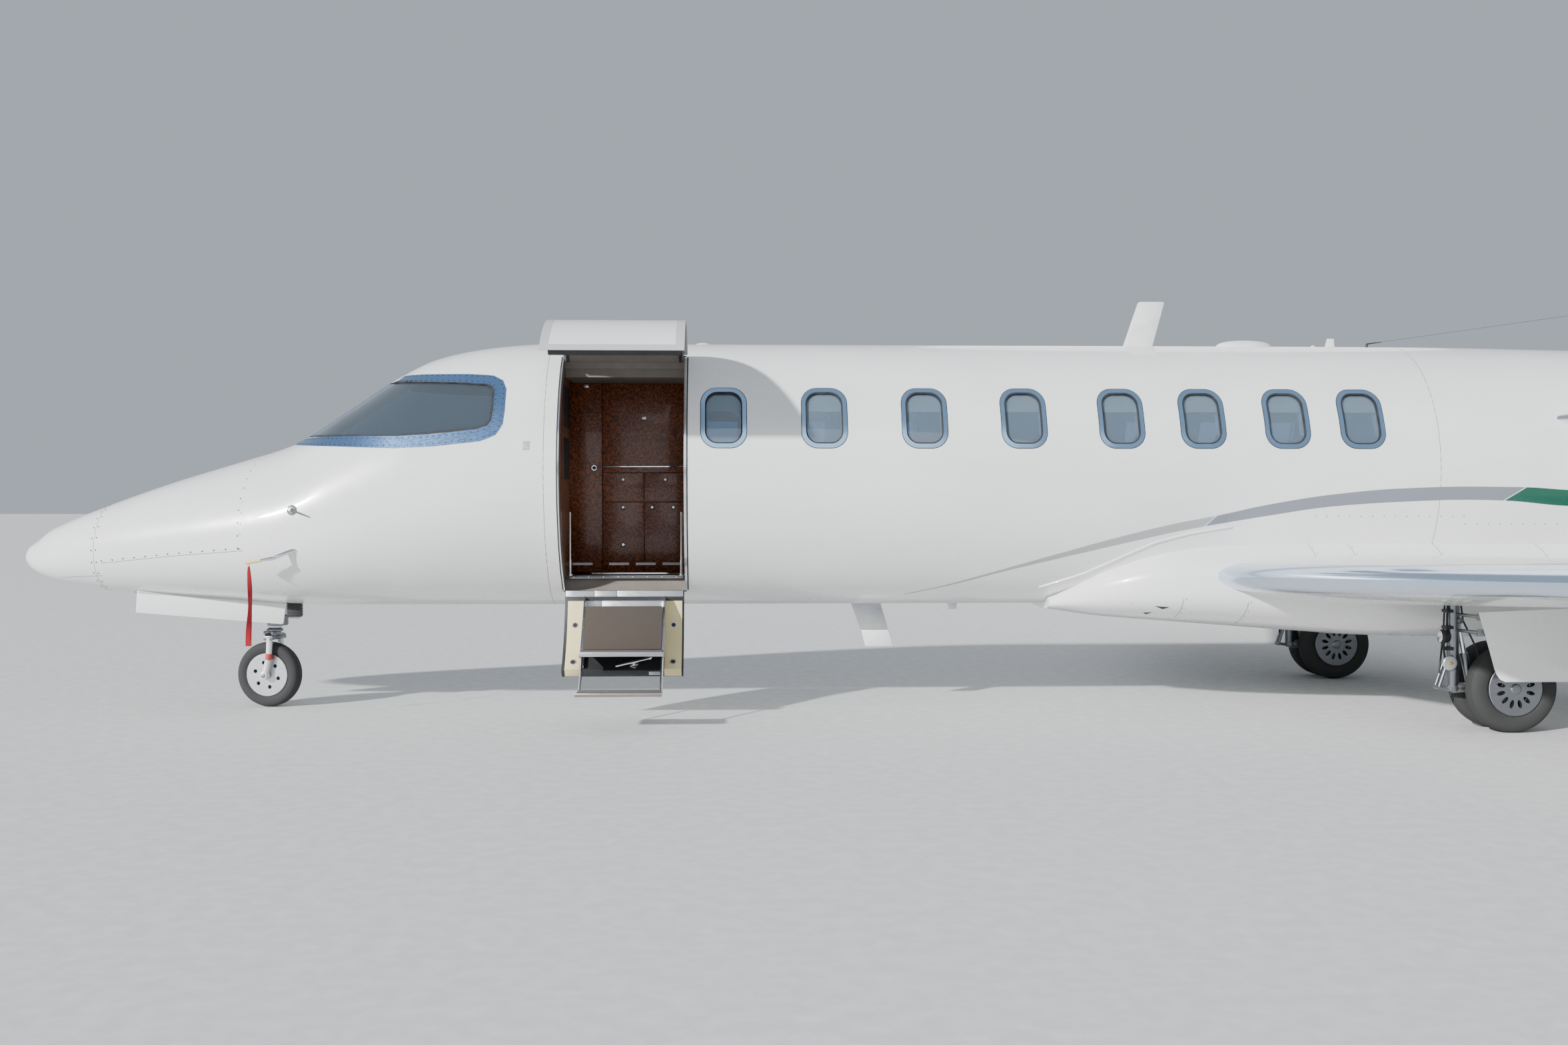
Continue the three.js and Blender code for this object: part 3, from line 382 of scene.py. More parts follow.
@dataclass(frozen=True)
class Plastic(Finish):
    """Moulded or painted matt surface with a fine texture."""

    roughness: float = 0.5
    texture: float = 300.0
    relief: float = 0.0002

    def dress(self, nodes: Nodes) -> None:
        """Lays a plain colour with texture and slight wear."""
        worn = tuple(min(1.0, c * 1.18 + 0.01) for c in self.colour)
        nodes.feed(Base_Color=nodes.ramp(nodes.noise(11.0, 6.0), [(0.4, self.colour), (0.85, worn)]))
        nodes.set(Roughness=self.roughness)
        nodes.bump(nodes.noise(self.texture, 2.0), self.relief, 0.6)


@dataclass(frozen=True)
class BurlVeneer(Finish):
    """Glossy burl wood veneer."""

    light: tuple[float, float, float] = (0.27, 0.075, 0.018)

    def dress(self, nodes: Nodes) -> None:
        """Lays swirling figure and dark eyes under a thick lacquer."""
        wave = nodes.tree.nodes.new("ShaderNodeTexWave")
        wave.wave_type = "RINGS"
        for name, value in (("Scale", 3.4), ("Distortion", 16.0), ("Detail", 6.0), ("Detail Scale", 2.6)):
            wave.inputs[name].default_value = value
        nodes.join(nodes.stretched((3.2, 3.2, 2.2)), wave.inputs["Vector"])
        stops = [(0.1, self.shade(0.72)), (0.5, self.colour), (0.9, self.light)]
        nodes.feed(Base_Color=nodes.ramp(wave.outputs["Fac"], stops))
        nodes.set(Roughness=0.34, Coat_Weight=0.3, Coat_Roughness=0.05)
        nodes.bump(nodes.noise(160.0, 3.0, (1.0, 1.0, 5.0)), 0.00006, 0.5)


@dataclass(frozen=True)
class Leather(Finish):
    """Upholstery leather with pores and soft sheen."""

    def dress(self, nodes: Nodes) -> None:
        """Lays a pebbled grain over a mottled colour."""
        stops = [(0.3, self.shade(0.8)), (0.7, self.colour)]
        nodes.feed(Base_Color=nodes.ramp(nodes.noise(7.0, 5.0), stops))
        pores = nodes.tree.nodes.new("ShaderNodeTexVoronoi")
        pores.inputs["Scale"].default_value = 420.0
        nodes.join(nodes.place, pores.inputs["Vector"])
        nodes.set(Roughness=0.48, Sheen_Weight=0.15)
        nodes.bump(pores.outputs["Distance"], 0.0004, 0.5)


@dataclass(frozen=True)
class Pile(Finish):
    """Short carpet pile or woven webbing."""

    fibre: float = 520.0
    relief: float = 0.003

    def dress(self, nodes: Nodes) -> None:
        """Lays tufts of varied tone with a soft sheen."""
        tufts = nodes.noise(self.fibre, 3.0)
        nodes.feed(Base_Color=nodes.ramp(tufts, [(0.3, self.shade(0.55)), (0.7, self.colour)]))
        nodes.set(Roughness=0.95, Sheen_Weight=0.1, Sheen_Roughness=0.6)
        nodes.bump(tufts, self.relief, 0.7)


@dataclass(frozen=True)
class HeatMetal(Finish):
    """Exhaust metal, straw and blue from heat."""

    def dress(self, nodes: Nodes) -> None:
        """Lays bands of heat colour over satin metal."""
        straw = (0.42, 0.32, 0.2)
        blue = (0.18, 0.2, 0.27)
        bands = nodes.noise(3.0, 4.0, (2.5, 0.6, 0.6))
        nodes.feed(Base_Color=nodes.ramp(bands, [(0.3, self.colour), (0.52, straw), (0.7, blue)]))
        nodes.feed(Roughness=nodes.span(bands, 0.3, 0.7, 0.28, 0.5))
        nodes.set(Metallic=1.0)


WHITE = Enamel("white_enamel", (0.86, 0.865, 0.85))
CREAM = Enamel("cream_enamel", (0.80, 0.68, 0.36), roughness=0.42, coat=0.2)
GEAR_WHITE = Enamel("gear_enamel", (0.74, 0.75, 0.73), roughness=0.38, coat=0.3, grime=0.16)
BORDER_GREY = Enamel("border_grey", (0.52, 0.53, 0.53), roughness=0.4, coat=0.2)
STRIPE_LIGHT = Enamel("stripe_light_grey", (0.37, 0.38, 0.385), roughness=0.3)
STRIPE_MID = Enamel("stripe_mid_grey", (0.20, 0.215, 0.25), roughness=0.3)
STRIPE_GREEN = Enamel("stripe_dark_green", (0.002, 0.085, 0.05), roughness=0.3)
WARNING_RED = Enamel("warning_red", (0.5, 0.05, 0.03), roughness=0.4)
POLISHED = Metal("polished_metal", (0.86, 0.87, 0.89), roughness=0.13, mottle=0.05)
# Polished leading-edge metal; its blue tint is a painted blue reflection.
EDGE_METAL_PAINTED_REFLECTION = Metal("leading_edge_metal", (0.64, 0.75, 0.92), roughness=0.16, mottle=0.05)
SATIN = Metal("satin_metal", (0.62, 0.63, 0.65), roughness=0.34)
# Windshield frame metal; its blue is painted reflection of the sky.
FRAME_METAL_PAINTED_REFLECTION = Metal("windshield_frame_metal", (0.25, 0.43, 0.76), roughness=0.22, mottle=0.1)
# Window frame metal; its light blue is painted reflection of the sky.
WINDOW_METAL_PAINTED_REFLECTION = Metal("window_frame_metal", (0.42, 0.64, 0.90), roughness=0.2, mottle=0.1)
STEEL = Metal("dark_steel", (0.26, 0.27, 0.29), roughness=0.38)
TITANIUM = Metal("fan_titanium", (0.48, 0.49, 0.52), roughness=0.3)
BRASS = Metal("brass", (0.66, 0.47, 0.16), roughness=0.3)
CHROME = Metal("chrome", (0.9, 0.9, 0.92), roughness=0.07, mottle=0.03)
HOT = HeatMetal("exhaust_metal", (0.33, 0.31, 0.3))
TYRE = Rubber("tyre_rubber", (0.018, 0.018, 0.019))
SEAL = Rubber("seal_rubber", (0.012, 0.013, 0.015), dust=(0.04, 0.042, 0.045))
GLASS = Glazing("window_glass", (0.42, 0.55, 0.70))
SHIELD = Glazing("windshield_glass", (0.24, 0.31, 0.37), tint=0.4)
GAP = Plastic("seam_shadow", (0.16, 0.165, 0.17), roughness=0.8)
BLACK = Plastic("matt_black", (0.015, 0.016, 0.018), roughness=0.55)
# Cabin lining, darker than its real light cream: painted shade of the dim cabin and the hull's inside.
LINER_PAINTED_SHADE = Plastic("cabin_liner", (0.34, 0.32, 0.28), roughness=0.6, texture=120.0)
REVEAL = Plastic("window_reveal", (0.82, 0.82, 0.8), roughness=0.45)
SHADE = Plastic("window_shade", (0.92, 0.72, 0.44), roughness=0.7)
DOME = Plastic("aerial_cover", (0.78, 0.79, 0.78), roughness=0.4)
BAY = Plastic("bay_primer", (0.2, 0.21, 0.2), roughness=0.7)
# Burl veneer, darkened below the real wood's colour as painted shade.
BURL_PAINTED_SHADE = BurlVeneer("burl_veneer", (0.125, 0.029, 0.010))
PALE_FLOOR = Plastic("pale_floor", (0.62, 0.62, 0.61), roughness=0.75, texture=40.0)
# Dark brown-grey for the doorway's walls and header, door edges and step front; on the hatch's inner face
# its darkness is painted shade.
EDGE_BROWN = Plastic("door_edge_brown", (0.17, 0.145, 0.125), roughness=0.6)
HIDE = Leather("seat_leather", (0.56, 0.47, 0.35))
CARPET = Pile("carpet_pile", (0.085, 0.064, 0.05))
WEBBING = Pile("ribbon_webbing", (0.5, 0.02, 0.03), fibre=900.0, relief=0.0008)


# Mesh building


class Mould:
    """Faces gathered until they are cast as one object."""

    def __init__(self) -> None:
        """Starts empty."""
        self.points: list[Vector] = []
        self.faces: list[tuple[int, ...]] = []
        self.slots: list[int] = []

    def add(self, points: Iterable[Vector], faces: Iterable[Sequence[int]], slot: int = 0) -> "Mould":
        """Adds faces that count from the first of these points."""
        base = len(self.points)
        self.points.extend(Vector(p) for p in points)
        for face in faces:
            self.faces.append(tuple(base + i for i in face))
            self.slots.append(slot)
        return self

    def loft(self, rings: Sequence[Sequence[Vector]], loop: bool = False) -> "Mould":
        """Skins rings of equal count.

        Args:
            rings: each a closed ring of points.
            loop: joins the last ring to the first, else both ends are capped.

        Returns:
            The mould.
        """
        count = len(rings[0])
        faces: list[tuple[int, ...]] = []
        pairs = len(rings) if loop else len(rings) - 1
        for r in range(pairs):
            a, b = r * count, ((r + 1) % len(rings)) * count
            faces += [(a + i, a + (i + 1) % count, b + (i + 1) % count, b + i) for i in range(count)]
        if not loop:
            last = (len(rings) - 1) * count
            faces += [tuple(reversed(range(count))), tuple(range(last, last + count))]
        return self.add([p for ring in rings for p in ring], faces)

    def sheet(self, front: Sequence[Sequence[Vector]], back: Sequence[Sequence[Vector]],
              slot: int = 0) -> "Mould":
        """Closed slab between two grids of the same size."""
        rows, columns = len(front), len(front[0])
        points = [p for grid in (front, back) for row in grid for p in row]
        half = rows * columns
        faces: list[tuple[int, ...]] = []
        for r in range(rows - 1):
            for c in range(columns - 1):
                a = r * columns + c
                quad = (a, a + 1, a + 1 + columns, a + columns)
                faces += [quad, tuple(half + i for i in reversed(quad))]
        rim = [c for c in range(columns)]
        rim += [r * columns + columns - 1 for r in range(1, rows)]
        rim += [(rows - 1) * columns + c for c in range(columns - 2, -1, -1)]
        rim += [r * columns for r in range(rows - 2, 0, -1)]
        for a, b in zip(rim, rim[1:] + rim[:1]):
            faces.append((b, a, half + a, half + b))
        return self.add(points, faces, slot)

    def tube(self, path: Sequence[Sequence[float]], radius: float | Sequence[float],
             sides: int = 18) -> "Mould":
        """Round tube along a path.

        Args:
            path: points of its centre line.
            radius: one radius, or one for each point.
            sides: faces round it.

        Returns:
            The mould.
        """
        line = [Vector(p) for p in path]
        radii = list(radius) if isinstance(radius, (list, tuple)) else [radius] * len(line)
        rings = []
        side = None
        for i, point in enumerate(line):
            ahead = (line[min(i + 1, len(line) - 1)] - line[max(i - 1, 0)]).normalized()
            if side is None:
                side = ahead.orthogonal().normalized()
            side = (side - ahead * side.dot(ahead)).normalized()
            up = ahead.cross(side)
            rings.append([point + (side * math.cos(t) + up * math.sin(t)) * radii[i] for t in turns(sides)])
        return self.loft(rings)

    def turned(self, profile: Sequence[Pair], origin: Sequence[float], axis: Sequence[float],
               sides: int = 64, hollow: bool = False) -> "Mould":
        """Body turned about an axis.

        Args:
            profile: distances along the axis from the origin, each with a radius.
            origin: a point of the axis.
            axis: its direction.
            sides: faces round it.
            hollow: the profile is a closed loop clear of the axis.

        Returns:
            The mould.
        """
        ahead = Vector(axis).normalized()
        side = ahead.orthogonal().normalized()
        up = ahead.cross(side)
        start = Vector(origin)
        ways = [side * math.cos(t) + up * math.sin(t) for t in turns(sides)]
        rings = [[start + ahead * along + way * max(radius, 1e-5) for way in ways]
                 for along, radius in profile]
        return self.loft(rings, loop=hollow)

    def block(self, low: Sequence[float], high: Sequence[float]) -> "Mould":
        """Box between two corners."""
        (x0, y0, z0), (x1, y1, z1) = low, high
        ring = [(x0, y0), (x1, y0), (x1, y1), (x0, y1)]
        return self.loft([[Vector((x, y, z)) for x, y in ring] for z in (z0, z1)])

    def prism(self, outline: Sequence[Sequence[float]], push: Sequence[float]) -> "Mould":
        """Outline pushed along a vector."""
        ring = [Vector(p) for p in outline]
        return self.loft([ring, [p + Vector(push) for p in ring]])

    def box(self, stations: Pair, across: Pair, heights: Pair) -> "Mould":
        """Box between two stations, two Y and two heights."""
        return self.block(*zip([x_at(s) for s in stations], across, heights))

    def plate(self, outline: Iterable[Pair], y: float, thick: float) -> "Mould":
        """Outline of stations and heights, pushed across from a Y."""
        return self.prism([(x_at(s), y, z) for s, z in outline], (0, thick, 0))

    def beam(self, x: float, outline: Iterable[Pair], length: float) -> "Mould":
        """Outline in Y and Z, pushed aft from an X."""
        return self.prism([(x, y, z) for y, z in outline], (length, 0, 0))

    def ribbon(self, path: SkinPath, width: float, lift: float, depth: float) -> "Mould":
        """Flat strip that follows a skin.

        Args:
            path: points on the skin, each with the skin's normal.
            width: the strip's width.
            lift: how far its face stands off the skin.
            depth: how far its back lies under the skin.

        Returns:
            The mould.
        """
        rings = []
        for i, (point, normal) in enumerate(path):
            ahead = path[min(i + 1, len(path) - 1)][0] - path[max(i - 1, 0)][0]
            across = normal.cross(ahead.normalized()).normalized() * (width / 2)
            rings.append([point - across + normal * lift, point + across + normal * lift,
                          point + across - normal * depth, point - across - normal * depth])
        return self.loft(rings)

    def mirrored(self) -> "Mould":
        """A copy on the other side of the aircraft."""
        other = Mould()
        other.points = [Vector((p.x, -p.y, p.z)) for p in self.points]
        other.faces = [tuple(reversed(face)) for face in self.faces]
        other.slots = list(self.slots)
        return other

    def moved(self, change: Matrix) -> "Mould":
        """The mould, moved by a matrix."""
        self.points = [change @ p for p in self.points]
        return self

    def merge(self, other: "Mould") -> "Mould":
        """Takes in another mould's faces with their slots."""
        base = len(self.points)
        self.points.extend(other.points)
        self.faces.extend(tuple(base + i for i in face) for face in other.faces)
        self.slots.extend(other.slots)
        return self

    def rough(self, name: str) -> bpy.types.Object:
        """A plain object of the faces, with normals outwards and no finish."""
        mesh = bpy.data.meshes.new(name)
        mesh.from_pydata([tuple(p) for p in self.points], [], self.faces)
        mesh.polygons.foreach_set("material_index", self.slots)
        work = bmesh.new()
        work.from_mesh(mesh)
        bmesh.ops.remove_doubles(work, verts=work.verts, dist=2e-5)
        bmesh.ops.recalc_face_normals(work, faces=work.faces)
        work.to_mesh(mesh)
        work.free()
        return linked(name, mesh)

    def cast(self, name: str, finishes: Sequence[Finish], body: str = "airframe",
             replaces: Sequence[str] = (), slot: str | None = None, sharp: float = 34.0,
             bevel: float = 0.0) -> bpy.types.Object:
        """Makes the finished object.

        Args:
            name: piece name.
            finishes: one for each material slot.
            body: the body that it rides on.
            replaces: nodes that it stands for.
            slot: the record's material slot; not used.
            sharp: degrees past which an edge stays sharp.
            bevel: width of rounded edges, none at 0.

        Returns:
            The piece.
        """
        return finished(self.rough(name), finishes, body, replaces, sharp, bevel)


def linked(name: str, data: bpy.types.ID) -> bpy.types.Object:
    """New object in the scene."""
    made = bpy.data.objects.new(name, data)
    bpy.context.scene.collection.objects.link(made)
    return made


def smoothed(piece: bpy.types.Object) -> bpy.types.Object:
    """Shades all of a piece's faces smoothly."""
    piece.data.polygons.foreach_set("use_smooth", [True] * len(piece.data.polygons))
    return piece


def baked(piece: bpy.types.Object) -> bpy.types.Object:
    """Applies a piece's modifiers to its mesh."""
    bpy.context.view_layer.update()
    graph = bpy.context.evaluated_depsgraph_get()
    mesh = bpy.data.meshes.new_from_object(piece.evaluated_get(graph), preserve_all_data_layers=True,
                                           depsgraph=graph)
    piece.modifiers.clear()
    piece.data = mesh
    return piece


def finished(piece: bpy.types.Object, finishes: Sequence[Finish], body: str, replaces: Sequence[str] = (),
             sharp: float = 34.0, bevel: float = 0.0) -> bpy.types.Object:
    """Rounds, smooths and paints an object and gives it to its body.

    Args:
        piece: the object.
        finishes: one for each material slot.
        body: the body that it rides on.
        replaces: nodes that it stands for.
        sharp: degrees past which an edge stays sharp.
        bevel: width of rounded edges, none at 0.

    Returns:
        The piece.
    """
    if bevel:
        rounder = piece.modifiers.new("round", "BEVEL")
        rounder.width = bevel
        rounder.segments = 2
        rounder.limit_method = "ANGLE"
        rounder.angle_limit = math.radians(35)
        baked(piece)
    kept = [face.material_index for face in piece.data.polygons]
    piece.data.materials.clear()
    for finish in finishes:
        piece.data.materials.append(finish.material())
    piece.data.polygons.foreach_set("material_index", kept)
    smoothed(piece).data.set_sharp_from_angle(angle=math.radians(sharp))
    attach(piece, body)
    if replaces:
        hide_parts(*replaces)
    LOG.info("%s: %d faces on %s", piece.name, len(piece.data.polygons), body)
    return piece


def carved(target: bpy.types.Object, tool: Mould, operation: str = "DIFFERENCE") -> bpy.types.Object:
    """Cuts a tool from a target, or keeps what they share.

    Args:
        target: closed object that is changed.
        tool: closed body.
        operation: DIFFERENCE, INTERSECT or UNION.

    Returns:
        The target.
    """
    cutter = target.modifiers.new("cut", "BOOLEAN")
    cutter.operation = operation
    cutter.solver = "EXACT"
    used = tool.rough("cutter")
    cutter.object = used
    baked(target)
    bpy.data.objects.remove(used)
    return target


def merged_copy(node: bpy.types.Object, name: str) -> bpy.types.Object:
    """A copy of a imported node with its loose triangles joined."""
    copy = linked(name, node.data.copy())
    work = bmesh.new()
    work.from_mesh(copy.data)
    bmesh.ops.remove_doubles(work, verts=work.verts, dist=1e-5)
    bmesh.ops.dissolve_limit(work, angle_limit=math.radians(0.4), verts=work.verts, edges=work.edges)
    work.to_mesh(copy.data)
    work.free()
    copy.data.polygons.foreach_set("material_index", [0] * len(copy.data.polygons))
    return copy


# Geometry Nodes


class Tree:
    """A Geometry Nodes tree that ends in realized instances with one material."""

    def __init__(self, name: str) -> None:
        """Adds the geometry sockets and the material input.

        Args:
            name: the tree's name.
        """
        self.tree = bpy.data.node_groups.new(name, "GeometryNodeTree")
        self.socket("Geometry", "NodeSocketGeometry")
        self.tree.interface.new_socket(name="Geometry", in_out="OUTPUT", socket_type="NodeSocketGeometry")
        self.entry = self.node("NodeGroupInput")

    def socket(self, name: str, kind: str) -> None:
        """Adds a named input."""
        self.tree.interface.new_socket(name=name, in_out="INPUT", socket_type=kind)

    def node(self, kind: str, **settings: object) -> bpy.types.Node:
        """Adds a node and sets its properties."""
        made = self.tree.nodes.new(kind)
        for name, value in settings.items():
            setattr(made, name, value)
        return made

    def join(self, source: bpy.types.NodeSocket, target: bpy.types.NodeSocket) -> None:
        """Links two sockets."""
        self.tree.links.new(source, target)

    def end(self, geometry: bpy.types.NodeSocket) -> None:
        """Realizes the instances, sets their material and ends the tree."""
        realize = self.node("GeometryNodeRealizeInstances")
        self.join(geometry, realize.inputs[0])
        paint = self.node("GeometryNodeSetMaterial")
        self.join(realize.outputs[0], paint.inputs["Geometry"])
        self.join(self.entry.outputs["Finish"], paint.inputs["Material"])
        leave = self.node("NodeGroupOutput")
        self.join(paint.outputs[0], leave.inputs[0])

    def grow(self, base: bpy.types.Object, **values: object) -> bpy.types.Object:
        """Runs the tree on an object and keeps the result as its mesh.

        Args:
            base: the object that feeds the tree.
            values: the tree's inputs by name.

        Returns:
            The object.
        """
        modifier = base.modifiers.new("grow", "NODES")
        modifier.node_group = self.tree
        for item in self.tree.interface.items_tree:
            if item.item_type == "SOCKET" and item.in_out == "INPUT" and item.name in values:
                modifier[item.identifier] = values[item.name]
        return baked(base)


def screw_tree() -> Tree:
    """Tree that sets flush screw heads along edges, square to the skin normal kept on their points."""
    tree = Tree("screw_rows")
    tree.socket("Pitch", "NodeSocketFloat")
    tree.socket("Radius", "NodeSocketFloat")
    tree.socket("Finish", "NodeSocketMaterial")
    curve = tree.node("GeometryNodeMeshToCurve")
    tree.join(tree.entry.outputs["Geometry"], curve.inputs["Mesh"])
    steps = tree.node("GeometryNodeResampleCurve", mode="LENGTH")
    tree.join(curve.outputs[0], steps.inputs["Curve"])
    tree.join(tree.entry.outputs["Pitch"], steps.inputs["Length"])
    head = tree.node("GeometryNodeMeshCylinder")
    head.inputs["Vertices"].default_value = 8
    head.inputs["Depth"].default_value = 0.002
    tree.join(tree.entry.outputs["Radius"], head.inputs["Radius"])
    normal = tree.node("GeometryNodeInputNamedAttribute", data_type="FLOAT_VECTOR")
    normal.inputs["Name"].default_value = "skin_normal"
    facing = tree.node("FunctionNodeAlignRotationToVector", axis="Z")
    tree.join(normal.outputs["Attribute"], facing.inputs["Vector"])
    copies = tree.node("GeometryNodeInstanceOnPoints")
    tree.join(steps.outputs[0], copies.inputs["Points"])
    tree.join(head.outputs["Mesh"], copies.inputs["Instance"])
    tree.join(facing.outputs[0], copies.inputs["Rotation"])
    tree.end(copies.outputs[0])
    return tree


def turn_tree() -> Tree:
    """Tree that repeats its own geometry about the origin, each copy turned once more than the last."""
    tree = Tree("turned_copies")
    tree.socket("Count", "NodeSocketInt")
    tree.socket("Turn", "NodeSocketVector")
    tree.socket("Finish", "NodeSocketMaterial")
    line = tree.node("GeometryNodeMeshLine")
    tree.join(tree.entry.outputs["Count"], line.inputs["Count"])
    line.inputs["Offset"].default_value = (0.0, 0.0, 0.0)
    index = tree.node("GeometryNodeInputIndex")
    turn = tree.node("ShaderNodeVectorMath", operation="SCALE")
    tree.join(tree.entry.outputs["Turn"], turn.inputs[0])
    tree.join(index.outputs[0], turn.inputs["Scale"])
    facing = tree.node("FunctionNodeEulerToRotation")
    tree.join(turn.outputs[0], facing.inputs[0])
    copies = tree.node("GeometryNodeInstanceOnPoints")
    tree.join(line.outputs[0], copies.inputs["Points"])
    tree.join(tree.entry.outputs["Geometry"], copies.inputs["Instance"])
    tree.join(facing.outputs[0], copies.inputs["Rotation"])
    tree.end(copies.outputs[0])
    return tree


def place_tree() -> Tree:
    """Tree that sets one object's geometry on each point of its own mesh."""
    tree = Tree("place_on_points")
    tree.socket("Thing", "NodeSocketObject")
    tree.socket("Finish", "NodeSocketMaterial")
    source = tree.node("GeometryNodeObjectInfo")
    tree.join(tree.entry.outputs["Thing"], source.inputs[0])
    copies = tree.node("GeometryNodeInstanceOnPoints")
    tree.join(tree.entry.outputs["Geometry"], copies.inputs["Points"])
    tree.join(source.outputs["Geometry"], copies.inputs["Instance"])
    tree.end(copies.outputs[0])
    return tree


class Repeats:
    """The three trees that the sub-assemblies share."""

    def __init__(self) -> None:
        """Builds each tree once."""
        self.screw_rows = screw_tree()
        self.turns = turn_tree()
        self.place = place_tree()

    def screws(self, name: str, paths: Sequence[SkinPath], pitch: float, radius: float,
               finish: Finish) -> None:
        """Rows of flush screws.

        Args:
            name: piece name.
            paths: skin paths of points and normals.
            pitch: distance between screws.
            radius: radius of a head.
            finish: finish of the heads.
        """
        points = [p for path in paths for p, _ in path]
        normals = [n for path in paths for _, n in path]
        edges, start = [], 0
        for path in paths:
            edges += [(start + i, start + i + 1) for i in range(len(path) - 1)]
            start += len(path)
        mesh = bpy.data.meshes.new(name)
        mesh.from_pydata([tuple(p) for p in points], edges, [])
        kept = mesh.attributes.new("skin_normal", "FLOAT_VECTOR", "POINT")
        kept.data.foreach_set("vector", [c for n in normals for c in n])
        base = linked(name, mesh)
        self.screw_rows.grow(base, Pitch=pitch, Radius=radius, Finish=finish.material())
        finished(base, [finish], "airframe")

    def around(self, base: bpy.types.Object, count: int, axis: Sequence[float],
               finish: Finish) -> bpy.types.Object:
        """Copies of a mesh round an axis through the origin."""
        turn = Vector(axis) * (2 * math.pi / count)
        return self.turns.grow(base, Count=count, Turn=tuple(turn), Finish=finish.material())

    def at_points(self, name: str, thing: bpy.types.Object, points: Sequence[Sequence[float]],
                  finish: Finish) -> bpy.types.Object:
        """Copies of a thing at points, the thing itself being removed."""
        mesh = bpy.data.meshes.new(name)
        mesh.from_pydata([tuple(p) for p in points], [], [])
        base = linked(name, mesh)
        self.place.grow(base, Thing=thing, Finish=finish.material())
        bpy.data.objects.remove(thing)
        return base


# The hull's form

# Columns: station, top, bottom, half width, height of the widest point, upper power, lower power
HULL = [
    (0.000, 1.063, 1.063, 0.000, 1.063, 2.0, 2.0),
    (0.025, 1.126, 1.001, 0.064, 1.063, 2.0, 2.0),
    (0.095, 1.180, 0.947, 0.126, 1.063, 2.0, 2.0),
    (0.185, 1.250, 0.909, 0.186, 1.067, 2.0, 2.0),
    (0.300, 1.308, 0.877, 0.244, 1.076, 2.0, 2.0),
    (0.490, 1.385, 0.843, 0.324, 1.093, 2.0, 2.0),
    (0.740, 1.480, 0.809, 0.412, 1.113, 2.0, 2.1),
    (1.110, 1.607, 0.785, 0.524, 1.146, 2.0, 2.2),
    (1.500, 1.726, 0.762, 0.634, 1.184, 2.0, 2.2),
    (1.900, 1.856, 0.728, 0.732, 1.236, 2.0, 2.2),
    (2.300, 2.108, 0.719, 0.800, 1.316, 2.1, 2.1),
    (2.690, 2.360, 0.718, 0.842, 1.404, 2.1, 2.0),
    (2.880, 2.449, 0.718, 0.857, 1.450, 2.05, 2.0),
    (3.160, 2.516, 0.718, 0.872, 1.526, 2.0, 2.0),
    (3.440, 2.550, 0.718, 0.879, 1.590, 2.0, 2.0),
    (3.700, CROWN_Z, BELLY_Z, HALF_WIDTH, AXIS_Z, 2.0, 2.0),
    (9.700, CROWN_Z, BELLY_Z, HALF_WIDTH, AXIS_Z, 2.0, 2.0),
    (10.900, 2.546, 0.742, 0.862, 1.652, 2.0, 2.0),
    (12.200, 2.516, 0.880, 0.782, 1.694, 2.0, 2.0),
    (13.500, 2.462, 1.110, 0.640, 1.756, 2.0, 2.0),
    (14.800, 2.372, 1.390, 0.446, 1.826, 2.0, 2.0),
    (15.800, 2.250, 1.630, 0.262, 1.886, 2.0, 2.0),
    (16.400, 2.096, 1.790, 0.118, 1.938, 2.0, 2.0),
]


# Points round a section, the least divisor, and the steps that a normal is taken over
ROUND = 96
TINY = 1e-4
STEP = 0.0004
ROOT_STEP = 0.003
# Square root of the station up to which the skin faces straight ahead
TIP_ROOT = 0.012


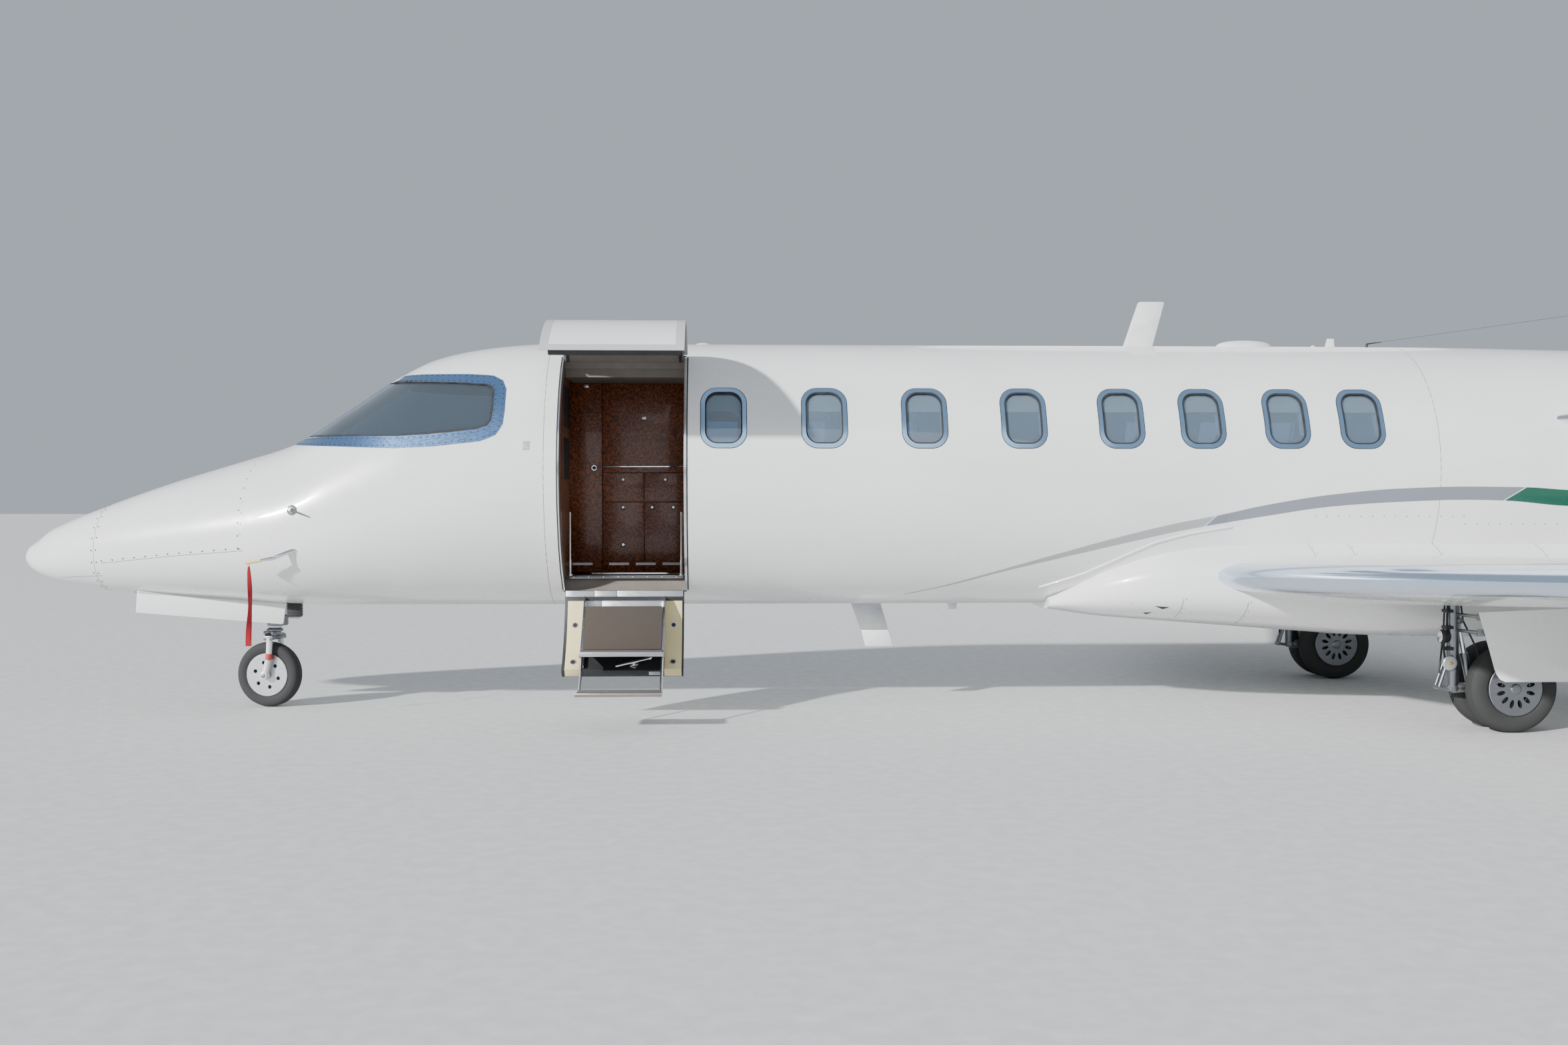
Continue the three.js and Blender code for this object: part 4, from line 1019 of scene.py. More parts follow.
class HullForm:
    """The fuselage's outside as a formula: two half super-ellipses at each station."""

    def __init__(self) -> None:
        """Makes one curve for each column, over the square root of the station so that the tip is round."""
        self.curves = column_curves(HULL, RootCurve)

    def row(self, station: float) -> list[float]:
        """Top, bottom, half width, height of the widest point and both powers at a station."""
        return [curve(station) for curve in self.curves]

    def ring(self, station: float, grow: float = 0.0) -> list[Vector]:
        """Closed section at a station, from starboard over the top.

        Args:
            station: where it is.
            grow: distance outwards from the skin.

        Returns:
            Its points.
        """
        top, bottom, half, wide, upper, lower = self.row(station)
        ring = []
        for turn in turns(ROUND):
            rise, reach = math.sin(turn), math.cos(turn)
            power = upper if rise > 0 else lower
            height = (top - wide if rise > 0 else wide - bottom) + grow
            y, z = (half + grow) * bent(reach, power), wide + height * bent(rise, power)
            ring.append(Vector((x_at(station), y, z)))
        return ring

    def level(self, station: float, y: float, z: float) -> float:
        """1 on the skin, less inside it and more outside."""
        top, bottom, half, wide, upper, lower = self.row(station)
        power = upper if z > wide else lower
        height = top - wide if z > wide else wide - bottom
        return abs(y / max(half, TINY)) ** power + abs((z - wide) / max(height, TINY)) ** power

    def normal(self, point: Vector) -> Vector:
        """Outward normal of the skin near a point, from how the level changes round it."""
        root, y, z = math.sqrt(max(point.x + LENGTH / 2, 0.0)), point.y, point.z
        if root < TIP_ROOT:
            return Vector((-1, 0, 0))
        station = root * root
        before, after = (root - ROOT_STEP) ** 2, (root + ROOT_STEP) ** 2
        ahead = (self.level(after, y, z) - self.level(before, y, z)) / (after - before)
        across = (self.level(station, y + STEP, z) - self.level(station, y - STEP, z)) / (2 * STEP)
        above = (self.level(station, y, z + STEP) - self.level(station, y, z - STEP)) / (2 * STEP)
        return Vector((ahead, across, above)).normalized()

    def at(self, station: float, z: float, side: Side = Side.PORT, lift: float = 0.0) -> Vector:
        """Point of the skin at a station and height, moved outwards by a lift."""
        top, bottom, half, wide, upper, lower = self.row(station)
        power = upper if z > wide else lower
        height = top - wide if z > wide else wide - bottom
        share = min(abs((z - wide) / height), 1.0)
        y = half * (1 - share**power) ** (1 / power)
        point = Vector((x_at(station), side.value * y, z))
        return point + self.normal(point) * lift if lift else point

    def round_at(self, station: float, degrees: float, side: Side = Side.PORT) -> Vector:
        """Point of the skin at an angle down from the crown."""
        top, bottom, half, wide, upper, lower = self.row(station)
        turn = math.radians(degrees)
        rise, reach = math.cos(turn), math.sin(turn)
        power = upper if rise > 0 else lower
        height = top - wide if rise > 0 else wide - bottom
        y, z = half * abs(reach) ** (2 / power), wide + height * bent(rise, power)
        return Vector((x_at(station), side.value * y, z))

    def path(self, points: Sequence[Pair], side: Side = Side.PORT, step: float = 0.03) -> SkinPath:
        """Skin path through stations and heights, with normals."""
        found = []
        for (s0, z0), (s1, z1) in zip(points, points[1:]):
            count = max(2, int(math.hypot(s1 - s0, z1 - z0) / step) + 1)
            for t in spread(0.0, 1.0, count)[(1 if found else 0):]:
                point = self.at(mix(s0, s1, t), mix(z0, z1, t), side)
                found.append((point, self.normal(point)))
        return found

    def hoop(self, station: float, start: float, end: float, side: Side = Side.PORT) -> SkinPath:
        """Skin path round a section between two angles."""
        points = [self.round_at(station, degrees, side) for degrees in spread(start, end, 40)]
        return [(point, self.normal(point)) for point in points]


def rounded_outline(width: float, height: float, radius: float, steps: int = 9,
                    between: int = 6) -> list[Pair]:
    """Rectangle with round corners, about its centre.

    Args:
        width: full width.
        height: full height.
        radius: corner radius.
        steps: points at each corner.
        between: points along each straight side, so that it bends with the skin.

    Returns:
        Offsets along and up.
    """
    corners = []
    w, h = width / 2 - radius, height / 2 - radius
    for cx, cz, start in ((w, h, 0), (-w, h, 90), (-w, -h, 180), (w, -h, 270)):
        turns = [math.radians(start + t) for t in spread(0.0, 90.0, steps)]
        corners.append([(cx + radius * math.cos(t), cz + radius * math.sin(t)) for t in turns])
    outline = []
    for corner, following in zip(corners, corners[1:] + corners[:1]):
        (x0, z0), (x1, z1) = corner[-1], following[0]
        outline += corner + [(mix(x0, x1, t), mix(z0, z1, t)) for t in spread(0.0, 1.0, between + 2)[1:-1]]
    return outline


def rounded_grid(width: float, height: float, radius: float, low: float) -> list[list[Pair]]:
    """Rows of offsets that fill the same rectangle above a height."""
    straight = height / 2 - radius
    grid = []
    for dz in spread(low, height / 2, 25):
        past = max(abs(dz) - straight, 0.0)
        half = width / 2 - radius + math.sqrt(max(radius**2 - past**2, 0.0))
        grid.append([(dx, dz) for dx in spread(-half, half, 9)])
    return grid


def shell(hull: HullForm, stations: Sequence[float], outer: float, inner: float) -> Mould:
    """Tube wall between two distances from the skin."""
    rings = [hull.ring(s, outer) for s in stations] + [hull.ring(s, inner) for s in reversed(stations)]
    return Mould().loft(rings, loop=True)


# How squarely a face has to look outwards to count as skin, on the hull and on the door
SQUARE = 0.85
SLOPE = 0.7


def wall_slot(facing: float) -> int:
    """Material slot of a hull face: 0 outside, 1 inside and 2 on a cut wall."""
    return 0 if facing > SQUARE else 1 if facing < -SQUARE else 2


def skin_shading(piece: bpy.types.Object, hull: HullForm, slots: Callable[[float], int]) -> None:
    """Gives skin faces the hull's own normals and sorts the faces into material slots.

    Args:
        piece: object cut from a hull shell.
        hull: the form.
        slots: chooses a slot from how squarely a face looks outwards, 1 to -1.
    """
    mesh = piece.data
    normals: list[Vector] = [Vector()] * len(mesh.loops)
    known = [hull.normal(v.co) for v in mesh.vertices]
    for face in mesh.polygons:
        facing = face.normal.dot(hull.normal(face.center))
        face.material_index = slots(facing)
        for loop in face.loop_indices:
            skin = known[mesh.loops[loop].vertex_index]
            if facing > SQUARE:
                normals[loop] = skin
            elif facing < -SQUARE:
                normals[loop] = -skin
            else:
                normals[loop] = face.normal
    mesh.normals_split_custom_set([tuple(n) for n in normals])


def tinted(piece: bpy.types.Object, chooser: Callable[[Vector, Vector], int]) -> bpy.types.Object:
    """Sorts an object's faces into material slots by centre and normal."""
    for face in piece.data.polygons:
        face.material_index = chooser(face.center.copy(), face.normal.copy())
    return piece


def swing(hinge: Pair, degrees: float) -> Matrix:
    """Turn about a line along X through a Y and Z."""
    there = Matrix.Translation((0, hinge[0], hinge[1]))
    return there @ Matrix.Rotation(math.radians(degrees), 4, "X") @ there.inverted()


@dataclass
class Aircraft:
    """What every sub-assembly works with."""

    hull: HullForm
    repeats: Repeats

    def span(self, node: str) -> Pair:
        """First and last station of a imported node."""
        low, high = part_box(node)
        return low.x + LENGTH / 2, high.x + LENGTH / 2


# Fuselage


@dataclass
class Fuselage:
    """Nose, cockpit, cabin and tail skins."""

    craft: Aircraft
    windows: tuple[float, ...] = (4.883, 5.552, 6.221, 6.887, 7.545, 8.095, 8.669, 9.181)
    window_z: float = 2.010
    window_size: Pair = (0.236, 0.336)
    window_corner: float = 0.078
    door: Pair = (3.800, 4.620)
    door_angles: Pair = (30.0, 150.0)
    bay: Pair = (0.800, 1.880)
    post: float = 0.055
    windshield: tuple[Pair, ...] = (
        (1.905, 1.900), (2.720, 1.886), (2.900, 1.902), (3.240, 1.934), (3.318, 1.956), (3.345, 1.990),
        (3.352, 2.060), (3.352, 2.190), (3.340, 2.216), (3.300, 2.236), (3.150, 2.250), (2.732, 2.266),
        (2.300, 2.280),
    )

    def skin_piece(self, piece: bpy.types.Object, node: str, walls: Finish) -> None:
        """Finishes a skin with the hull's own normals."""
        finished(piece, [WHITE, LINER_PAINTED_SHADE, walls], "airframe", [node])
        skin_shading(piece, self.craft.hull, wall_slot)

    def nose(self) -> None:
        """Radome and nose with its gear bay."""
        hull = self.craft.hull
        _, joint = self.craft.span("radome")
        tip = [hull.ring(root * root) for root in spread(0.0, math.sqrt(joint), 36)]
        self.skin_piece(Mould().loft(tip).rough("radome_skin"), "radome", GAP)
        start, end = self.craft.span("nose_section")
        body = Mould().loft([hull.ring(s) for s in spread(start, end, 24)]).rough("nose_skin")
        room = Mould().box(self.bay, (-0.175, 0.175), (0.5, 1.05))
        self.skin_piece(carved(body, room), "nose_section", BAY)

    def cockpit(self) -> None:
        """Cockpit skin with both windshield openings and a bulkhead ahead of the pilots."""
        hull = self.craft.hull
        start, end = self.craft.span("cockpit_shell")
        body = shell(hull, spread(start, end, 34), 0.0, -WALL).rough("cockpit_skin")
        holes = Mould()
        for side in Side:
            holes.plate(self.windshield, side.value * self.post, side.value * 1.2)
        self.skin_piece(carved(body, holes), "cockpit_shell", BLACK)
        wall = Mould().loft([hull.ring(s, -0.06) for s in (start + 0.02, start + 0.04)])
        wall.cast("cockpit_bulkhead", [BAY])

    def cabin(self) -> None:
        """Cabin skin with its windows and doorway."""
        hull = self.craft.hull
        start, end = self.craft.span("cabin_shell")
        body = shell(hull, spread(start, end, 25), 0.0, -WALL).rough("cabin_skin")
        rooms = Mould()
        for station in self.windows:
            outline = rounded_outline(*self.window_size, self.window_corner)
            rooms.plate([(station + dx, self.window_z + dz) for dx, dz in outline], -1.2, 2.4)
        near = [door_point(a, 0.26) for a in self.door_angles]
        far = [door_point(a, -0.52) for a in (self.door_angles[0], 90.0, self.door_angles[1])]
        ring = [near[0], far[0], far[1], far[2], near[1]]
        rooms.beam(x_at(self.door[0]), ring, self.door[1] - self.door[0])
        self.skin_piece(carved(body, rooms), "cabin_shell", EDGE_BROWN)

    def tail(self) -> None:
        """Tail cone with its two ventral fins."""
        hull = self.craft.hull
        start, end = self.craft.span("aft_fuselage")
        body = Mould().loft([hull.ring(s) for s in spread(start, end, 42)]).rough("tail_skin")
        self.skin_piece(body, "aft_fuselage", GAP)
        outline = [(13.85, 0.0), (15.62, 0.63), (15.68, 0.64), (15.98, 0.64), (16.01, 0.60), (16.18, 0.0)]
        turn = math.radians(132)
        fins = Mould()
        for side in Side:
            across = Vector((0, side.value * -math.cos(turn), math.sin(turn))) * 0.022
            foot = Vector((0, side.value * 0.190, 1.640))
            down = Vector((0, side.value * math.sin(turn), math.cos(turn)))
            fins.prism([Vector((x_at(s), 0, 0)) + foot + down * h - across / 2 for s, h in outline], across)
        fins.cast("ventral_fins", [WHITE], slot="white_paint", bevel=0.006)

    def build(self) -> None:
        """Makes all four skins."""
        self.nose()
        self.cockpit()
        self.cabin()
        self.tail()


def door_point(degrees: float, depth: float = 0.0) -> Pair:
    """Y and Z of the cabin skin on the port side, moved in by a depth."""
    turn = math.radians(degrees)
    height = CROWN_Z - AXIS_Z if degrees < 90 else AXIS_Z - BELLY_Z
    return -(HALF_WIDTH - depth) * math.sin(turn), AXIS_Z + (height - depth) * math.cos(turn)


@dataclass
class Glazed:
    """Windshields and cabin windows with their frames."""

    craft: Aircraft
    body: Fuselage
    ring: Pair = (0.302, 0.402)
    shade: float = 0.055
    strip: float = 0.086
    opening: tuple[Pair, ...] = (
        (2.000, 1.898), (2.720, 1.886), (2.900, 1.902), (3.240, 1.934), (3.318, 1.956), (3.345, 1.990),
        (3.352, 2.060), (3.352, 2.190), (3.340, 2.216), (3.300, 2.236), (3.150, 2.250), (2.732, 2.266),
        (2.620, 2.2698),
    )

    def skin_loop(self, outline: Sequence[Pair], lift: float, station: float) -> list[Vector]:
        """Outline laid on the port skin at a window's place."""
        hull = self.craft.hull
        return [hull.at(station + dx, self.body.window_z + dz, Side.PORT, lift) for dx, dz in outline]

    def window_frames(self) -> None:
        """One set of frame, reveal, shade and pane, repeated along both sides."""
        first = self.body.windows[0]
        width, height = self.body.window_size
        corner = self.body.window_corner
        frame, lining = (self.ring, 0.105), ((width + 0.012, height + 0.012), corner + 0.005)
        outside = ((self.ring[0] + 0.009, self.ring[1] + 0.009), 0.109)
        small, wide = (width - 0.006, height - 0.006), (width + 0.05, height + 0.05)
        # Columns: piece, finish, outline with its two lifts off the skin, other outline with its own
        hoops = [
            ("window_frames", WINDOW_METAL_PAINTED_REFLECTION, frame, (-0.001, 0.0028), lining, (0.0045, -0.001)),
            ("window_outlines", SEAL, outside, (-0.002, 0.001), frame, (0.001, -0.002)),
            ("window_seals", SEAL, lining, (-0.020, 0.0025), (small, corner - 0.003), (0.001, -0.020)),
            ("window_reveals", REVEAL, (small, corner), (-0.022, -0.088), (wide, corner), (-0.096, -0.090)),
        ]
        # Columns: piece, finish, inset of the outline, its lowest edge, depths under the skin
        slabs = [
            ("window_panes", GLASS, 0.003, -height / 2 + 0.0015, (0.012, 0.018)),
            ("window_shades", SHADE, 0.008, self.shade, (0.026, 0.031)),
        ]
        points = [(x_at(s) - x_at(first), 0, 0) for s in self.body.windows]
        for side in Side:
            for name, finish, one, lifts, other, more_lifts in hoops:
                loops = [(*one, lift) for lift in lifts] + [(*other, lift) for lift in more_lifts]
                rings = [self.skin_loop(rounded_outline(*size, radius), lift, first)
                         for size, radius, lift in loops]
                across = [[ring[i] for ring in rings] for i in range(len(rings[0]))]
                self.repeated(f"{name}_{side.word}", Mould().loft(across, loop=True), points, finish, side)
            for name, finish, inset, low, depths in slabs:
                rows = rounded_grid(width - inset, height - inset, corner, low)
                slab = Mould().sheet(*[[self.skin_loop(row, -depth, first) for row in rows]
                                       for depth in depths])
                stands = ([f"cabin_glazing_{side.word}"], "glass") if finish is GLASS else ()
                self.repeated(f"{name}_{side.word}", slab, points, finish, side, *stands)

    def repeated(self, name: str, mould: Mould, points: Sequence[Sequence[float]], finish: Finish,
                 side: Side, replaces: Sequence[str] = (), slot: str | None = None) -> None:
        """Repeats a port-side mould at points on a side."""
        thing = smoothed((mould if side is Side.PORT else mould.mirrored()).rough(name + "_one"))
        piece = self.craft.repeats.at_points(name, thing, points, finish)
        finished(piece, [finish], "airframe", replaces, sharp=50)

    def windshields(self) -> None:
        """Curved panes behind metal frames with screws, and the post between them."""
        hull = self.craft.hull
        for side in Side:
            panes = shell(hull, spread(1.93, 3.42, 40), -0.006, -0.022).rough(f"windshield_pane_{side.word}")
            keep = Mould().plate(self.body.windshield, side.value * (self.body.post + 0.001),
                                 side.value * 1.2)
            carved(panes, keep, "INTERSECT")
            finished(panes, [SHIELD], "airframe", [f"windshield_{side.word}"])
            skin_shading(panes, hull, lambda facing: 0)
            edge = [(1.912, 1.862), (2.05, 1.859), (2.714, 1.845), (2.98, 1.858), (3.27, 1.890),
                    (3.355, 1.922), (3.387, 1.975), (3.394, 2.06), (3.394, 2.195), (3.372, 2.243),
                    (3.32, 2.269), (3.157, 2.281), (2.80, 2.289), (2.665, 2.291)]
            path = hull.path(edge, side)
            name = f"windshield_frame_{side.word}"
            Mould().ribbon(path, self.strip, 0.0025, 0.004).cast(name, [FRAME_METAL_PAINTED_REFLECTION], sharp=60)
            rows = []
            for offset in (-0.3, 0.3):
                row = []
                for i, (point, normal) in enumerate(path):
                    ahead = path[min(i + 1, len(path) - 1)][0] - path[max(i - 1, 0)][0]
                    across = normal.cross(ahead.normalized()).normalized()
                    row.append((point + across * offset * self.strip + normal * 0.0025, normal))
                rows.append(row)
            self.craft.repeats.screws(f"windshield_screws_{side.word}", rows, 0.042, 0.0046, BLACK)
            lip = Mould().ribbon(hull.path(self.opening, side, 0.02), 0.016, 0.003, 0.020)
            lip.cast(f"windshield_seal_{side.word}", [SEAL], sharp=60)
        crown = [Vector((x_at(s), 0, hull.row(s)[0])) for s in spread(1.90, 2.68, 30)]
        post = [(point, hull.normal(point)) for point in crown]
        bar = Mould().ribbon(post, 2 * self.body.post + 0.03, 0.004, 0.014)
        bar.cast("windshield_post", [FRAME_METAL_PAINTED_REFLECTION], sharp=60)

    def build(self) -> None:
        """Makes all the glazing."""
        self.window_frames()
        self.windshields()


@dataclass
class SkinMarks:
    """Seams, screw rows, stripe and small fittings on the hull."""

    craft: Aircraft
    seam: float = 0.0035
    hatch_seam: tuple[Pair, ...] = (
        (1.712, 1.772), (1.705, 1.724), (1.690, 1.612), (1.678, 1.456), (1.679, 1.236), (1.690, 1.127),
    )
    stripe_top: tuple[Pair, ...] = (
        (6.141, 0.807), (6.407, 0.877), (6.795, 0.995), (7.179, 1.110), (7.565, 1.220), (7.951, 1.313),
        (8.186, 1.357), (8.511, 1.428), (8.965, 1.500), (9.420, 1.540), (9.877, 1.553), (10.290, 1.549),
        (10.580, 1.531), (11.6, 1.50), (13.0, 1.58), (14.3, 1.74),
    )
    stripe_bottom: tuple[Pair, ...] = (
        (6.141, 0.803), (6.407, 0.867), (6.795, 0.977), (7.179, 1.074), (7.565, 1.167), (7.951, 1.255),
        (8.114, 1.286), (8.511, 1.353), (8.965, 1.419), (9.420, 1.450), (9.877, 1.464), (10.143, 1.459),
        (10.580, 1.423), (11.6, 1.40), (13.0, 1.52), (14.3, 1.735),
    )
    # Columns: first and last station of the top edge, first and last of the bottom edge
    stripe_parts: tuple[tuple[float, ...], ...] = (
        (6.141, 8.180, 6.141, 8.108), (8.192, 10.284, 8.120, 10.137), (10.296, 14.3, 10.149, 14.3),
    )

    def stripe(self) -> None:
        """The stripe along each side, in light grey, mid grey and dark green."""
        hull = self.craft.hull
        top, bottom = SmoothCurve(self.stripe_top), SmoothCurve(self.stripe_bottom)
        for side in Side:
            mould = Mould()
            for slot, (t0, t1, b0, b1) in enumerate(self.stripe_parts):
                grids = []
                for lift in (0.0007, -0.002):
                    rows = []
                    for share in spread(0.0, 1.0, 5):
                        line = []
                        for t in spread(0.0, 1.0, 60):
                            s_low, s_high = mix(b0, b1, t), mix(t0, t1, t)
                            z = mix(bottom(s_low), top(s_high), share)
                            line.append(hull.at(mix(s_low, s_high, share), z, side, lift))
                        rows.append(line)
                    grids.append(rows)
                mould.sheet(grids[0], grids[1], slot)
            mould.cast(f"stripe_{side.word}", [STRIPE_LIGHT, STRIPE_MID, STRIPE_GREEN], slot="white_paint")

    def seams(self) -> None:
        """Panel joints and screw rows of the nose, cockpit and cabin."""
        hull = self.craft.hull
        _, joint = self.craft.span("radome")
        for side in Side:
            hoops = [hull.hoop(joint, 2, 178, side), hull.hoop(3.700, 8, 172, side),
                     hull.hoop(9.700, 8, 172, side)]
            lines = [[(0.650, 1.032), (1.20, 1.088), (1.690, 1.127)], list(self.hatch_seam),
                     [(0.300, 0.925), (0.645, 0.945)]]
            mould = Mould()
            for path in hoops + [hull.path(points, side, 0.06) for points in lines]:
                mould.ribbon(path, self.seam, 0.0004, 0.002)
            mould.cast(f"seams_{side.word}", [GAP], sharp=60)
            rows = [hull.hoop(joint + 0.018, 3, 177, side), hull.hoop(joint - 0.018, 3, 177, side),
                    hull.path([(0.660, 1.048), (1.20, 1.104), (1.660, 1.142)], side),
                    hull.path([(s - 0.020, z + 0.012) for s, z in self.hatch_seam], side)]
            self.craft.repeats.screws(f"skin_screws_{side.word}", rows, 0.082, 0.0054, BLACK)

    def fittings(self) -> None:
        """Static ports, angle-of-attack vanes and probes."""
        hull = self.craft.hull
        for side in Side:
            port = hull.path([(3.566, 1.822), (3.609, 1.822)], side)
            disc = Mould().ribbon(port, 0.058, 0.0015, 0.003)
            disc.cast(f"static_port_{side.word}", [SATIN], slot="bare_metal")
            base = hull.at(2.037, 1.397, side)
            out = hull.normal(base)
            vane = Mould().turned([(-0.004, 0), (-0.004, 0.034), (0.004, 0.034), (0.007, 0.028),
                                   (0.010, 0.012), (0.03, 0.011), (0.03, 0)], base, out, sides=32)
            aft = Vector((0.176, 0, -0.072))
            vane.tube([base + out * 0.026, base + out * 0.03 + aft * 0.3, base + out * 0.036 + aft],
                      [0.008, 0.0065, 0.002])
            vane.cast(f"attack_vane_{side.word}", [STEEL], slot="bare_metal")
            foot = hull.at(2.0525, 1.138, side, -0.012)
            bend = Vector((x_at(1.93), side.value * 0.800, 1.083))
            tip = Vector((x_at(1.752), side.value * 0.800, 1.0535))
            rings = []
            for t in spread(0.0, 1.0, 8):
                centre, half, thick = foot.lerp(bend, t), mix(0.044, 0.014, t), mix(0.010, 0.0125, t)
                rings.append([centre + Vector((half * math.cos(a), 0, thick * math.sin(a)))
                              for a in turns(24)])
            mast = Mould().loft(rings)
            mast.tube([bend.lerp(tip, -0.06), bend.lerp(tip, 0.05), bend.lerp(tip, 0.5), tip],
                      [0.009, 0.0135, 0.0095, 0.006], sides=24)
            mast.cast(f"pitot_tube_{side.word}", [POLISHED], replaces=[f"pitot_probe_{side.word}"],
                      slot="bare_metal")

    def ribbon_flag(self) -> None:
        """Red warning ribbon that hangs from the port probe by its sleeve."""
        top = Vector((x_at(1.770), -0.800, 1.040))
        rows = []
        wide = SmoothCurve([(0.0, 0.010), (0.1, 0.022), (0.4, 0.034), (1.0, 0.038)])
        for t in spread(0.0, 1.0, 60):
            twist = 0.35 + 0.5 * math.sin(3.1 * t) - 0.2 * math.sin(9 * t)
            sway = 0.010 * math.sin(5.2 * t) * t
            centre = top + Vector((0.006 * t + sway, 0.006 * math.sin(4 * t), -0.535 * t))
            half = Vector((math.cos(twist), math.sin(twist), 0)) * wide(t) / 2
            rows.append([centre - half, centre - half / 3, centre + half / 3, centre + half])
        back = [[p + Vector((0.0002, 0.0009, 0)) for p in row] for row in rows]
        flag = Mould().sheet(rows, back).cast("warning_ribbon", [WEBBING], sharp=60)
        sleeve = Mould().tube([(x_at(1.750), -0.8, 1.0531), (x_at(1.850), -0.8, 1.0698)], 0.0128, sides=20)
        sleeve.tube([top + Vector((0, 0, 0.006)), top + Vector((0, 0, -0.012))], 0.0045, sides=10)
        sleeve.cast("warning_sleeve", [CREAM])

    def build(self) -> None:
        """Makes all the marks and fittings."""
        self.stripe()
        self.seams()
        self.fittings()
        self.ribbon_flag()


# Entry door


def door_angle(centre: Vector) -> float:
    """Degrees down from the crown to a point of the closed door."""
    return math.degrees(math.atan2(-centre.y, centre.z - AXIS_Z))


def outwardness(centre: Vector, normal: Vector) -> float:
    """How squarely a face of the closed door looks outwards, 1 to -1."""
    return Vector((0, centre.y, centre.z - AXIS_Z)).normalized().dot(normal)


@dataclass
class EntryDoor:
    """Upper hatch, lower airstair and the doorway between them."""

    craft: Aircraft
    front: float = 3.806
    back: float = 4.614
    panel: float = 0.060
    top: float = 30.0
    split: float = 108.5
    sill: float = 150.0
    gap: float = 0.39
    hatch_turn: float = -68.0
    stair_turn: float = 112.0
    border: float = 0.060
    lip: float = 0.026

    def arc(self, start: float, end: float, depth: float, columns: Sequence[float], rows: int = 44) -> Grid:
        """Grid on the closed door's surface at a depth."""
        grid = []
        for degrees in spread(start, end, rows):
            y, z = door_point(degrees, depth)
            grid.append([Vector((x_at(s), y, z)) for s in columns])
        return grid

    def slab(self, start: float, end: float, depths: Pair, columns: Sequence[float],
             rows: int = 44) -> Grids:
        """Front and back grid of a curved slab, for Mould.sheet."""
        return tuple(self.arc(start, end, depth, columns, rows) for depth in depths)

    def hatch(self) -> None:
        """Upper half, with a grey border on its skin and dark edges."""
        # Depths under the skin of the sheet over it, and degrees of that sheet's lower border
        sheet, border = (-0.0065, -0.0035), 1.6
        hinge = door_point(self.top)
        turn = swing(hinge, self.hatch_turn)
        start, end = self.top + self.gap, self.split - self.gap / 2
        edges = [self.front, self.front + self.border, self.back - self.border, self.back]
        columns = [edges[0], edges[1], mix(edges[1], edges[2], 0.33), mix(edges[1], edges[2], 0.67),
                   edges[2], edges[3]]
        piece = Mould().sheet(*self.slab(start, end, (0.0, self.panel), columns)).rough("hatch_skin")
        lip_angle = end - math.degrees(self.lip / 0.9)

        def chooser(centre: Vector, normal: Vector) -> int:
            """Skin, its border, the edges or the inner face."""
            outward = outwardness(centre, normal)
            station = centre.x + LENGTH / 2
            if outward > SLOPE:
                return 0 if edges[1] <= station <= edges[2] and door_angle(centre) <= lip_angle else 1
            return 3 if outward < -SLOPE else 2

        tinted(piece, chooser)
        piece.data.transform(turn)
        # The inner face's dark brown (last slot) is painted shade.
        finished(piece, [WHITE, BORDER_GREY, BLACK, EDGE_BROWN], "hatch", ["upper_hatch"],
                 bevel=0.0015)
        across = [3.757, 3.812, 4.0, 4.2, 4.4, 4.585, 4.640]
        over = self.slab(31.0, self.split + 2.0, sheet, across)
        cover = Mould().sheet(*over).rough("hatch_cover")

        def cover_slot(centre: Vector, normal: Vector) -> int:
            """The sheet's middle or its border."""
            station = centre.x + LENGTH / 2
            inside = across[1] <= station <= across[-2]
            return 0 if inside and door_angle(centre) <= self.split - border else 1

        tinted(cover, cover_slot)
        cover.data.transform(turn)
        finished(cover, [WHITE, BORDER_GREY], "hatch")
        fittings = Mould()
        for station in (self.front + 0.15, self.back - 0.15):
            y, z = hinge
            fittings.tube([(x_at(station - 0.05), y, z), (x_at(station + 0.05), y, z)], 0.012)
            arm = ((-0.015, -0.03), (0.004, -0.012), (-0.13, -0.12), (-0.14, -0.14))
            fittings.beam(x_at(station) - 0.02, [(y + dy, z + dz) for dy, dz in arm], 0.04)
        handle = [door_point(a, 0.085) for a in (88.0, 90.0, 98.0, 100.0)]
        ends = [door_point(a, 0.06) for a in (87.0, 101.0)]
        path = [(x_at(4.21), y, z) for y, z in [ends[0], *handle, ends[1]]]
        fittings.tube(path, 0.008)
        fittings.moved(turn).cast("hatch_fittings", [CHROME], "hatch", slot="bare_metal")
        rim = Mould()
        for a, b in ((self.front + 0.012, self.front + 0.032), (self.back - 0.032, self.back - 0.012)):
            rim.sheet(*self.slab(start + 1, end - 1, (self.panel - 0.002, self.panel + 0.010), [a, b]))
        rim.moved(turn).cast("hatch_seal", [SEAL], "hatch", slot="tyre_rubber", bevel=0.003)

    def stair_panel(self) -> None:
        """Lower half, seen on its inner face: cream strips with sockets, rails and a black pan."""
        turn = swing(door_point(self.sill), self.stair_turn)
        start, end = self.sill - self.gap, self.split + self.gap / 2
        columns = spread(self.front, self.back, 6)
        piece = Mould().sheet(*self.slab(start, end, (0.0, self.panel), columns)).rough("airstair_skin")

        def chooser(centre: Vector, normal: Vector) -> int:
            """Skin, inner face or edges."""
            outward = outwardness(centre, normal)
            return 0 if outward > SLOPE else 1 if outward < -SLOPE else 2

        tinted(piece, chooser)
        piece.data.transform(turn)
        finished(piece, [WHITE, BLACK, BLACK], "airstair", ["lower_airstair"], bevel=0.0015)
        self.stair_fittings(turn, start, end)

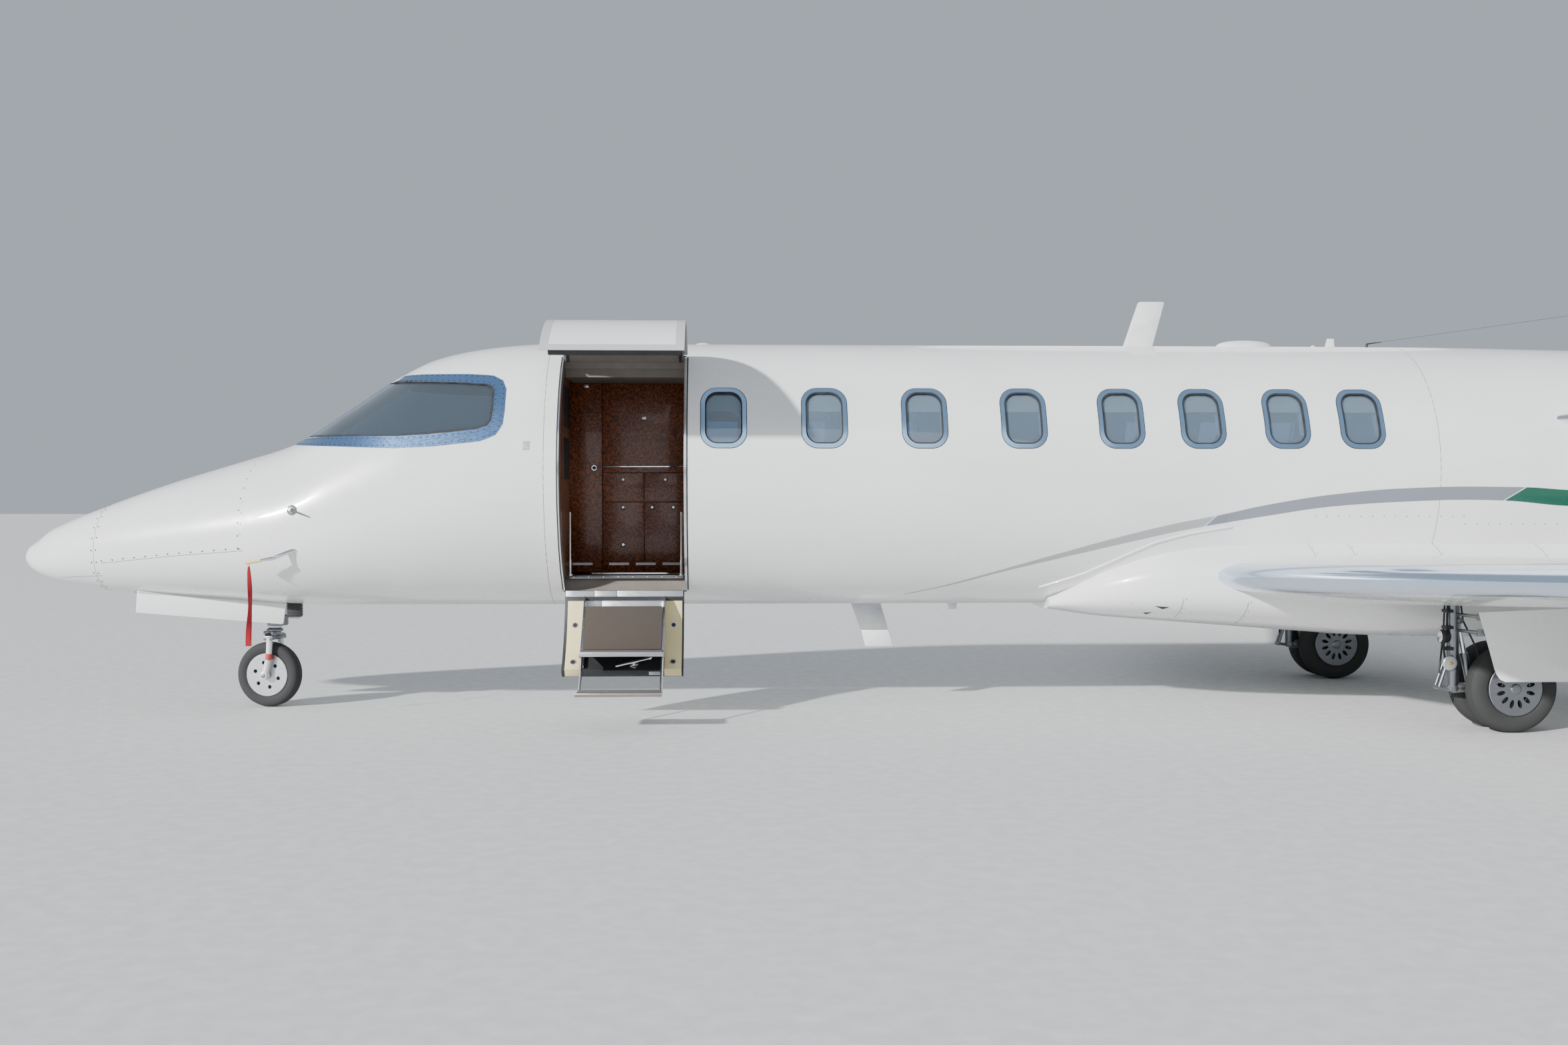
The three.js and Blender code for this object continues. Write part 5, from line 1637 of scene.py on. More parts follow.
    def stair_fittings(self, turn: Matrix, start: float, end: float) -> None:
        """What lies on the lower half's inner face.

        Args:
            turn: opens the panel.
            start: its angle at the hinge.
            end: its angle at the free edge.
        """
        strips, rails = Mould(), Mould()
        sides = ((self.front + 0.022, self.front + 0.128), (self.back - 0.128, self.back - 0.012))
        for columns in sides:
            strips.sheet(*self.slab(144.6, end - 0.04, (self.panel - 0.002, self.panel + 0.012), columns))
            strips.sheet(*self.slab(end + 0.8, end - 0.05, (0.004, self.panel), columns, 3))
        strips.moved(turn).cast("airstair_strips", [CREAM], "airstair", slot="cream_panel", bevel=0.002)
        # Columns: first and last angle, rows, outer and inner depth, first and last station
        bars = [(start - 5.2, end + 1, 44, 0.0, 0.030, sides[0][1] + 0.004, sides[0][1] + 0.020),
                (start - 5.2, end + 1, 44, 0.0, 0.030, sides[1][0] - 0.020, sides[1][0] - 0.004),
                (149.5, 146.6, 6, -0.001, 0.005, 3.812, 4.005),
                (149.5, 146.6, 6, -0.001, 0.005, 4.008, 4.158),
                (149.5, 146.6, 6, -0.001, 0.005, 4.161, 4.608),
                (144.8, 139.0, 8, -0.001, 0.008, 3.939, 4.056),
                (144.8, 139.0, 8, -0.001, 0.008, 4.059, 4.481),
                (end + 0.6, end - 0.05, 3, -0.046, -0.014, 4.385, 4.460)]
        for first, last, rows, outer, inner, a, b in bars:
            rails.sheet(*self.slab(first, last, (self.panel + outer, self.panel + inner), (a, b), rows))
        rails.moved(turn).cast("airstair_rails", [SATIN], "airstair", slot="bare_metal", bevel=0.002)
        rings, eyes = Mould(), Mould()
        ring = [(-0.002, 0.014), (0.0025, 0.015), (0.0025, 0.021), (-0.002, 0.022)]
        for a, b in sides:
            for degrees in (132.7, 113.0):
                place, inward = self.inner_point(mix(a, b, 0.5), degrees, 0.0125)
                rings.turned(ring, place, inward, hollow=True, sides=32)
                eyes.turned(plug(-0.002, 0.0008, 0.015), place, inward, sides=24)
        for station in (3.965, 4.085, 4.330, 4.455):
            place, inward = self.inner_point(station, 141.6, 0.0085)
            eyes.turned(plug(-0.002, 0.0006, 0.006), place, inward, sides=16)
        rings.moved(turn).cast("airstair_socket_rings", [SATIN], "airstair")
        eyes.moved(turn).cast("airstair_sockets", [BLACK], "airstair")

    def inner_point(self, station: float, degrees: float, lift: float = 0.0) -> tuple[Vector, Vector]:
        """Point off the closed panel's inner face and the direction inwards there."""
        y, z = door_point(degrees, self.panel + lift)
        return Vector((x_at(station), y, z)), Vector((0, -y, AXIS_Z - z)).normalized()

    def handle(self) -> None:
        """T-shaped latch handle with its boss, on the pan by the free edge."""
        turn = swing(door_point(self.sill), self.stair_turn)
        left, _ = self.inner_point(4.165, 109.6)
        middle, inward = self.inner_point(4.285, 112.0)
        right, _ = self.inner_point(4.405, 114.4)
        boss = [(-0.004, 0), (-0.004, 0.030), (0.006, 0.030), (0.010, 0.024), (0.010, 0.011), (0.030, 0.010),
                (0.030, 0)]
        mould = Mould().turned(boss, middle, inward, sides=32)
        line = [left, left.lerp(middle, 0.5), middle, middle.lerp(right, 0.5)]
        line += [right.lerp(middle, 0.2), right.lerp(middle, 0.1), right]
        radii = [0.007, 0.009, 0.011, 0.008, 0.008, 0.016, 0.006]
        mould.tube([point + inward * 0.030 for point in line], radii, sides=24)
        mould.moved(turn).cast("airstair_handle", [CHROME], "airstair", slot="bare_metal")

    def steps(self) -> None:
        """Carpeted steps between side plates, on tube legs."""
        first, last = x_at(3.940), x_at(4.490)
        plates = Mould()
        profile = [(-0.498, 0.800), (-0.545, 0.800), (-0.575, 0.812), (-0.640, 0.748), (-0.918, 0.476),
                   (-1.010, 0.474), (-1.020, 0.464), (-1.020, 0.446), (-1.006, 0.438), (-0.905, 0.436),
                   (-0.650, 0.470), (-0.560, 0.600)]
        for x in (first, last - 0.008):
            plates.beam(x, profile, 0.008)
        lip = [(-0.646, 0.746), (-0.911, 0.474), (-0.893, 0.460), (-0.628, 0.732)]
        for x in (first, last - 0.018):
            plates.beam(x, lip, 0.018)
        plates.block((first, -1.022, 0.448), (last, -1.014, 0.478))
        plates.block((first, -1.330, 0.240), (last, -1.320, 0.2495))
        plates.cast("step_plates", [SATIN], "airstair", ["airstair_steps"], "bare_metal", bevel=0.002)
        cover = Mould()
        slope = [(-0.646, 0.741), (-0.905, 0.476), (-0.915, 0.486), (-0.656, 0.751)]
        cover.beam(first + 0.019, slope, last - first - 0.038)
        cover.block((first + 0.009, -1.013, 0.466), (last - 0.009, -0.900, 0.480))
        cover.block((first + 0.009, -1.321, 0.238), (last - 0.009, -1.142, 0.249))
        cover.cast("step_carpet", [CARPET], "airstair", slot="carpet", bevel=0.003)
        core = Mould()
        core.block((first + 0.002, -1.320, 0.226), (last - 0.002, -1.140, 0.238))
        front = Mould().block((first, -1.329, 0.226), (last, -1.320, 0.2398))
        front.cast("step_front", [EDGE_BROWN], "airstair")
        core.block((first + 0.009, -1.013, 0.452), (last - 0.009, -0.900, 0.466))
        slope = [(-0.640, 0.738), (-0.902, 0.470), (-0.895, 0.464), (-0.632, 0.730)]
        core.beam(first + 0.019, slope, last - first - 0.038)
        core.cast("step_boards", [BLACK], "airstair")
        legs = Mould()
        for x in (first + 0.012, last - 0.012):
            line = [(-0.62, 0.700), (-0.90, 0.448), (-1.120, 0.237), (-1.160, 0.232), (-1.315, 0.232)]
            legs.tube([(x, y, z) for y, z in line], 0.0105)
            ball = [(-0.014 * math.cos(t), 0.014 * math.sin(t)) for t in spread(0.0, math.pi, 11)]
            legs.turned(ball, (x, -1.315, 0.232), (0, 1, 0), sides=24)
        legs.tube([(first + 0.012, -1.128, 0.236), (last - 0.012, -1.128, 0.236)], 0.0095)
        legs.cast("step_legs", [POLISHED], "airstair", slot="bare_metal")

    def doorway(self) -> None:
        """Seals round the opening, threshold, hand rails and grab handle."""
        hull = self.craft.hull
        seals, edges = Mould(), Mould()
        for edge, seal, width in ((3.7955, 3.787, 0.008), (4.6285, 4.641, 0.016)):
            seals.ribbon(hull.hoop(seal, 30.5, 149.5), 0.008, 0.0015, 0.004)
            edges.ribbon(hull.hoop(edge, 30.5, 149.5), width, 0.003, 0.010)
        for degrees in (29.4, 150.6):
            path = [(hull.round_at(s, degrees), hull.normal(hull.round_at(s, degrees)))
                    for s in spread(3.79, 4.63, 8)]
            seals.ribbon(path, 0.016, 0.0015, 0.004)
        seals.cast("doorway_seal", [SEAL])
        edges.cast("doorway_edge", [POLISHED], slot="bare_metal")
        sill = Mould()
        ends = (3.812, 4.608)
        sill.box(ends, (-0.432, -0.338), (0.9385, 0.9415))
        sill.box(ends, (-0.437, -0.432), (0.926, 0.9415))
        sill.cast("sill_plate", [POLISHED], replaces=["door_sill"], slot="bare_metal", bevel=0.001)
        black = Mould().box(ends, (-0.4385, -0.4365), (0.929, 0.9385))
        black.cast("sill_band", [BLACK])
        rails = Mould()
        for station in (3.828, 4.592):
            x = x_at(station)
            line = [(x, -0.376, z) for z in (0.93, 1.04, 1.05, 1.378)]
            rails.tube(line, [0.011, 0.011, 0.0075, 0.0075])
            rails.turned([(0, 0), (0, 0.02), (0.012, 0.02), (0.016, 0.012), (0.016, 0)], (x, -0.376, 0.939),
                         (0, 0, 1), sides=24)
        rails.cast("door_hand_rails", [POLISHED], slot="bare_metal")
        line = [(-0.71, 1.60), (-0.665, 1.62), (-0.655, 1.66), (-0.655, 1.84), (-0.665, 1.88), (-0.71, 1.90)]
        grab = Mould().tube([(x_at(3.79), y, z) for y, z in line], 0.012)
        grab.cast("grab_handle", [BLACK], slot="dark_panel")
        points = [(x_at(s), -0.4385, 0.9338) for s in spread(3.86, 4.56, 8)]
        stud = Mould().turned(plug(-0.001, 0.001, 0.0035), (0, 0, 0), (0, -1, 0), sides=16)
        studs = self.craft.repeats.at_points("sill_studs", stud.rough("sill_stud"), points, SATIN)
        finished(studs, [SATIN], "airframe")

    def build(self) -> None:
        """Makes both halves and the doorway."""
        self.hatch()
        self.stair_panel()
        self.handle()
        self.steps()
        self.doorway()


# Cabin


@dataclass
class Cabin:
    """Galley cabinet, seats, floor and instrument panel."""

    craft: Aircraft
    face: float = 0.260
    floor: float = 0.900
    # Station of each club seat's front edge, with 1 for a seat that faces forward
    club: tuple[Pair, ...] = ((5.90, -1), (6.56, 1), (7.90, -1), (8.48, 1))

    def inside(self, piece: bpy.types.Object, gap: float) -> bpy.types.Object:
        """Cuts a piece by the doorway to the cabin's inside, clear of the wall by a gap."""
        room = Mould().loft([self.craft.hull.ring(s, -WALL - gap) for s in spread(3.7, 4.75, 12)])
        return carved(piece, room, "INTERSECT")

    def cabinet(self) -> None:
        """Burl cabinet opposite the door, with its doors, trim, knobs and vents."""
        main = Mould().box((3.76, 4.69), (self.face + 0.020, 0.86), (self.floor, 2.38)).rough("cabinet_body")
        finished(self.inside(main, 0.0005), [BURL_PAINTED_SHADE], "airframe", ["galley_cabinet"], bevel=0.003)
        # Columns: first and last station, lowest and highest edge of each door front
        fronts = [(3.765, 4.003, 0.93, 2.305), (4.007, 4.685, 1.706, 2.305), (4.007, 4.308, 1.4455, 1.655),
                  (4.312, 4.685, 1.4455, 1.655), (4.007, 4.308, 0.93, 1.4415), (4.312, 4.685, 0.93, 1.4415),
                  (4.007, 4.685, 1.659, 1.697), (3.765, 4.685, 2.311, 2.340)]
        panels = Mould()
        for s0, s1, z0, z1 in fronts:
            panels.box((s0, s1), (self.face, self.face + 0.0195), (z0, z1))
        panels.cast("cabinet_fronts", [BURL_PAINTED_SHADE], slot="burl_wood", bevel=0.003)
        trim = Mould().box((4.007, 4.688), (self.face - 0.006, self.face + 0.02), (1.697, 1.705))
        trim.box((3.765, 4.688), (self.face + 0.004, self.face + 0.02), (0.903, 0.926))
        latch = (x_at(3.944), self.face, 1.691)
        trim.turned([(-0.002, 0.012), (-0.002, 0.024), (0.006, 0.024), (0.009, 0.020), (0.009, 0.012)],
                    latch, (0, -1, 0), sides=36, hollow=True)
        trim.cast("cabinet_trim", [CHROME], slot="bare_metal", bevel=0.001)
        eye = Mould().turned(plug(-0.002, 0.005, 0.013), latch, (0, -1, 0), sides=24)
        eye.cast("cabinet_latch_eye", [BLACK], slot="dark_panel")
        knob = Mould().turned([(-0.002, 0), (-0.002, 0.010), (0.008, 0.008), (0.012, 0.013), (0.020, 0.014),
                               (0.024, 0.009), (0.024, 0)], (0, 0, 0), (0, -1, 0), sides=28)
        places = [(4.157, 1.606), (4.463, 1.606), (4.157, 1.404), (4.367, 1.404), (4.521, 1.404),
                  (4.157, 1.132)]
        knobs = self.craft.repeats.at_points("cabinet_knobs", knob.rough("knob"),
                                             [(x_at(s), self.face, z) for s, z in places], CHROME)
        finished(knobs, [CHROME], "airframe")
        grips = Mould()
        for s, z in ((3.889, 2.286), (4.310, 2.056)):
            grips.block((x_at(s) - 0.018, self.face - 0.009, z - 0.012),
                        (x_at(s) + 0.018, self.face + 0.001, z + 0.012))
        grips.cast("cabinet_latches", [SATIN], slot="bare_metal", bevel=0.003)
        slot = Mould().block((-0.0725, -0.004, -0.009), (0.0725, 0.002, 0.009)).rough("vent_slot")
        spots = [(x_at(s), self.face, 0.991) for s in (3.8595, 4.1255, 4.3195, 4.5135)]
        vents = self.craft.repeats.at_points("cabinet_vents", slot, spots, REVEAL)
        finished(vents, [REVEAL], "airframe")

    def entry(self) -> None:
        """Burl panel ahead of the doorway with two dark pads, and the header over it."""
        board = Mould().box((3.784, 3.7995), (-0.86, -0.120), (self.floor, 2.38)).rough("entry_panel")
        finished(self.inside(board, 0.0008), [BURL_PAINTED_SHADE], "airframe")
        pads = Mould()
        for heights in ((1.960, 2.242), (1.604, 1.887)):
            pads.box((3.7990, 3.8040), (-0.500, -0.130), heights)
        pads.cast("entry_pads", [BLACK], slot="dark_panel", bevel=0.002)
        header = Mould().box((3.801, 4.640), (-0.372, 0.250), (2.305, 2.376)).rough("entry_header")
        finished(self.inside(header, 0.0008), [EDGE_BROWN], "airframe")

    def seat_mould(self, turn: float, base: float, across: Pair) -> Mould:
        """One seat from its front edge at X 0; turn is 1 when its back is aft."""
        low, high = across
        # Columns: from the front edge, Y, and height over the cushion's foot
        parts = [(0.0, 0.45, low + 0.055, high - 0.055, 0.0, 0.125),
                 (0.40, 0.51, low + 0.02, high - 0.02, 0.07, 0.60),
                 (0.372, 0.42, low + 0.06, high - 0.06, 0.13, 0.36),
                 (0.372, 0.42, low + 0.06, high - 0.06, 0.37, 0.57),
                 (0.395, 0.49, low + 0.09, high - 0.09, 0.605, 0.725),
                 (0.06, 0.42, low, low + 0.05, 0.02, 0.25), (0.06, 0.42, high - 0.05, high, 0.02, 0.25)]
        mould = Mould()
        for x0, x1, y0, y1, z0, z1 in parts:
            a, b = sorted((turn * x0, turn * x1))
            mould.block((a, y0, base + z0), (b, y1, base + z1))
        return mould

    def seats(self) -> None:
        """Club seats down each side and the two pilots' seats."""
        for side in Side:
            mould = Mould()
            for station, turn in self.club:
                one = self.seat_mould(turn, 1.150, side.band(0.15, 0.60))
                mould.merge(one.moved(Matrix.Translation((x_at(station), 0, 0))))
            piece = mould.cast(f"club_seats_{side.word}", [HIDE], replaces=[f"cabin_seats_{side.word}"],
                               slot="seat_leather", sharp=70, bevel=0.022)
            base = Mould()
            for station, turn in self.club:
                ends = sorted((station + turn * 0.12, station + turn * 0.36))
                base.box(ends, side.band(0.17, 0.29), (self.floor + 0.016, 1.165))
            base.box((5.50, 8.90), side.band(0.20, 0.26), (self.floor + 0.0003, self.floor + 0.016))
            base.cast(f"seat_bases_{side.word}", [SATIN], slot="bare_metal", bevel=0.004)
        mould = Mould()
        for side in Side:
            one = self.seat_mould(1, 1.130, side.band(0.19, 0.59))
            mould.merge(one.moved(Matrix.Translation((x_at(3.02), 0, 0))))
        piece = mould.cast("pilot_seat_pads", [HIDE], replaces=["pilot_seats"], slot="seat_leather",
                           sharp=70, bevel=0.022)
        base = Mould().box((3.14, 3.38), (-0.29, 0.29), (self.floor + 0.0003, 1.145))
        base.cast("pilot_seat_base", [STEEL], slot="dark_panel", bevel=0.004)

    def panel(self) -> None:
        """Instrument panel with its glare shield, screens and yokes."""
        wall = merged_copy(bpy.data.objects["instrument_panel"], "instrument_board")
        finished(wall, [BLACK], "airframe", ["instrument_panel"], bevel=0.006)
        screens = Mould()
        for y in (-0.40, 0.0, 0.40):
            screens.box((2.560, 2.566), (y - 0.13, y + 0.13), (1.47, 1.68))
        screens.cast("screens", [SHIELD], slot="glass", bevel=0.002)
        yokes = Mould()
        for side in Side:
            y = side.value * 0.38
            yokes.tube([(x_at(2.55), y, 1.40), (x_at(2.78), y, 1.40)], 0.016)
            half = [(2.80, 0.13, 1.52), (2.79, 0.14, 1.44), (2.78, 0.08, 1.385)]
            line = [(s, y - dy, z) for s, dy, z in half] + [(2.78, y, 1.39)]
            line += [(s, y + dy, z) for s, dy, z in reversed(half)]
            yokes.tube(placed(line), 0.014)
        yokes.cast("control_yokes", [BLACK], slot="dark_panel")

    def build(self) -> None:
        """Makes everything in the cabin."""
        self.cabinet()
        self.entry()
        self.seats()
        self.panel()
        for place in bpy.data.objects["cabin_floor"].material_slots:
            place.material = CARPET.material()


# Wings and tail


@dataclass(frozen=True)
class Foil:
    """Aerofoil as shares of its chord, with a round nose."""

    upper: tuple[Pair, ...]
    lower: tuple[Pair, ...]
    shares: tuple[float, ...] = (
        1.0, 0.92, 0.85, 0.77, 0.7, 0.6, 0.5, 0.4, 0.3, 0.2, 0.13, 0.09, 0.06, 0.045, 0.03, 0.02, 0.012,
        0.006, 0.002, 0.0,
    )

    def ring(self, leading: Vector, chord: float, up: Vector, thick: float = 1.0) -> list[Vector]:
        """Closed section from its trailing edge over the top and back."""
        above, below = RootCurve(self.upper), RootCurve(self.lower)
        over = [(share, above(share)) for share in self.shares]
        under = [(share, below(share)) for share in reversed(self.shares[:-1])]
        return [leading + Vector((share * chord, 0, 0)) + up * (height * chord * thick)
                for share, height in over + under]

    def loft(self, rings: Sequence[Sequence[Vector]], band: int = 0) -> Mould:
        """Skins the rings, with a leading-edge band of this many faces each way in slot 1."""
        mould = Mould().loft(rings)
        count, nose = len(rings[0]), len(self.shares) - 1
        for r in range(len(rings) - 1):
            for i in range(nose - band, nose + band):
                mould.slots[r * count + i] = 1
        return mould


WING_FOIL = Foil(
    ((0.0, 0.0), (0.015, 0.018), (0.06, 0.032), (0.2, 0.046), (0.4, 0.050), (0.6, 0.042), (0.77, 0.028),
     (1.0, 0.002)),
    ((0.0, 0.0), (0.015, -0.019), (0.06, -0.036), (0.2, -0.058), (0.4, -0.066), (0.6, -0.055),
     (0.77, -0.034), (1.0, -0.002)),
)
TAIL_FOIL = Foil(
    ((0.0, 0.0), (0.02, 0.018), (0.12, 0.038), (0.35, 0.05), (0.66, 0.034), (1.0, 0.003)),
    ((0.0, 0.0), (0.02, -0.018), (0.12, -0.038), (0.35, -0.05), (0.66, -0.034), (1.0, -0.003)),
)


# A tail surface's nose radius as a share of the chord, and how thick the fin is beside the tail plane
NOSE_SHARE = 0.034
FIN_THICK = 0.86


def hinge_cut(piece: bpy.types.Object, start: HingeEnd, end: HingeEnd, up: Vector) -> None:
    """Takes out of a plane the space behind a hinge line and the round cove ahead of it.

    Args:
        piece: the plane.
        start: one end of the hinge line.
        end: its other end.
        up: direction through the plane's thickness.
    """
    rings = []
    for point, _, tail in (start, end):
        behind = Vector((tail + 0.06, point.y, point.z))
        rings.append([point - up * 0.3, behind - up * 0.3, behind + up * 0.3, point + up * 0.3])
    radii = [start[1] + 0.009, end[1] + 0.009]
    carved(piece, Mould().loft(rings))
    carved(piece, Mould().tube([start[0], end[0]], radii, sides=40))


@dataclass
class Wings:
    """Both wings with winglets, their coves and hinged surfaces, and the fairing between them."""

    craft: Aircraft
    root_y: float = 0.950
    root_edge: float = 8.178
    trailing: float = 11.050
    tip_y: float = 6.950
    sweep: float = math.tan(math.radians(16))
    rise: float = math.tan(math.radians(2.5))
    root_z: float = 0.955
    hinge: float = 0.77
    hinged: tuple[Pair, ...] = ((1.130, 4.350), (4.420, 6.450))
    power: float = 2.7
    lip: tuple[Pair, ...] = (
        (7.064, 0.859), (7.342, 0.958), (7.518, 1.045), (7.670, 1.120), (7.797, 1.178), (8.000, 1.233),
        (8.203, 1.270), (8.300, 1.284),
    )
    screw_lines: tuple[tuple[Pair, ...], ...] = (((8.86, 1.352), (9.88, 1.352)),
                                                 ((9.90, 1.300), (10.70, 1.300)))
    # Columns: station, lowest and highest point
    fairing_seams: tuple[tuple[float, float, float], ...] = (
        (8.840, 1.04, 1.20), (9.110, 1.04, 1.20), (9.700, 1.04, 1.20), (10.420, 1.04, 1.20),
        (7.960, 0.66, 0.80), (8.380, 0.62, 0.78),
    )
    # Columns: station, bottom, half width, top
    fairing_rows: tuple[tuple[float, ...], ...] = (
        (7.15, 0.692, 0.400, 0.790), (7.50, 0.640, 0.690, 1.050), (7.85, 0.612, 0.850, 1.180),
        (8.25, 0.582, 0.930, 1.232), (8.80, 0.540, 0.975, 1.245), (9.40, 0.500, 1.000, 1.245),
        (10.1, 0.486, 1.000, 1.240), (10.9, 0.505, 0.980, 1.220), (11.5, 0.560, 0.920, 1.170),
        (12.1, 0.660, 0.780, 1.100), (12.8, 0.850, 0.480, 1.020),
    )

    def edge(self, y: float) -> float:
        """Station of the leading edge."""
        return self.root_edge + (y - self.root_y) * self.sweep

    def hinge_at(self, y: float, side: Side) -> HingeEnd:
        """One end of a hinge line."""
        chord = self.trailing - self.edge(y)
        z = self.root_z + (y - self.root_y) * self.rise - 0.003 * chord
        point = Vector((x_at(self.edge(y) + self.hinge * chord), side.value * y, z))
        return point, 0.031 * chord, x_at(self.trailing)

    def wing(self, side: Side) -> None:
        """One wing, cut where its flap and aileron work."""
        tip_edge, tip_z = self.edge(self.tip_y), self.root_z + (self.tip_y - self.root_y) * self.rise
        # Columns: way along, distance out, height, leading edge, chord, tilt
        rows = [(0.0, 0.80, self.root_z - 0.15 * self.rise, self.edge(0.80), self.trailing - self.edge(0.80),
                 0.0),
                (6.0, 6.80, tip_z - 0.15 * self.rise, self.edge(6.80), self.trailing - self.edge(6.80), 0.0),
                (6.15, 6.95, tip_z, tip_edge, self.trailing - tip_edge, 6.0),
                (6.30, 7.09, tip_z + 0.045, tip_edge + 0.09, 1.04, 30.0),
                (6.50, 7.195, tip_z + 0.19, tip_edge + 0.23, 0.88, 66.0),
                (7.15, 7.268, tip_z + 0.83, tip_edge + 0.78, 0.40, 80.0)]
        curves = column_curves(rows)
        rings = []
        for way in spread(0.0, 6.0, 8)[:-1] + spread(6.0, 7.15, 22):
            y, z, edge, chord, tilt = (curve(way) for curve in curves)
            turn = math.radians(tilt)
            up = Vector((0, -side.value * math.sin(turn), math.cos(turn)))
            rings.append(WING_FOIL.ring(Vector((x_at(edge), side.value * y, z)), chord, up,
                                        mix(1.0, 0.8, max(0.0, way - 6.15))))
        piece = WING_FOIL.loft(rings, 7).rough(f"wing_skin_{side.word}")
        for a, b in self.hinged:
            hinge_cut(piece, self.hinge_at(a, side), self.hinge_at(b, side), Vector((0, 0, 1)))
        carved(piece, Mould().box((9.43, 9.63), side.band(1.34, 1.50), (0.6, 0.862)))
        finished(piece, [WHITE, EDGE_METAL_PAINTED_REFLECTION], "airframe", [f"wing_{side.word}"], sharp=28)

    def fairing(self) -> None:
        """Smooth fairing round the wing root, cut to the hull."""
        curves = column_curves(self.fairing_rows)
        rings = []
        for station in spread(self.fairing_rows[0][0], self.fairing_rows[-1][0], 56):
            bottom, half, top = (curve(station) for curve in curves)
            middle = (top + bottom) / 2
            ring = [(bent(math.cos(t), self.power), bent(math.sin(t), self.power)) for t in turns(96)]
            reach = top - middle
            rings.append([Vector((x_at(station), half * out, middle + reach * up)) for out, up in ring])
        piece = Mould().loft(rings).rough("fairing_skin")
        carved(piece, Mould().loft([self.craft.hull.ring(s, 0.0003) for s in spread(7.0, 13.0, 30)]))
        finished(piece, [WHITE], "airframe", ["wing_fairing"], sharp=28)
        # Dark triangles under the fairing's front: a painted shadow of a flush duct.
        duct_shadow = Mould()
        for side in Side:
            y = side.value
            corners = [(7.631, y * 0.711, 0.758), (7.880, y * 0.784, 0.740), (7.762, y * 0.638, 0.681)]
            duct_shadow.prism(placed(corners), (0, y * 0.016, 0))
        duct_shadow.cast("fairing_scoops", [BLACK], bevel=0.003)
        lips, seams, rows = Mould(), Mould(), []
        for side in Side:
            lips.ribbon(self.craft.hull.path(list(self.lip), side, 0.04), 0.015, 0.008, 0.006)
            for station, low, high in self.fairing_seams:
                seams.ribbon(self.fairing_path(station, low, high, side), 0.0035, 0.0006, 0.002)
                rows.append(self.fairing_path(station + 0.018, low, high, side))
            for line in self.screw_lines:
                rows.append(self.craft.hull.path(list(line), side, 0.06))
        lips.cast("fairing_lips", [WHITE], slot="white_paint", bevel=0.004)
        seams.cast("fairing_seams", [GAP], sharp=60)
        self.craft.repeats.screws("fairing_screws", rows, 0.075, 0.0042, GAP)

    def fairing_path(self, station: float, low: float, high: float, side: Side) -> SkinPath:
        """Path up the fairing's flank between two heights."""
        bottom, half, top = (curve(station) for curve in column_curves(self.fairing_rows))
        middle, reach = (top + bottom) / 2, (top - bottom) / 2
        found = []
        for z in spread(low, high, 12):
            share = (z - middle) / reach
            out = half * (1 - abs(share) ** self.power) ** (1 / self.power)
            across = (out / half) ** (self.power - 1) / half
            above = math.copysign(abs(share) ** (self.power - 1), share) / reach
            normal = Vector((0, side.value * across, above)).normalized()
            found.append((Vector((x_at(station), side.value * out, z)), normal))
        return found

    def build(self) -> None:
        """Makes the wings, fairing and hinged surfaces."""
        self.fairing()
        for side in Side:
            self.wing(side)
            smooth_node(f"flap_{side.word}", f"flap_panel_{side.word}")
            smooth_node(f"aileron_{side.word}", f"aileron_panel_{side.word}")


def smooth_node(node: str, body: str) -> None:
    """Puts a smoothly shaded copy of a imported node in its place."""
    finished(merged_copy(bpy.data.objects[node], node + "_skin"), [WHITE], body, [node],
             sharp=36)


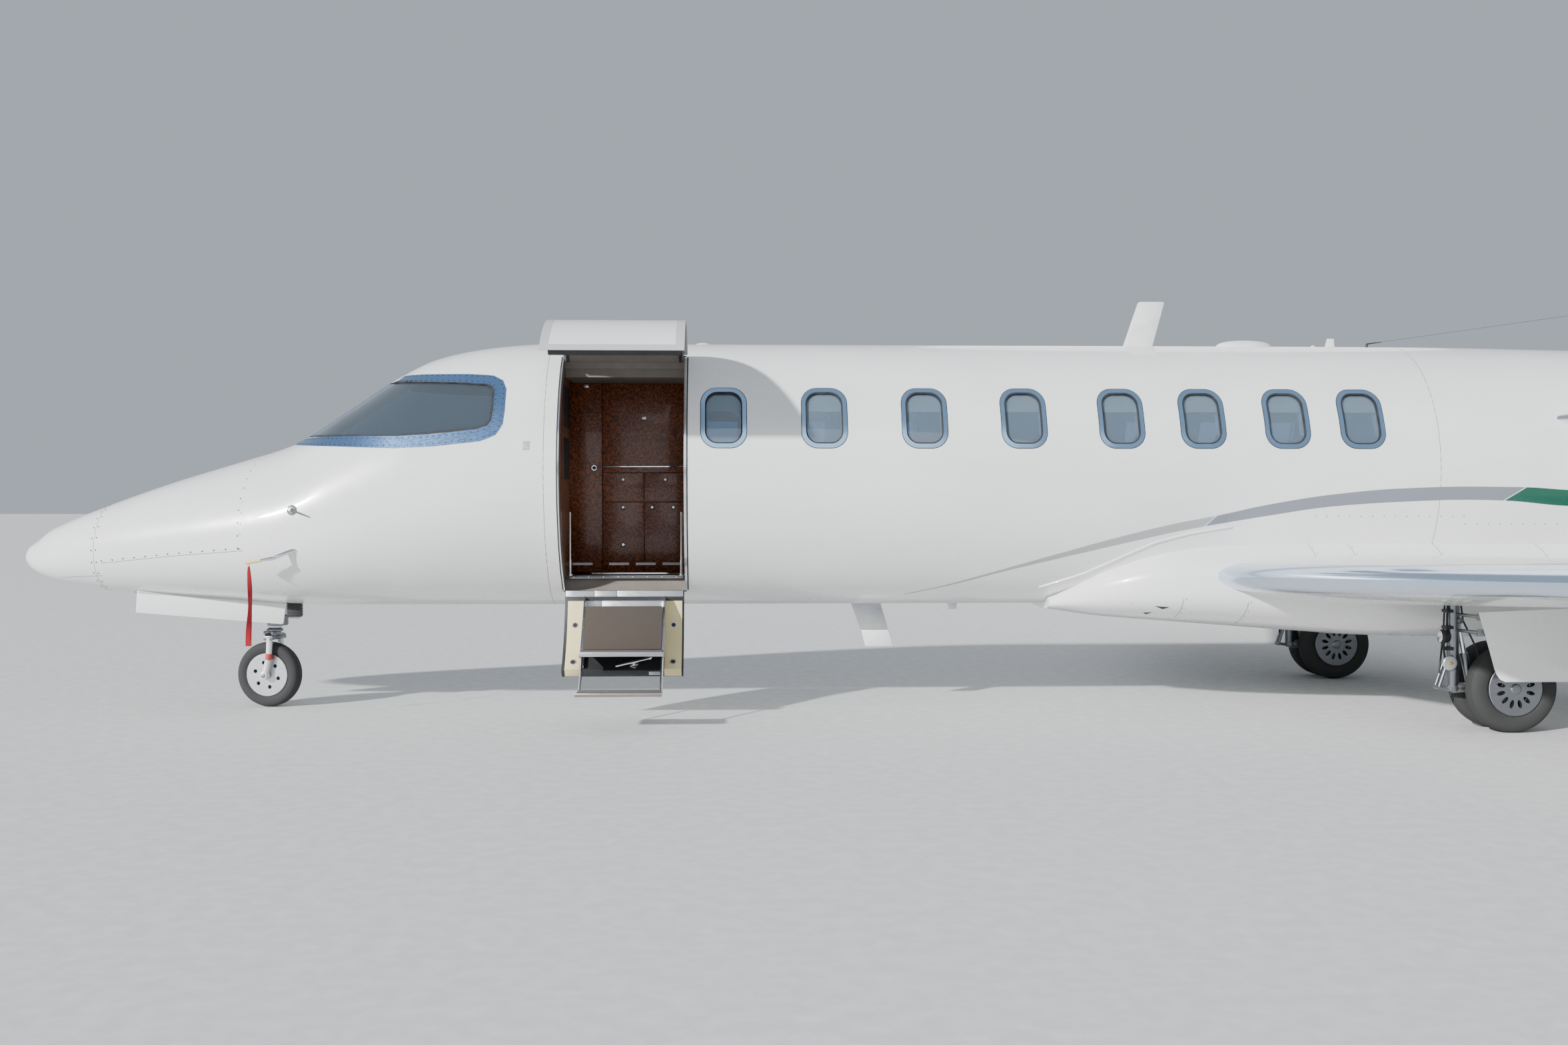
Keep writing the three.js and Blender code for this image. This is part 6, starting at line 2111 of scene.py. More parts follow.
@dataclass
class Tail:
    """Fin, tail plane and the bullet where they meet, with rudder and elevators."""

    craft: Aircraft
    fin_foot: float = 2.25
    fin_top: float = 4.125
    stab_z: float = 4.204
    half_span: float = 2.5
    rudder: Pair = (2.560, 3.960)
    elevator: Pair = (0.130, 2.380)

    def fin_edges(self, z: float) -> Pair:
        """Leading edge and chord at a height."""
        t = (z - self.fin_foot) / (self.fin_top - self.fin_foot)
        leading = mix(13.16, 15.20, t)
        return leading, mix(15.70, 16.95, t) - leading

    def fin(self) -> None:
        """Fin with the rudder's cove."""
        side = Vector((0, 1, 0))
        rings = []
        for z in spread(2.16, self.fin_top, 12):
            leading, chord = self.fin_edges(z)
            rings.append(TAIL_FOIL.ring(Vector((x_at(leading), 0, z)), chord, side, FIN_THICK))
        piece = TAIL_FOIL.loft(rings, 6).rough("fin_skin")
        ends = []
        for z in self.rudder:
            leading, chord = self.fin_edges(z)
            point = Vector((x_at(leading + 0.7 * chord), 0, z))
            ends.append((point, NOSE_SHARE * FIN_THICK * chord, x_at(leading + chord)))
        hinge_cut(piece, *ends, side)
        finished(piece, [WHITE, POLISHED], "airframe", ["fin"], sharp=28)
        smooth_node("rudder", "rudder_panel")

    def plane(self, y: float) -> Pair:
        """Leading edge and chord of the tail plane."""
        t = abs(y) / self.half_span
        leading = mix(15.33, 16.64, t)
        return leading, mix(17.02, LENGTH, t) - leading

    def stabiliser(self) -> None:
        """Tail plane with the elevators' coves, and the bullet."""
        up = Vector((0, 0, 1))
        rings = []
        for y in (-2.5, -2.495, -2.47, -1.6, -0.8, 0.0, 0.8, 1.6, 2.47, 2.495, 2.5):
            leading, chord = self.plane(y)
            thin = {2.5: 0.35, 2.495: 0.8}.get(abs(y), 1.0)
            rings.append(TAIL_FOIL.ring(Vector((x_at(leading), y, self.stab_z)), chord, up, thin))
        piece = TAIL_FOIL.loft(rings, 6).rough("stabiliser_skin")
        for side in Side:
            ends = []
            for y in self.elevator:
                leading, chord = self.plane(y)
                point = Vector((x_at(leading + 0.66 * chord), side.value * y, self.stab_z))
                ends.append((point, NOSE_SHARE * chord, x_at(leading + chord)))
            hinge_cut(piece, *ends, up)
            smooth_node(f"elevator_{side.word}", f"elevator_panel_{side.word}")
        finished(piece, [WHITE, POLISHED], "airframe", ["stabiliser"], sharp=28)
        shape = RootCurve([(0.0, 0.0), (0.06, 0.042), (0.26, 0.084), (0.62, 0.0955), (1.5, 0.0955),
                           (1.9, 0.060), (2.08, 0.004)])
        profile = [(a, shape(a)) for a in [2.08 * (i / 40) ** 1.6 for i in range(41)]]
        bullet = Mould().turned(profile, (x_at(15.14), 0, self.stab_z), (1, 0, 0))
        bullet.cast("tail_bullet", [WHITE], slot="white_paint")

    def build(self) -> None:
        """Makes the tail."""
        self.fin()
        self.stabiliser()


# Engines


@dataclass
class Engines:
    """Nacelle, fan, core and pylon on each side."""

    craft: Aircraft
    front: float = 10.720
    y: float = 1.440
    z: float = 1.985
    fan_at: float = 0.330
    fan_radius: float = 0.352
    duct: float = 0.366
    length: float = 2.600
    blades: int = 16
    # Shares of the blade's chord along and across it
    blade_section: tuple[Pair, ...] = (
        (-0.5, 0.0), (-0.3, 0.055), (0.0, 0.075), (0.3, 0.05), (0.5, 0.0), (0.3, -0.02), (0.0, -0.035),
        (-0.3, -0.03),
    )

    def cowl(self, side: Side) -> None:
        """Nacelle with a polished inlet lip and a heat-stained nozzle."""
        outer = SmoothCurve([(0.04, 0.446), (0.25, 0.492), (0.9, 0.522), (1.7, 0.496), (2.3, 0.402),
                             (2.6, 0.330)])
        inner = SmoothCurve([(0.02, 0.384), (0.12, 0.362), (0.33, self.duct), (1.5, self.duct), (2.3, 0.352),
                             (2.6, 0.312)])
        profile = [(0.012, 0.3905), (0.004, 0.399), (0.0, 0.409), (0.003, 0.420), (0.011, 0.4305),
                   (0.024, 0.4395)]
        profile += [(a, outer(a))
                    for a in [0.04, 0.07, 0.11, 0.139, 0.141, 0.18, 0.25] + spread(0.35, self.length, 26)]
        back = spread(self.length, 0.40, 24) + [0.33, 0.25, 0.18, 0.141, 0.139, 0.09, 0.05, 0.02]
        profile += [(a, inner(a)) for a in back]
        place = (x_at(self.front), side.value * self.y, self.z)
        wall = Mould().turned(profile, place, (1, 0, 0), hollow=True, sides=96)
        piece = wall.rough(f"nacelle_skin_{side.word}")

        def chooser(centre: Vector, normal: Vector) -> int:
            """Inlet lip, nozzle, duct or skin."""
            along = centre.x - x_at(self.front)
            radius = math.hypot(centre.y - place[1], centre.z - self.z)
            if along < 0.14:
                return 1
            if along > 2.30:
                return 2
            return 3 if radius < 0.375 else 0

        tinted(piece, chooser)
        finished(piece, [WHITE, POLISHED, HOT, SATIN], "airframe", [f"nacelle_{side.word}"])
        rings = Mould()
        for along in (0.62, 1.62):
            low, high = outer(along) - 0.002, outer(along) + 0.0006
            line = [(along - 0.0015, low), (along - 0.0015, high), (along + 0.0015, high),
                    (along + 0.0015, low)]
            rings.turned(line, place, (1, 0, 0), hollow=True, sides=96)
        rings.cast(f"nacelle_seams_{side.word}", [GAP])

    def fan(self, side: Side) -> None:
        """Twisted blades round a spinner."""
        rings = []
        for t in spread(0.0, 1.0, 7):
            radius, chord = mix(0.100, self.fan_radius, t), mix(0.062, 0.092, t)
            stagger = math.radians(mix(28, 62, t))
            cos, sin = math.cos(stagger), math.sin(stagger)
            ring = []
            for share, thick in self.blade_section:
                along, across = share * chord, thick * chord * mix(1.3, 0.7, t)
                ring.append(Vector((along * cos - across * sin, along * sin + across * cos, radius)))
            rings.append(ring)
        blade = smoothed(Mould().loft(rings).rough(f"fan_blades_{side.word}"))
        self.craft.repeats.around(blade, self.blades, (1, 0, 0), TITANIUM)
        place = Vector((x_at(self.front + self.fan_at), side.value * self.y, self.z))
        blade.data.transform(Matrix.Translation(place + Vector((0.045, 0, 0))))
        finished(blade, [TITANIUM], f"fan_rotor_{side.word}", [f"fan_{side.word}"], sharp=50)
        cone = RootCurve([(0.0, 0.0), (0.02, 0.027), (0.06, 0.058), (0.17, 0.110), (0.26, 0.112)])
        profile = [(a - 0.170, cone(a)) for a in [0.26 * (i / 24) ** 1.7 for i in range(25)]] + [(0.09, 0.0)]
        nose = Mould().turned(profile, place, (1, 0, 0))
        nose.cast(f"spinner_{side.word}", [SATIN], f"fan_rotor_{side.word}", slot="fan_metal")
        line = [(-0.128, 0.047), (-0.127, 0.0485), (-0.112, 0.0605), (-0.113, 0.059)]
        mark = Mould().turned(line, place, (1, 0, 0), hollow=True)
        mark.cast(f"spinner_ring_{side.word}", [WHITE], f"fan_rotor_{side.word}")

    def core(self, side: Side) -> None:
        """Plain core with stator vanes ahead and an exhaust cone behind."""
        place = (x_at(self.front), side.value * self.y, self.z)
        profile = [(0.4206, 0), (0.4206, 0.045), (0.48, 0.045), (0.50, 0.10), (0.52, self.duct - 0.0006),
                   (1.5, self.duct - 0.0006), (2.0, 0.335), (2.24, 0.330), (2.25, 0.318), (2.12, 0.20),
                   (2.30, 0.195), (2.45, 0.15), (2.62, 0.085), (2.72, 0.0)]
        piece = Mould().turned(profile, place, (1, 0, 0), sides=72).rough(f"core_{side.word}_skin")
        tinted(piece, lambda centre, normal: 0 if centre.x < x_at(self.front + 1.9) else 1)
        finished(piece, [BLACK, HOT], "airframe", [f"engine_core_{side.word}"], sharp=30)
        one = Mould().block((-0.02, -0.003, 0.10), (0.02, 0.003, self.duct - 0.002))
        vane = one.rough(f"stator_vanes_{side.word}")
        self.craft.repeats.around(vane, 28, (1, 0, 0), TITANIUM)
        vane.data.transform(Matrix.Translation(Vector(place) + Vector((0.465, 0, 0))))
        finished(vane, [TITANIUM], "airframe")

    def pylon(self, side: Side) -> None:
        """Pylon from the hull into the nacelle's wall."""
        rings = []
        for t in spread(0.0, 1.0, 6):
            out, leading, end = mix(0.56, 1.05, t), mix(10.34, 10.75, t), mix(13.05, 13.01, t)
            place = Vector((x_at(leading), side.value * out, self.z + 0.025))
            rings.append(TAIL_FOIL.ring(place, end - leading, Vector((0, 0, 1)), 0.75))
        TAIL_FOIL.loft(rings, 5).cast(f"pylon_skin_{side.word}", [WHITE, POLISHED],
                                      replaces=[f"pylon_{side.word}"], slot="white_paint", sharp=28)

    def build(self) -> None:
        """Makes both engines."""
        for side in Side:
            self.cowl(side)
            self.fan(side)
            self.core(side)
            self.pylon(side)


# Landing gear


@dataclass(frozen=True)
class Wheel:
    """Sizes of a tyre and its rim."""

    radius: float
    width: float
    rim: float
    grooves: tuple[float, ...]
    holes: int
    hole_at: float
    hole: Pair

    def tyre(self, centre: Vector, axis: Vector) -> Mould:
        """Tyre with round shoulders and grooves round its tread."""
        w, h = self.width / 2, self.radius - self.rim
        wall = [(0.72, 0.0), (0.80, 0.05), (0.93, 0.20), (1.0, 0.42), (0.985, 0.58), (0.93, 0.72),
                (0.84, 0.84), (0.70, 0.92)]
        side = [(-w * a, self.rim + h * b) for a, b in wall]
        crown = SmoothCurve([(0.0, self.radius), (0.3, self.radius - 0.005 * h),
                             (0.52, self.rim + 0.965 * h)])
        line = []
        for share in spread(-0.52, 0.52, 9):
            if all(abs(w * share - place) > 0.006 for place in self.grooves):
                line.append((w * share, crown(abs(share))))
        for place in self.grooves:
            r = crown(abs(place) / w)
            line += [(place - 0.0035, r), (place - 0.0025, r - 0.006), (place + 0.0025, r - 0.006),
                     (place + 0.0035, r)]
        profile = side + sorted(line) + [(-a, b) for a, b in reversed(side)]
        return Mould().turned(profile, centre, axis, hollow=True, sides=112)

    def disc(self, name: str, centre: Vector, axis: Vector, outward: int) -> bpy.types.Object:
        """Rim with holes through its web, dished on the outward side."""
        w, rim = self.width / 2 - 0.004, self.rim
        face = outward * w
        # Columns: depth behind the outward face, radius
        dish = [(0.0, rim), (0.004, rim + 0.003), (0.012, rim - 0.004), (0.016, rim - 0.020),
                (0.026, rim - 0.030), (0.030, 0.062), (0.020, 0.052), (0.008, 0.048), (0.006, 0.0)]
        back = [(-0.012, 0.0), (-0.012, rim - 0.022), (0.0, rim - 0.004), (0.0, rim)]
        profile = [(face - outward * depth, r) for depth, r in dish]
        profile += [(-face - outward * depth, r) for depth, r in back]
        piece = Mould().turned(profile, centre, axis, sides=96).rough(name)
        cutters = Mould()
        ahead = axis.normalized()
        side = ahead.orthogonal().normalized()
        for i in range(self.holes):
            out = Matrix.Rotation(2 * math.pi * i / self.holes, 3, ahead) @ side
            round_way = ahead.cross(out)
            place = centre + out * self.hole_at + ahead * face * 1.3
            high, wide = out * self.hole[0], round_way * self.hole[1]
            oval = [place + high * math.cos(t) + wide * math.sin(t) for t in turns(28)]
            cutters.prism(oval, ahead * face * -1.15)
        return carved(piece, cutters)


NOSE_WHEEL = Wheel(0.2285, 0.112, 0.150, (-0.018, 0.018), 6, 0.088, (0.014, 0.014))
MAIN_WHEEL = Wheel(0.2795, 0.142, 0.169, (-0.036, -0.012, 0.012, 0.036), 12, 0.098, (0.027, 0.013))


@dataclass
class NoseGear:
    """Strut, steered fork, wheel and the two open doors."""

    craft: Aircraft
    station: float = 1.715
    trail: float = -0.038
    turned: float = 11.0
    door_outline: tuple[Pair, ...] = (
        (0.829, 0.684), (0.839, 0.828), (0.846, 0.835), (1.849, 0.753), (1.857, 0.745), (1.835, 0.607),
        (1.826, 0.600),
    )

    def strut(self) -> None:
        """Fixed strut with its steering collar and drag brace."""
        x = x_at(self.station)
        mould = Mould().tube([(x, 0, 0.62), (x, 0, 1.049)], 0.046, sides=32)
        mould.tube([(x, 0, z) for z in (0.56, 0.60, 0.62, 0.64)], [0.050, 0.052, 0.052, 0.046], sides=32)
        mould.tube([(x, 0, 0.660), (x - 0.42, 0, 1.022)], 0.019)
        mould.tube([(x, -0.14, 1.0), (x, 0.14, 1.0)], 0.026)
        mould.block((x - 0.48, -0.06, 1.03), (x - 0.38, 0.06, 1.0497))
        mould.cast("nose_strut_skin", [GEAR_WHITE], replaces=["nose_gear_strut"], slot="gear_enamel",
                   bevel=0.002)
        barrel = [(0.575, 0.0), (0.575, 0.068), (0.582, 0.073), (0.640, 0.073), (0.648, 0.066), (0.648, 0.0)]
        unit = Mould().turned(barrel, (x + 0.02, 0, 0), (0, 0, 1))
        lines = Mould()
        for way in (-1, 1):
            unit.tube([(x + 0.02, way * 0.060, 0.612), (x + 0.02, way * 0.105, 0.612)], 0.018)
            line = ((0.02, 0.052, 0.64), (0.05, 0.0572, 0.72), (0.045, 0.052, 0.86), (0.02, 0.052, 1.0))
            lines.tube([(x + dx, way * dy, z) for dx, dy, z in line], 0.005, sides=10)
        unit.cast("steering_unit", [STEEL], slot="gear_enamel", bevel=0.002)
        lines.cast("nose_gear_lines", [BLACK], slot="dark_panel")

    def fork(self) -> None:
        """Steered fork with red bands on its legs, and the wheel."""
        steered = Matrix.Rotation(-math.radians(self.turned), 4, "Z")
        turn = Matrix.Translation((x_at(self.station), 0, 0)) @ steered
        radius = NOSE_WHEEL.radius
        crown = Mould().turned([(0.482, 0.0), (0.482, 0.050), (0.490, 0.060), (0.500, 0.060), (0.505, 0.044),
                                (0.530, 0.042), (0.535, 0.058), (0.549, 0.058), (0.553, 0.044),
                                (0.5593, 0.042), (0.5593, 0.0)], (0, 0, 0), (0, 0, 1))
        arch = [(-0.034, -0.106, 0.474), (0.034, -0.106, 0.474), (0.036, -0.070, 0.508),
                (0.036, 0.070, 0.508)]
        arch += [(-x, -y, z) for x, y, z in arch]
        crown.prism(arch, (0, 0, 0.014))
        crown.block((-0.034, -0.106, 0.478), (0.034, 0.106, 0.506))
        crown.block((-0.082, -0.012, 0.508), (-0.035, 0.012, 0.532))
        legs, bands, bosses, caps = Mould(), Mould(), Mould(), Mould()
        for y in (-0.086, 0.086):
            top, foot = Vector((0, y, 0.492)), Vector((self.trail, y, radius))
            line = [top.lerp(foot, t) + Vector((0.012, 0, 0)) * math.sin(math.pi * t)
                    for t in spread(0.0, 1.0, 13)]
            legs.tube(line, [0.024] + [0.0205] * 10 + [0.023, 0.027], sides=28)
            bands.tube(line[5:8], 0.0211, sides=28)
            out = Vector((0, math.copysign(1.0, y), 0))
            bosses.tube([foot - out * 0.024, foot + out * 0.022], [0.030, 0.026], sides=28)
            caps.tube([foot + out * 0.010, foot + out * 0.026], 0.0165, sides=28)
        crown.moved(turn).cast("fork_crown", [STEEL], "steering", slot="gear_enamel", bevel=0.003)
        legs.merge(bosses).moved(turn).cast("nose_fork_skin", [GEAR_WHITE], "steering", ["nose_fork"],
                                            "gear_enamel", bevel=0.002)
        bands.moved(turn).cast("fork_bands", [WARNING_RED], "steering")
        caps.moved(turn).cast("fork_axle", [STEEL], "steering", slot="bare_metal", bevel=0.001)
        centre = turn @ Vector((self.trail, 0, radius))
        axis = turn.to_3x3() @ Vector((0, 1, 0))
        NOSE_WHEEL.tyre(centre, axis).cast("nose_tyre_skin", [TYRE], "nose_wheel", ["nose_tyre"],
                                           "tyre_rubber", sharp=40)
        rim = NOSE_WHEEL.disc("nose_rim_skin", centre, axis, -1)
        tinted(rim, lambda c, n: 0 if (c - centre - axis * (c - centre).dot(axis)).length > 0.126 else 1)
        finished(rim, [POLISHED, SATIN], "nose_wheel", ["nose_rim"], sharp=32)

    def doors(self) -> None:
        """Doors open beside the bay, with strips and brackets, and a ribbed box behind the port one."""
        case = Mould().box((1.862, 1.955), (-0.226, -0.170), (0.650, 0.752))
        for z in spread(0.662, 0.740, 5):
            case.box((1.859, 1.958), (-0.227, -0.169), (z, z + 0.008))
        case.cast("nose_bay_box", [BLACK], slot="dark_panel", bevel=0.002)
        for side in Side:
            y = side.value
            plate = Mould().plate(self.door_outline, y * 0.226, -y * 0.012)
            plate.cast(f"nose_door_{side.word}", [WHITE], replaces=[f"nose_gear_door_{side.word}"],
                       slot="white_paint", bevel=0.003)
            line = ((0.850, 0.816), (0.850, 0.846), (1.85, 0.778), (1.85, 0.742))
            strip = Mould().plate(line, y * 0.2275, -y * 0.0018)
            for s in (1.0, 1.30, 1.60):
                strip.box((s, s + 0.030), side.band(0.150, 0.2125), (0.735, 0.805))
            strip.cast(f"nose_door_strip_{side.word}", [BORDER_GREY], slot="gear_enamel", bevel=0.002)
            marks = Mould()
            for s in (1.035, 1.080):
                marks.box((s, s + 0.022), side.band(0.2270, 0.236), (0.822, 0.850))
            marks.cast(f"nose_door_brackets_{side.word}", [STEEL], slot="bare_metal", bevel=0.002)

    def build(self) -> None:
        """Makes the nose gear."""
        self.strut()
        self.fork()
        self.doors()


@dataclass
class MainGear:
    """Trailing-link leg, twin wheels and outboard door on each side."""

    craft: Aircraft
    station: float = 9.850
    y: float = 1.420
    post: float = 9.530
    twin: float = 0.115
    door_y: float = 1.673

    def leg(self, side: Side) -> None:
        """Post, trailing link, shock absorber, lines and lamp."""
        there = Matrix.Translation((x_at(self.post), side.value * self.y, 0))
        out = side.value
        wheel = (self.station - self.post, 0, MAIN_WHEEL.radius)
        door = self.door_y - self.y
        mould = Mould().tube([(0, 0, z) for z in (0.246, 0.262, 0.80, 0.8617)], [0.030, 0.036, 0.039, 0.044],
                             sides=36)
        mould.tube([(0, 0, 0.268), wheel], [0.034, 0.030], sides=28)
        for z in (0.640, 0.740):
            mould.tube([(0, 0, z), (0.06, out * (door - 0.008), z)], 0.011)
            low, high = side.band(door - 0.014, door - 0.0003)
            mould.block((0.035, low, z - 0.022), (0.085, high, z + 0.022))
        # Dark steel on the post and link: partly the leg's own dark finish, partly painted shade of the
        # wing's shadow.
        mould.moved(there).cast(f"leg_skin_{side.word}", [STEEL], replaces=[f"main_gear_leg_{side.word}"],
                                slot="gear_enamel", bevel=0.002)
        steel = Mould().tube([(0.112, 0, 0.292), (0.072, 0, 0.49)], 0.026, sides=28)
        for x, z in ((0, 0.268), (0.030, 0.700), (0.112, 0.290)):
            steel.tube([(x, -0.045, z), (x, 0.045, z)], 0.020, sides=24)
        hub = [(-0.038, 0.0305), (-0.038, 0.052), (-0.030, 0.056), (0.030, 0.056), (0.038, 0.052),
               (0.038, 0.0305)]
        steel.turned(hub, wheel, (0, 1, 0), hollow=True)
        steel.moved(there).cast(f"leg_joints_{side.word}", [STEEL], slot="bare_metal", bevel=0.002)
        rod = Mould().tube([(0.072, 0, 0.49), (0.030, 0, 0.700)], 0.017, sides=28)
        rod.moved(there).cast(f"shock_rod_{side.word}", [CHROME], slot="bare_metal")
        self.leg_lines(side, there)

    def leg_lines(self, side: Side, there: Matrix) -> None:
        """Hoses, lamp, knuckle and lower tubes of a leg.

        Args:
            side: the leg's side.
            there: takes them from the post's foot to their place.
        """
        out = side.value
        # Black hoses and clamps and dark steel tubes: partly their own colour, partly painted shade of the
        # wing's shadow.
        hose = Mould().tube([(0.035, out * 0.02, 0.85), (0.05, out * 0.03, 0.70), (0.14, out * 0.03, 0.52),
                             (0.17, out * 0.02, 0.40), (0.22, 0, 0.315)], 0.006, sides=12)
        hose.tube([(-0.045, -0.020, 0.80), (-0.052, -0.024, 0.66), (-0.070, -0.020, 0.53),
                   (-0.058, -0.020, 0.44)], 0.007, sides=12)
        hose.tube([(-0.045, 0.022, 0.80), (-0.050, 0.026, 0.62), (-0.062, 0.026, 0.50),
                   (-0.080, 0.018, 0.36)], 0.006, sides=12)
        for z in (0.520, 0.655, 0.760):
            hose.block((-0.058, -0.036, z - 0.010), (0.005, 0.036, z + 0.010))
        hose.moved(there).cast(f"brake_hose_{side.word}", [BLACK], slot="dark_panel")
        lamp, knuckle = (-0.03, 0, 0.596), (-0.040, 0, 0.430)
        shell_line = [(-0.055, 0.0), (-0.055, 0.040), (-0.040, 0.046), (0.0, 0.036), (0.012, 0.020),
                      (0.012, 0.0)]
        case = Mould().turned(shell_line, lamp, (1, 0, 0), sides=36)
        case.moved(there).cast(f"lamp_body_{side.word}", [BLACK], slot="bare_metal")
        disc = Mould().turned([(0.040, 0.0), (0.040, 0.046), (0.050, 0.048), (0.056, 0.042), (0.056, 0.0)],
                              knuckle, (0, out, 0), sides=36)
        disc.tube([knuckle, (-0.005, 0, 0.430)], 0.020)
        disc.moved(there).cast(f"knuckle_{side.word}", [SATIN], slot="gear_enamel", bevel=0.001)
        nut = Mould().turned([(0.054, 0.0), (0.054, 0.015), (0.066, 0.014), (0.066, 0.0)], knuckle,
                             (0, out, 0), sides=6)
        nut.block((-0.052, -0.036, 0.404), (-0.030, 0.036, 0.416))
        nut.moved(there).cast(f"knuckle_nut_{side.word}", [BRASS], bevel=0.001)
        tubes = Mould()
        for dy in (-0.026, 0.026):
            tubes.tube([(-0.052, dy, 0.418), (-0.100, dy, 0.275)], 0.010, sides=20)
        tubes.tube([(-0.100, -0.034, 0.272), (-0.100, 0.034, 0.272)], 0.014, sides=20)
        tubes.tube([(-0.100, 0, 0.272), (-0.010, 0, 0.262)], 0.012, sides=20)
        tubes.moved(there).cast(f"lower_tubes_{side.word}", [STEEL], slot="bare_metal")
        lens = Mould().turned([(-0.060, 0.0), (-0.059, 0.030), (-0.0545, 0.038), (-0.053, 0.0)], lamp,
                              (1, 0, 0), sides=36)
        lens.moved(there).cast(f"lamp_lens_{side.word}", [CHROME], slot="glass")

    def wheels(self, side: Side) -> None:
        """Two tyres on rims with holes, joined by their shaft."""
        body = f"main_wheels_{side.word}"
        axis = Vector((0, 1, 0))
        centre = Vector((x_at(self.station), side.value * self.y, MAIN_WHEEL.radius))
        for place, way in (("outer", side.value), ("inner", -side.value)):
            at = centre + axis * way * self.twin
            MAIN_WHEEL.tyre(at, axis).cast(f"tyre_{side.word}_{place}_skin", [TYRE], body,
                                           [f"main_tyre_{side.word}_{place}"], "tyre_rubber", sharp=40)
            rim = MAIN_WHEEL.disc(f"rim_{side.word}_{place}", at, axis, way)
            # The dish's dark steel is painted shade; the outer ring is satin.
            tinted(rim, lambda c, n: 0 if math.hypot(c.x - at.x, c.z - at.z) > 0.138 else 1)
            finished(rim, [SATIN, STEEL], body, [f"main_rims_{side.word}"] if place == "outer" else [],
                     sharp=32)
        caps = Mould()
        for way in (-1, 1):
            end = centre + axis * way * (self.twin + 0.062)
            caps.turned([(-0.012, 0), (-0.012, 0.036), (0.006, 0.034), (0.012, 0.026), (0.012, 0.0)], end,
                        axis * way, sides=36)
        caps.tube([centre - axis * self.twin, centre + axis * self.twin], 0.0295, sides=28)
        caps.cast(f"hub_caps_{side.word}", [STEEL], body, slot="bare_metal", bevel=0.001)

    def door(self, side: Side) -> None:
        """Outboard gear door with its rounded lower edge."""
        outline = [(9.566, 0.770), (9.630, 0.560), (9.672, 0.412), (9.684, 0.384), (9.704, 0.352),
                   (9.735, 0.335), (10.30, 0.334), (10.322, 0.342), (10.330, 0.364), (10.330, 0.800)]
        plate = Mould().plate(outline, side.value * (self.door_y + 0.018), -side.value * 0.018)
        plate.cast(f"gear_door_{side.word}", [WHITE], replaces=[f"main_gear_door_{side.word}"],
                   slot="white_paint", bevel=0.004)

    def build(self) -> None:
        """Makes both main legs."""
        for side in Side:
            self.leg(side)
            self.wheels(side)
            self.door(side)


# Aerials


@dataclass
class Aerials:
    """Blade aerials, low domes, drains and the wire aerial."""

    craft: Aircraft

    def blade(self, name: str, outline: Sequence[Pair], finish: Finish, replaces: Sequence[str] = (),
              thick: float = 0.022) -> None:
        """Flat blade on the centre line with rounded edges."""
        mould = Mould().plate(outline, -thick / 2, thick)
        mould.cast(name, [finish], replaces=replaces, slot="white_paint", bevel=thick * 0.32)

    def dome(self, name: str, start: float, end: float, half: float, height: float) -> None:
        """Low smooth cover on the crown."""
        rings = []
        for t in spread(0.0, math.pi, 15):
            station = mix(start, end, (1 - math.cos(t)) / 2)
            swell = max(math.sin(t), 0.03)
            top = self.craft.hull.row(station)[0]
            reach, rise = half * swell, (height + 0.03) * math.sqrt(swell)
            rings.append([Vector((x_at(station), reach * math.cos(a), top - 0.03 + rise * math.sin(a)))
                          for a in spread(0.0, math.pi, 17)])
        Mould().loft(rings).cast(name, [DOME], slot="white_paint", sharp=60)

    def build(self) -> None:
        """Makes all the aerials."""
        self.blade("top_blade",
                   [(7.761, 2.55), (7.872, 2.875), (7.886, 2.886), (8.055, 2.886), (8.064, 2.878),
                    (7.975, 2.55)], DOME, ["top_aerial"])
        grey = [(5.790, 0.74), (5.874, 0.526), (6.068, 0.526), (6.006, 0.74)]
        self.blade("belly_blade", grey, SATIN, ["belly_aerial"])
        self.blade("belly_blade_tip",
                   [(5.874, 0.526), (5.900, 0.415), (5.910, 0.407), (6.094, 0.407), (6.100, 0.415),
                    (6.068, 0.526)], DOME)
        self.blade("belly_fin", [(6.487, 0.74), (6.510, 0.673), (6.560, 0.673), (6.569, 0.74)], SATIN,
                   thick=0.010)
        self.dome("front_dome", 4.678, 4.801, 0.05, 0.014)
        self.dome("satellite_dome", 8.440, 8.856, 0.11, 0.046)
        self.dome("rear_dome", 9.136, 9.181, 0.02, 0.014)
        self.blade("small_top_fin", [(9.240, 2.55), (9.262, 2.626), (9.312, 2.626), (9.318, 2.55)], WHITE,
                   thick=0.008)
        wire = Mould().tube(placed([(9.560, 0, 2.590), (14.245, 0, 3.255)]), 0.0016, sides=8)
        wire.cast("wire_aerial", [STEEL], slot="bare_metal")
        ends = Mould().tube(placed([(9.555, 0, 2.55), (9.555, 0, 2.594)]), [0.012, 0.006])
        ends.tube(placed([(9.56, 0, 2.590), (9.66, 0, 2.6042)]), [0.005, 0.003])
        ends.tube(placed([(14.12, 0, 3.2372), (14.26, 0, 3.2571)]), [0.003, 0.005])
        ends.cast("wire_fittings", [BLACK], slot="dark_panel")


# Camera, light and floor


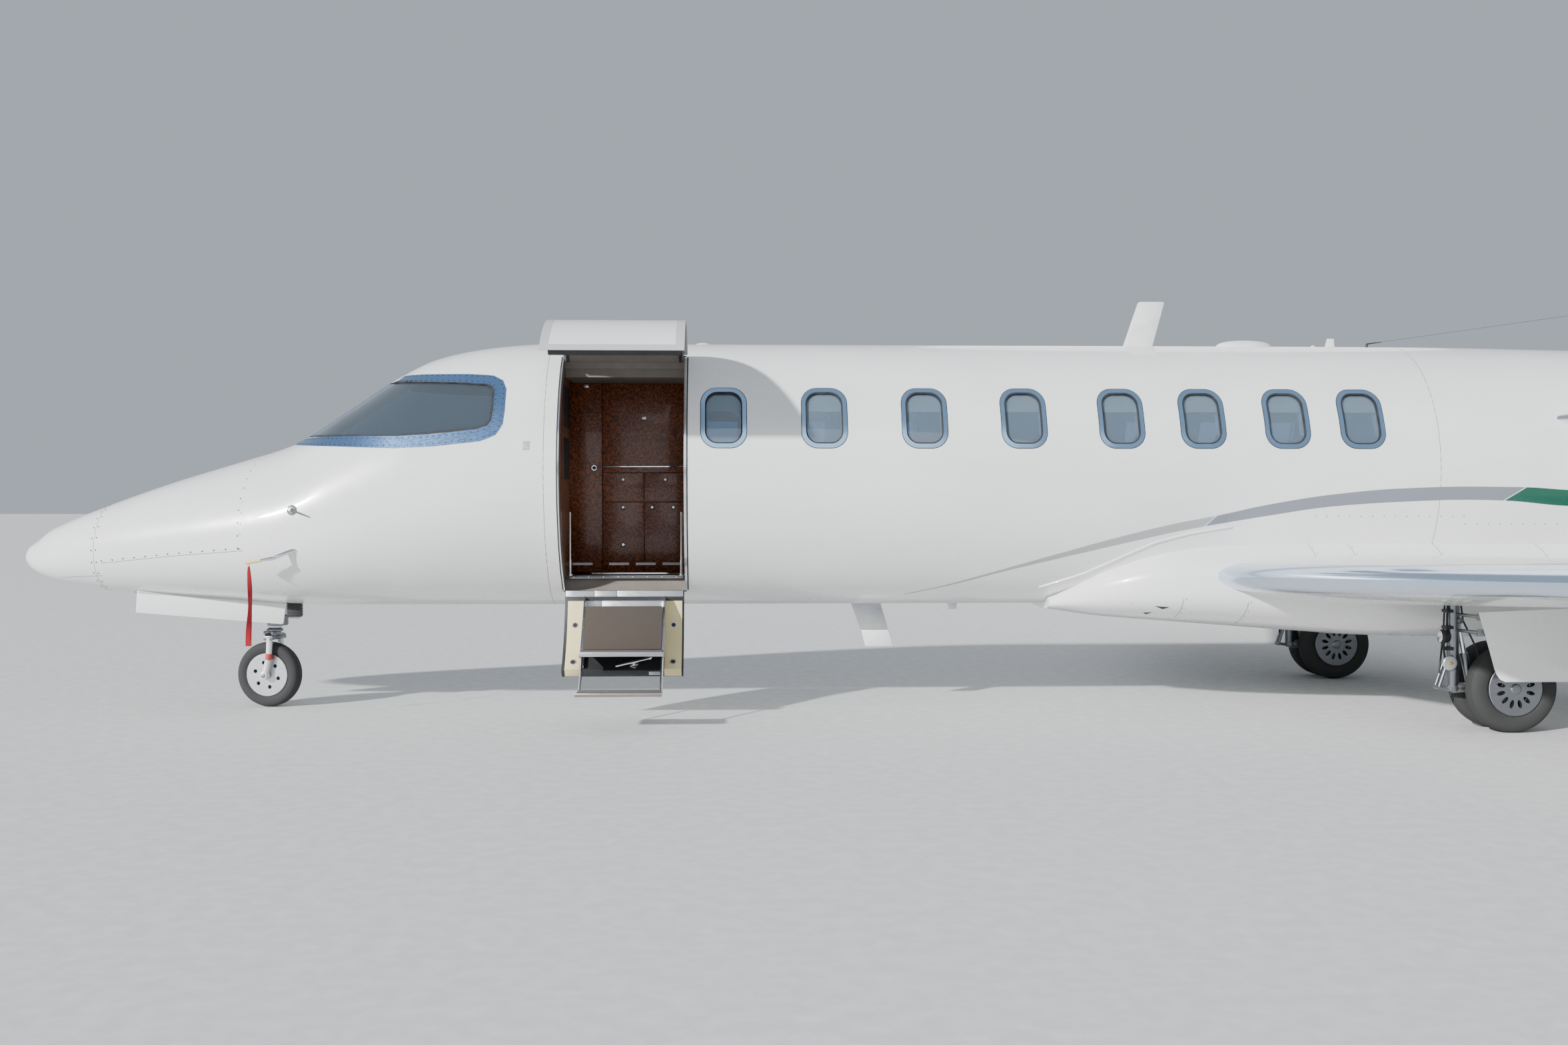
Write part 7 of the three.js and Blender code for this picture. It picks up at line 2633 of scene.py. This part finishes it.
@dataclass
class Studio:
    """Camera at the photograph's view, soft lights, pale floor and pale surroundings."""

    place: tuple[float, float, float] = (-3.95, -11.19, 1.531)
    tilt: float = 88.804
    pan: float = -2.5
    lens: float = 35.908
    sun: tuple[float, float, float] = (0.68, 0.62, -0.40)

    def camera(self) -> None:
        """Sets the camera."""
        data = bpy.data.cameras.new("view")
        data.lens = self.lens
        data.sensor_width = 36.0
        data.clip_end = 400.0
        camera = linked("view", data)
        camera.location = self.place
        camera.rotation_euler = (math.radians(self.tilt), 0.0, math.radians(self.pan))
        bpy.context.scene.camera = camera

    def lamp(self, name: str, kind: str, energy: float, aim: Sequence[float], place: Sequence[float],
             size: float) -> None:
        """Adds one lamp that shines along a direction."""
        data = bpy.data.lights.new(name, kind)
        data.energy = energy
        if kind == "SUN":
            data.angle = size
        else:
            data.shape = "DISK"
            data.size = size
        lamp = linked(name, data)
        lamp.location = place
        lamp.rotation_euler = Vector(aim).to_track_quat("-Z", "Y").to_euler()

    def build(self) -> None:
        """Makes the whole set."""
        self.camera()
        self.lamp("sun", "SUN", 6.6, self.sun, (-8, -8, 8), math.radians(2))
        self.lamp("softbox_side", "AREA", 180.0, (0.15, 1.0, -0.35), (-3, -14, 7), 9.0)
        self.lamp("softbox_rear", "AREA", 350.0, (-0.2, -1.0, -0.6), (4, 14, 9), 9.0)
        world = bpy.data.worlds.new("pale")
        bpy.context.scene.world = world
        world.use_nodes = True
        ground = world.node_tree.nodes["Background"]
        ground.inputs["Color"].default_value = (0.74, 0.82, 0.93, 1.0)
        ground.inputs["Strength"].default_value = 0.58
        floor = Mould().block((-90, -90, -0.05), (90, 90, -0.0005)).rough("floor")
        floor.data.materials.append(PALE_FLOOR.material())


def noted() -> None:
    """Updates the view layer."""
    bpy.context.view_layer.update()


def main() -> None:
    """Builds the scene."""
    logging.basicConfig(level=logging.INFO, format="%(name)s: %(message)s")
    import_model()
    noted()
    Studio().build()
    craft = Aircraft(HullForm(), Repeats())
    body = Fuselage(craft)
    for part in (body, Glazed(craft, body), SkinMarks(craft), EntryDoor(craft), Cabin(craft), Wings(craft),
                 Tail(craft), Engines(craft), NoseGear(craft), MainGear(craft), Aerials(craft)):
        part.build()
    noted()


if __name__ == "__main__":
    main()
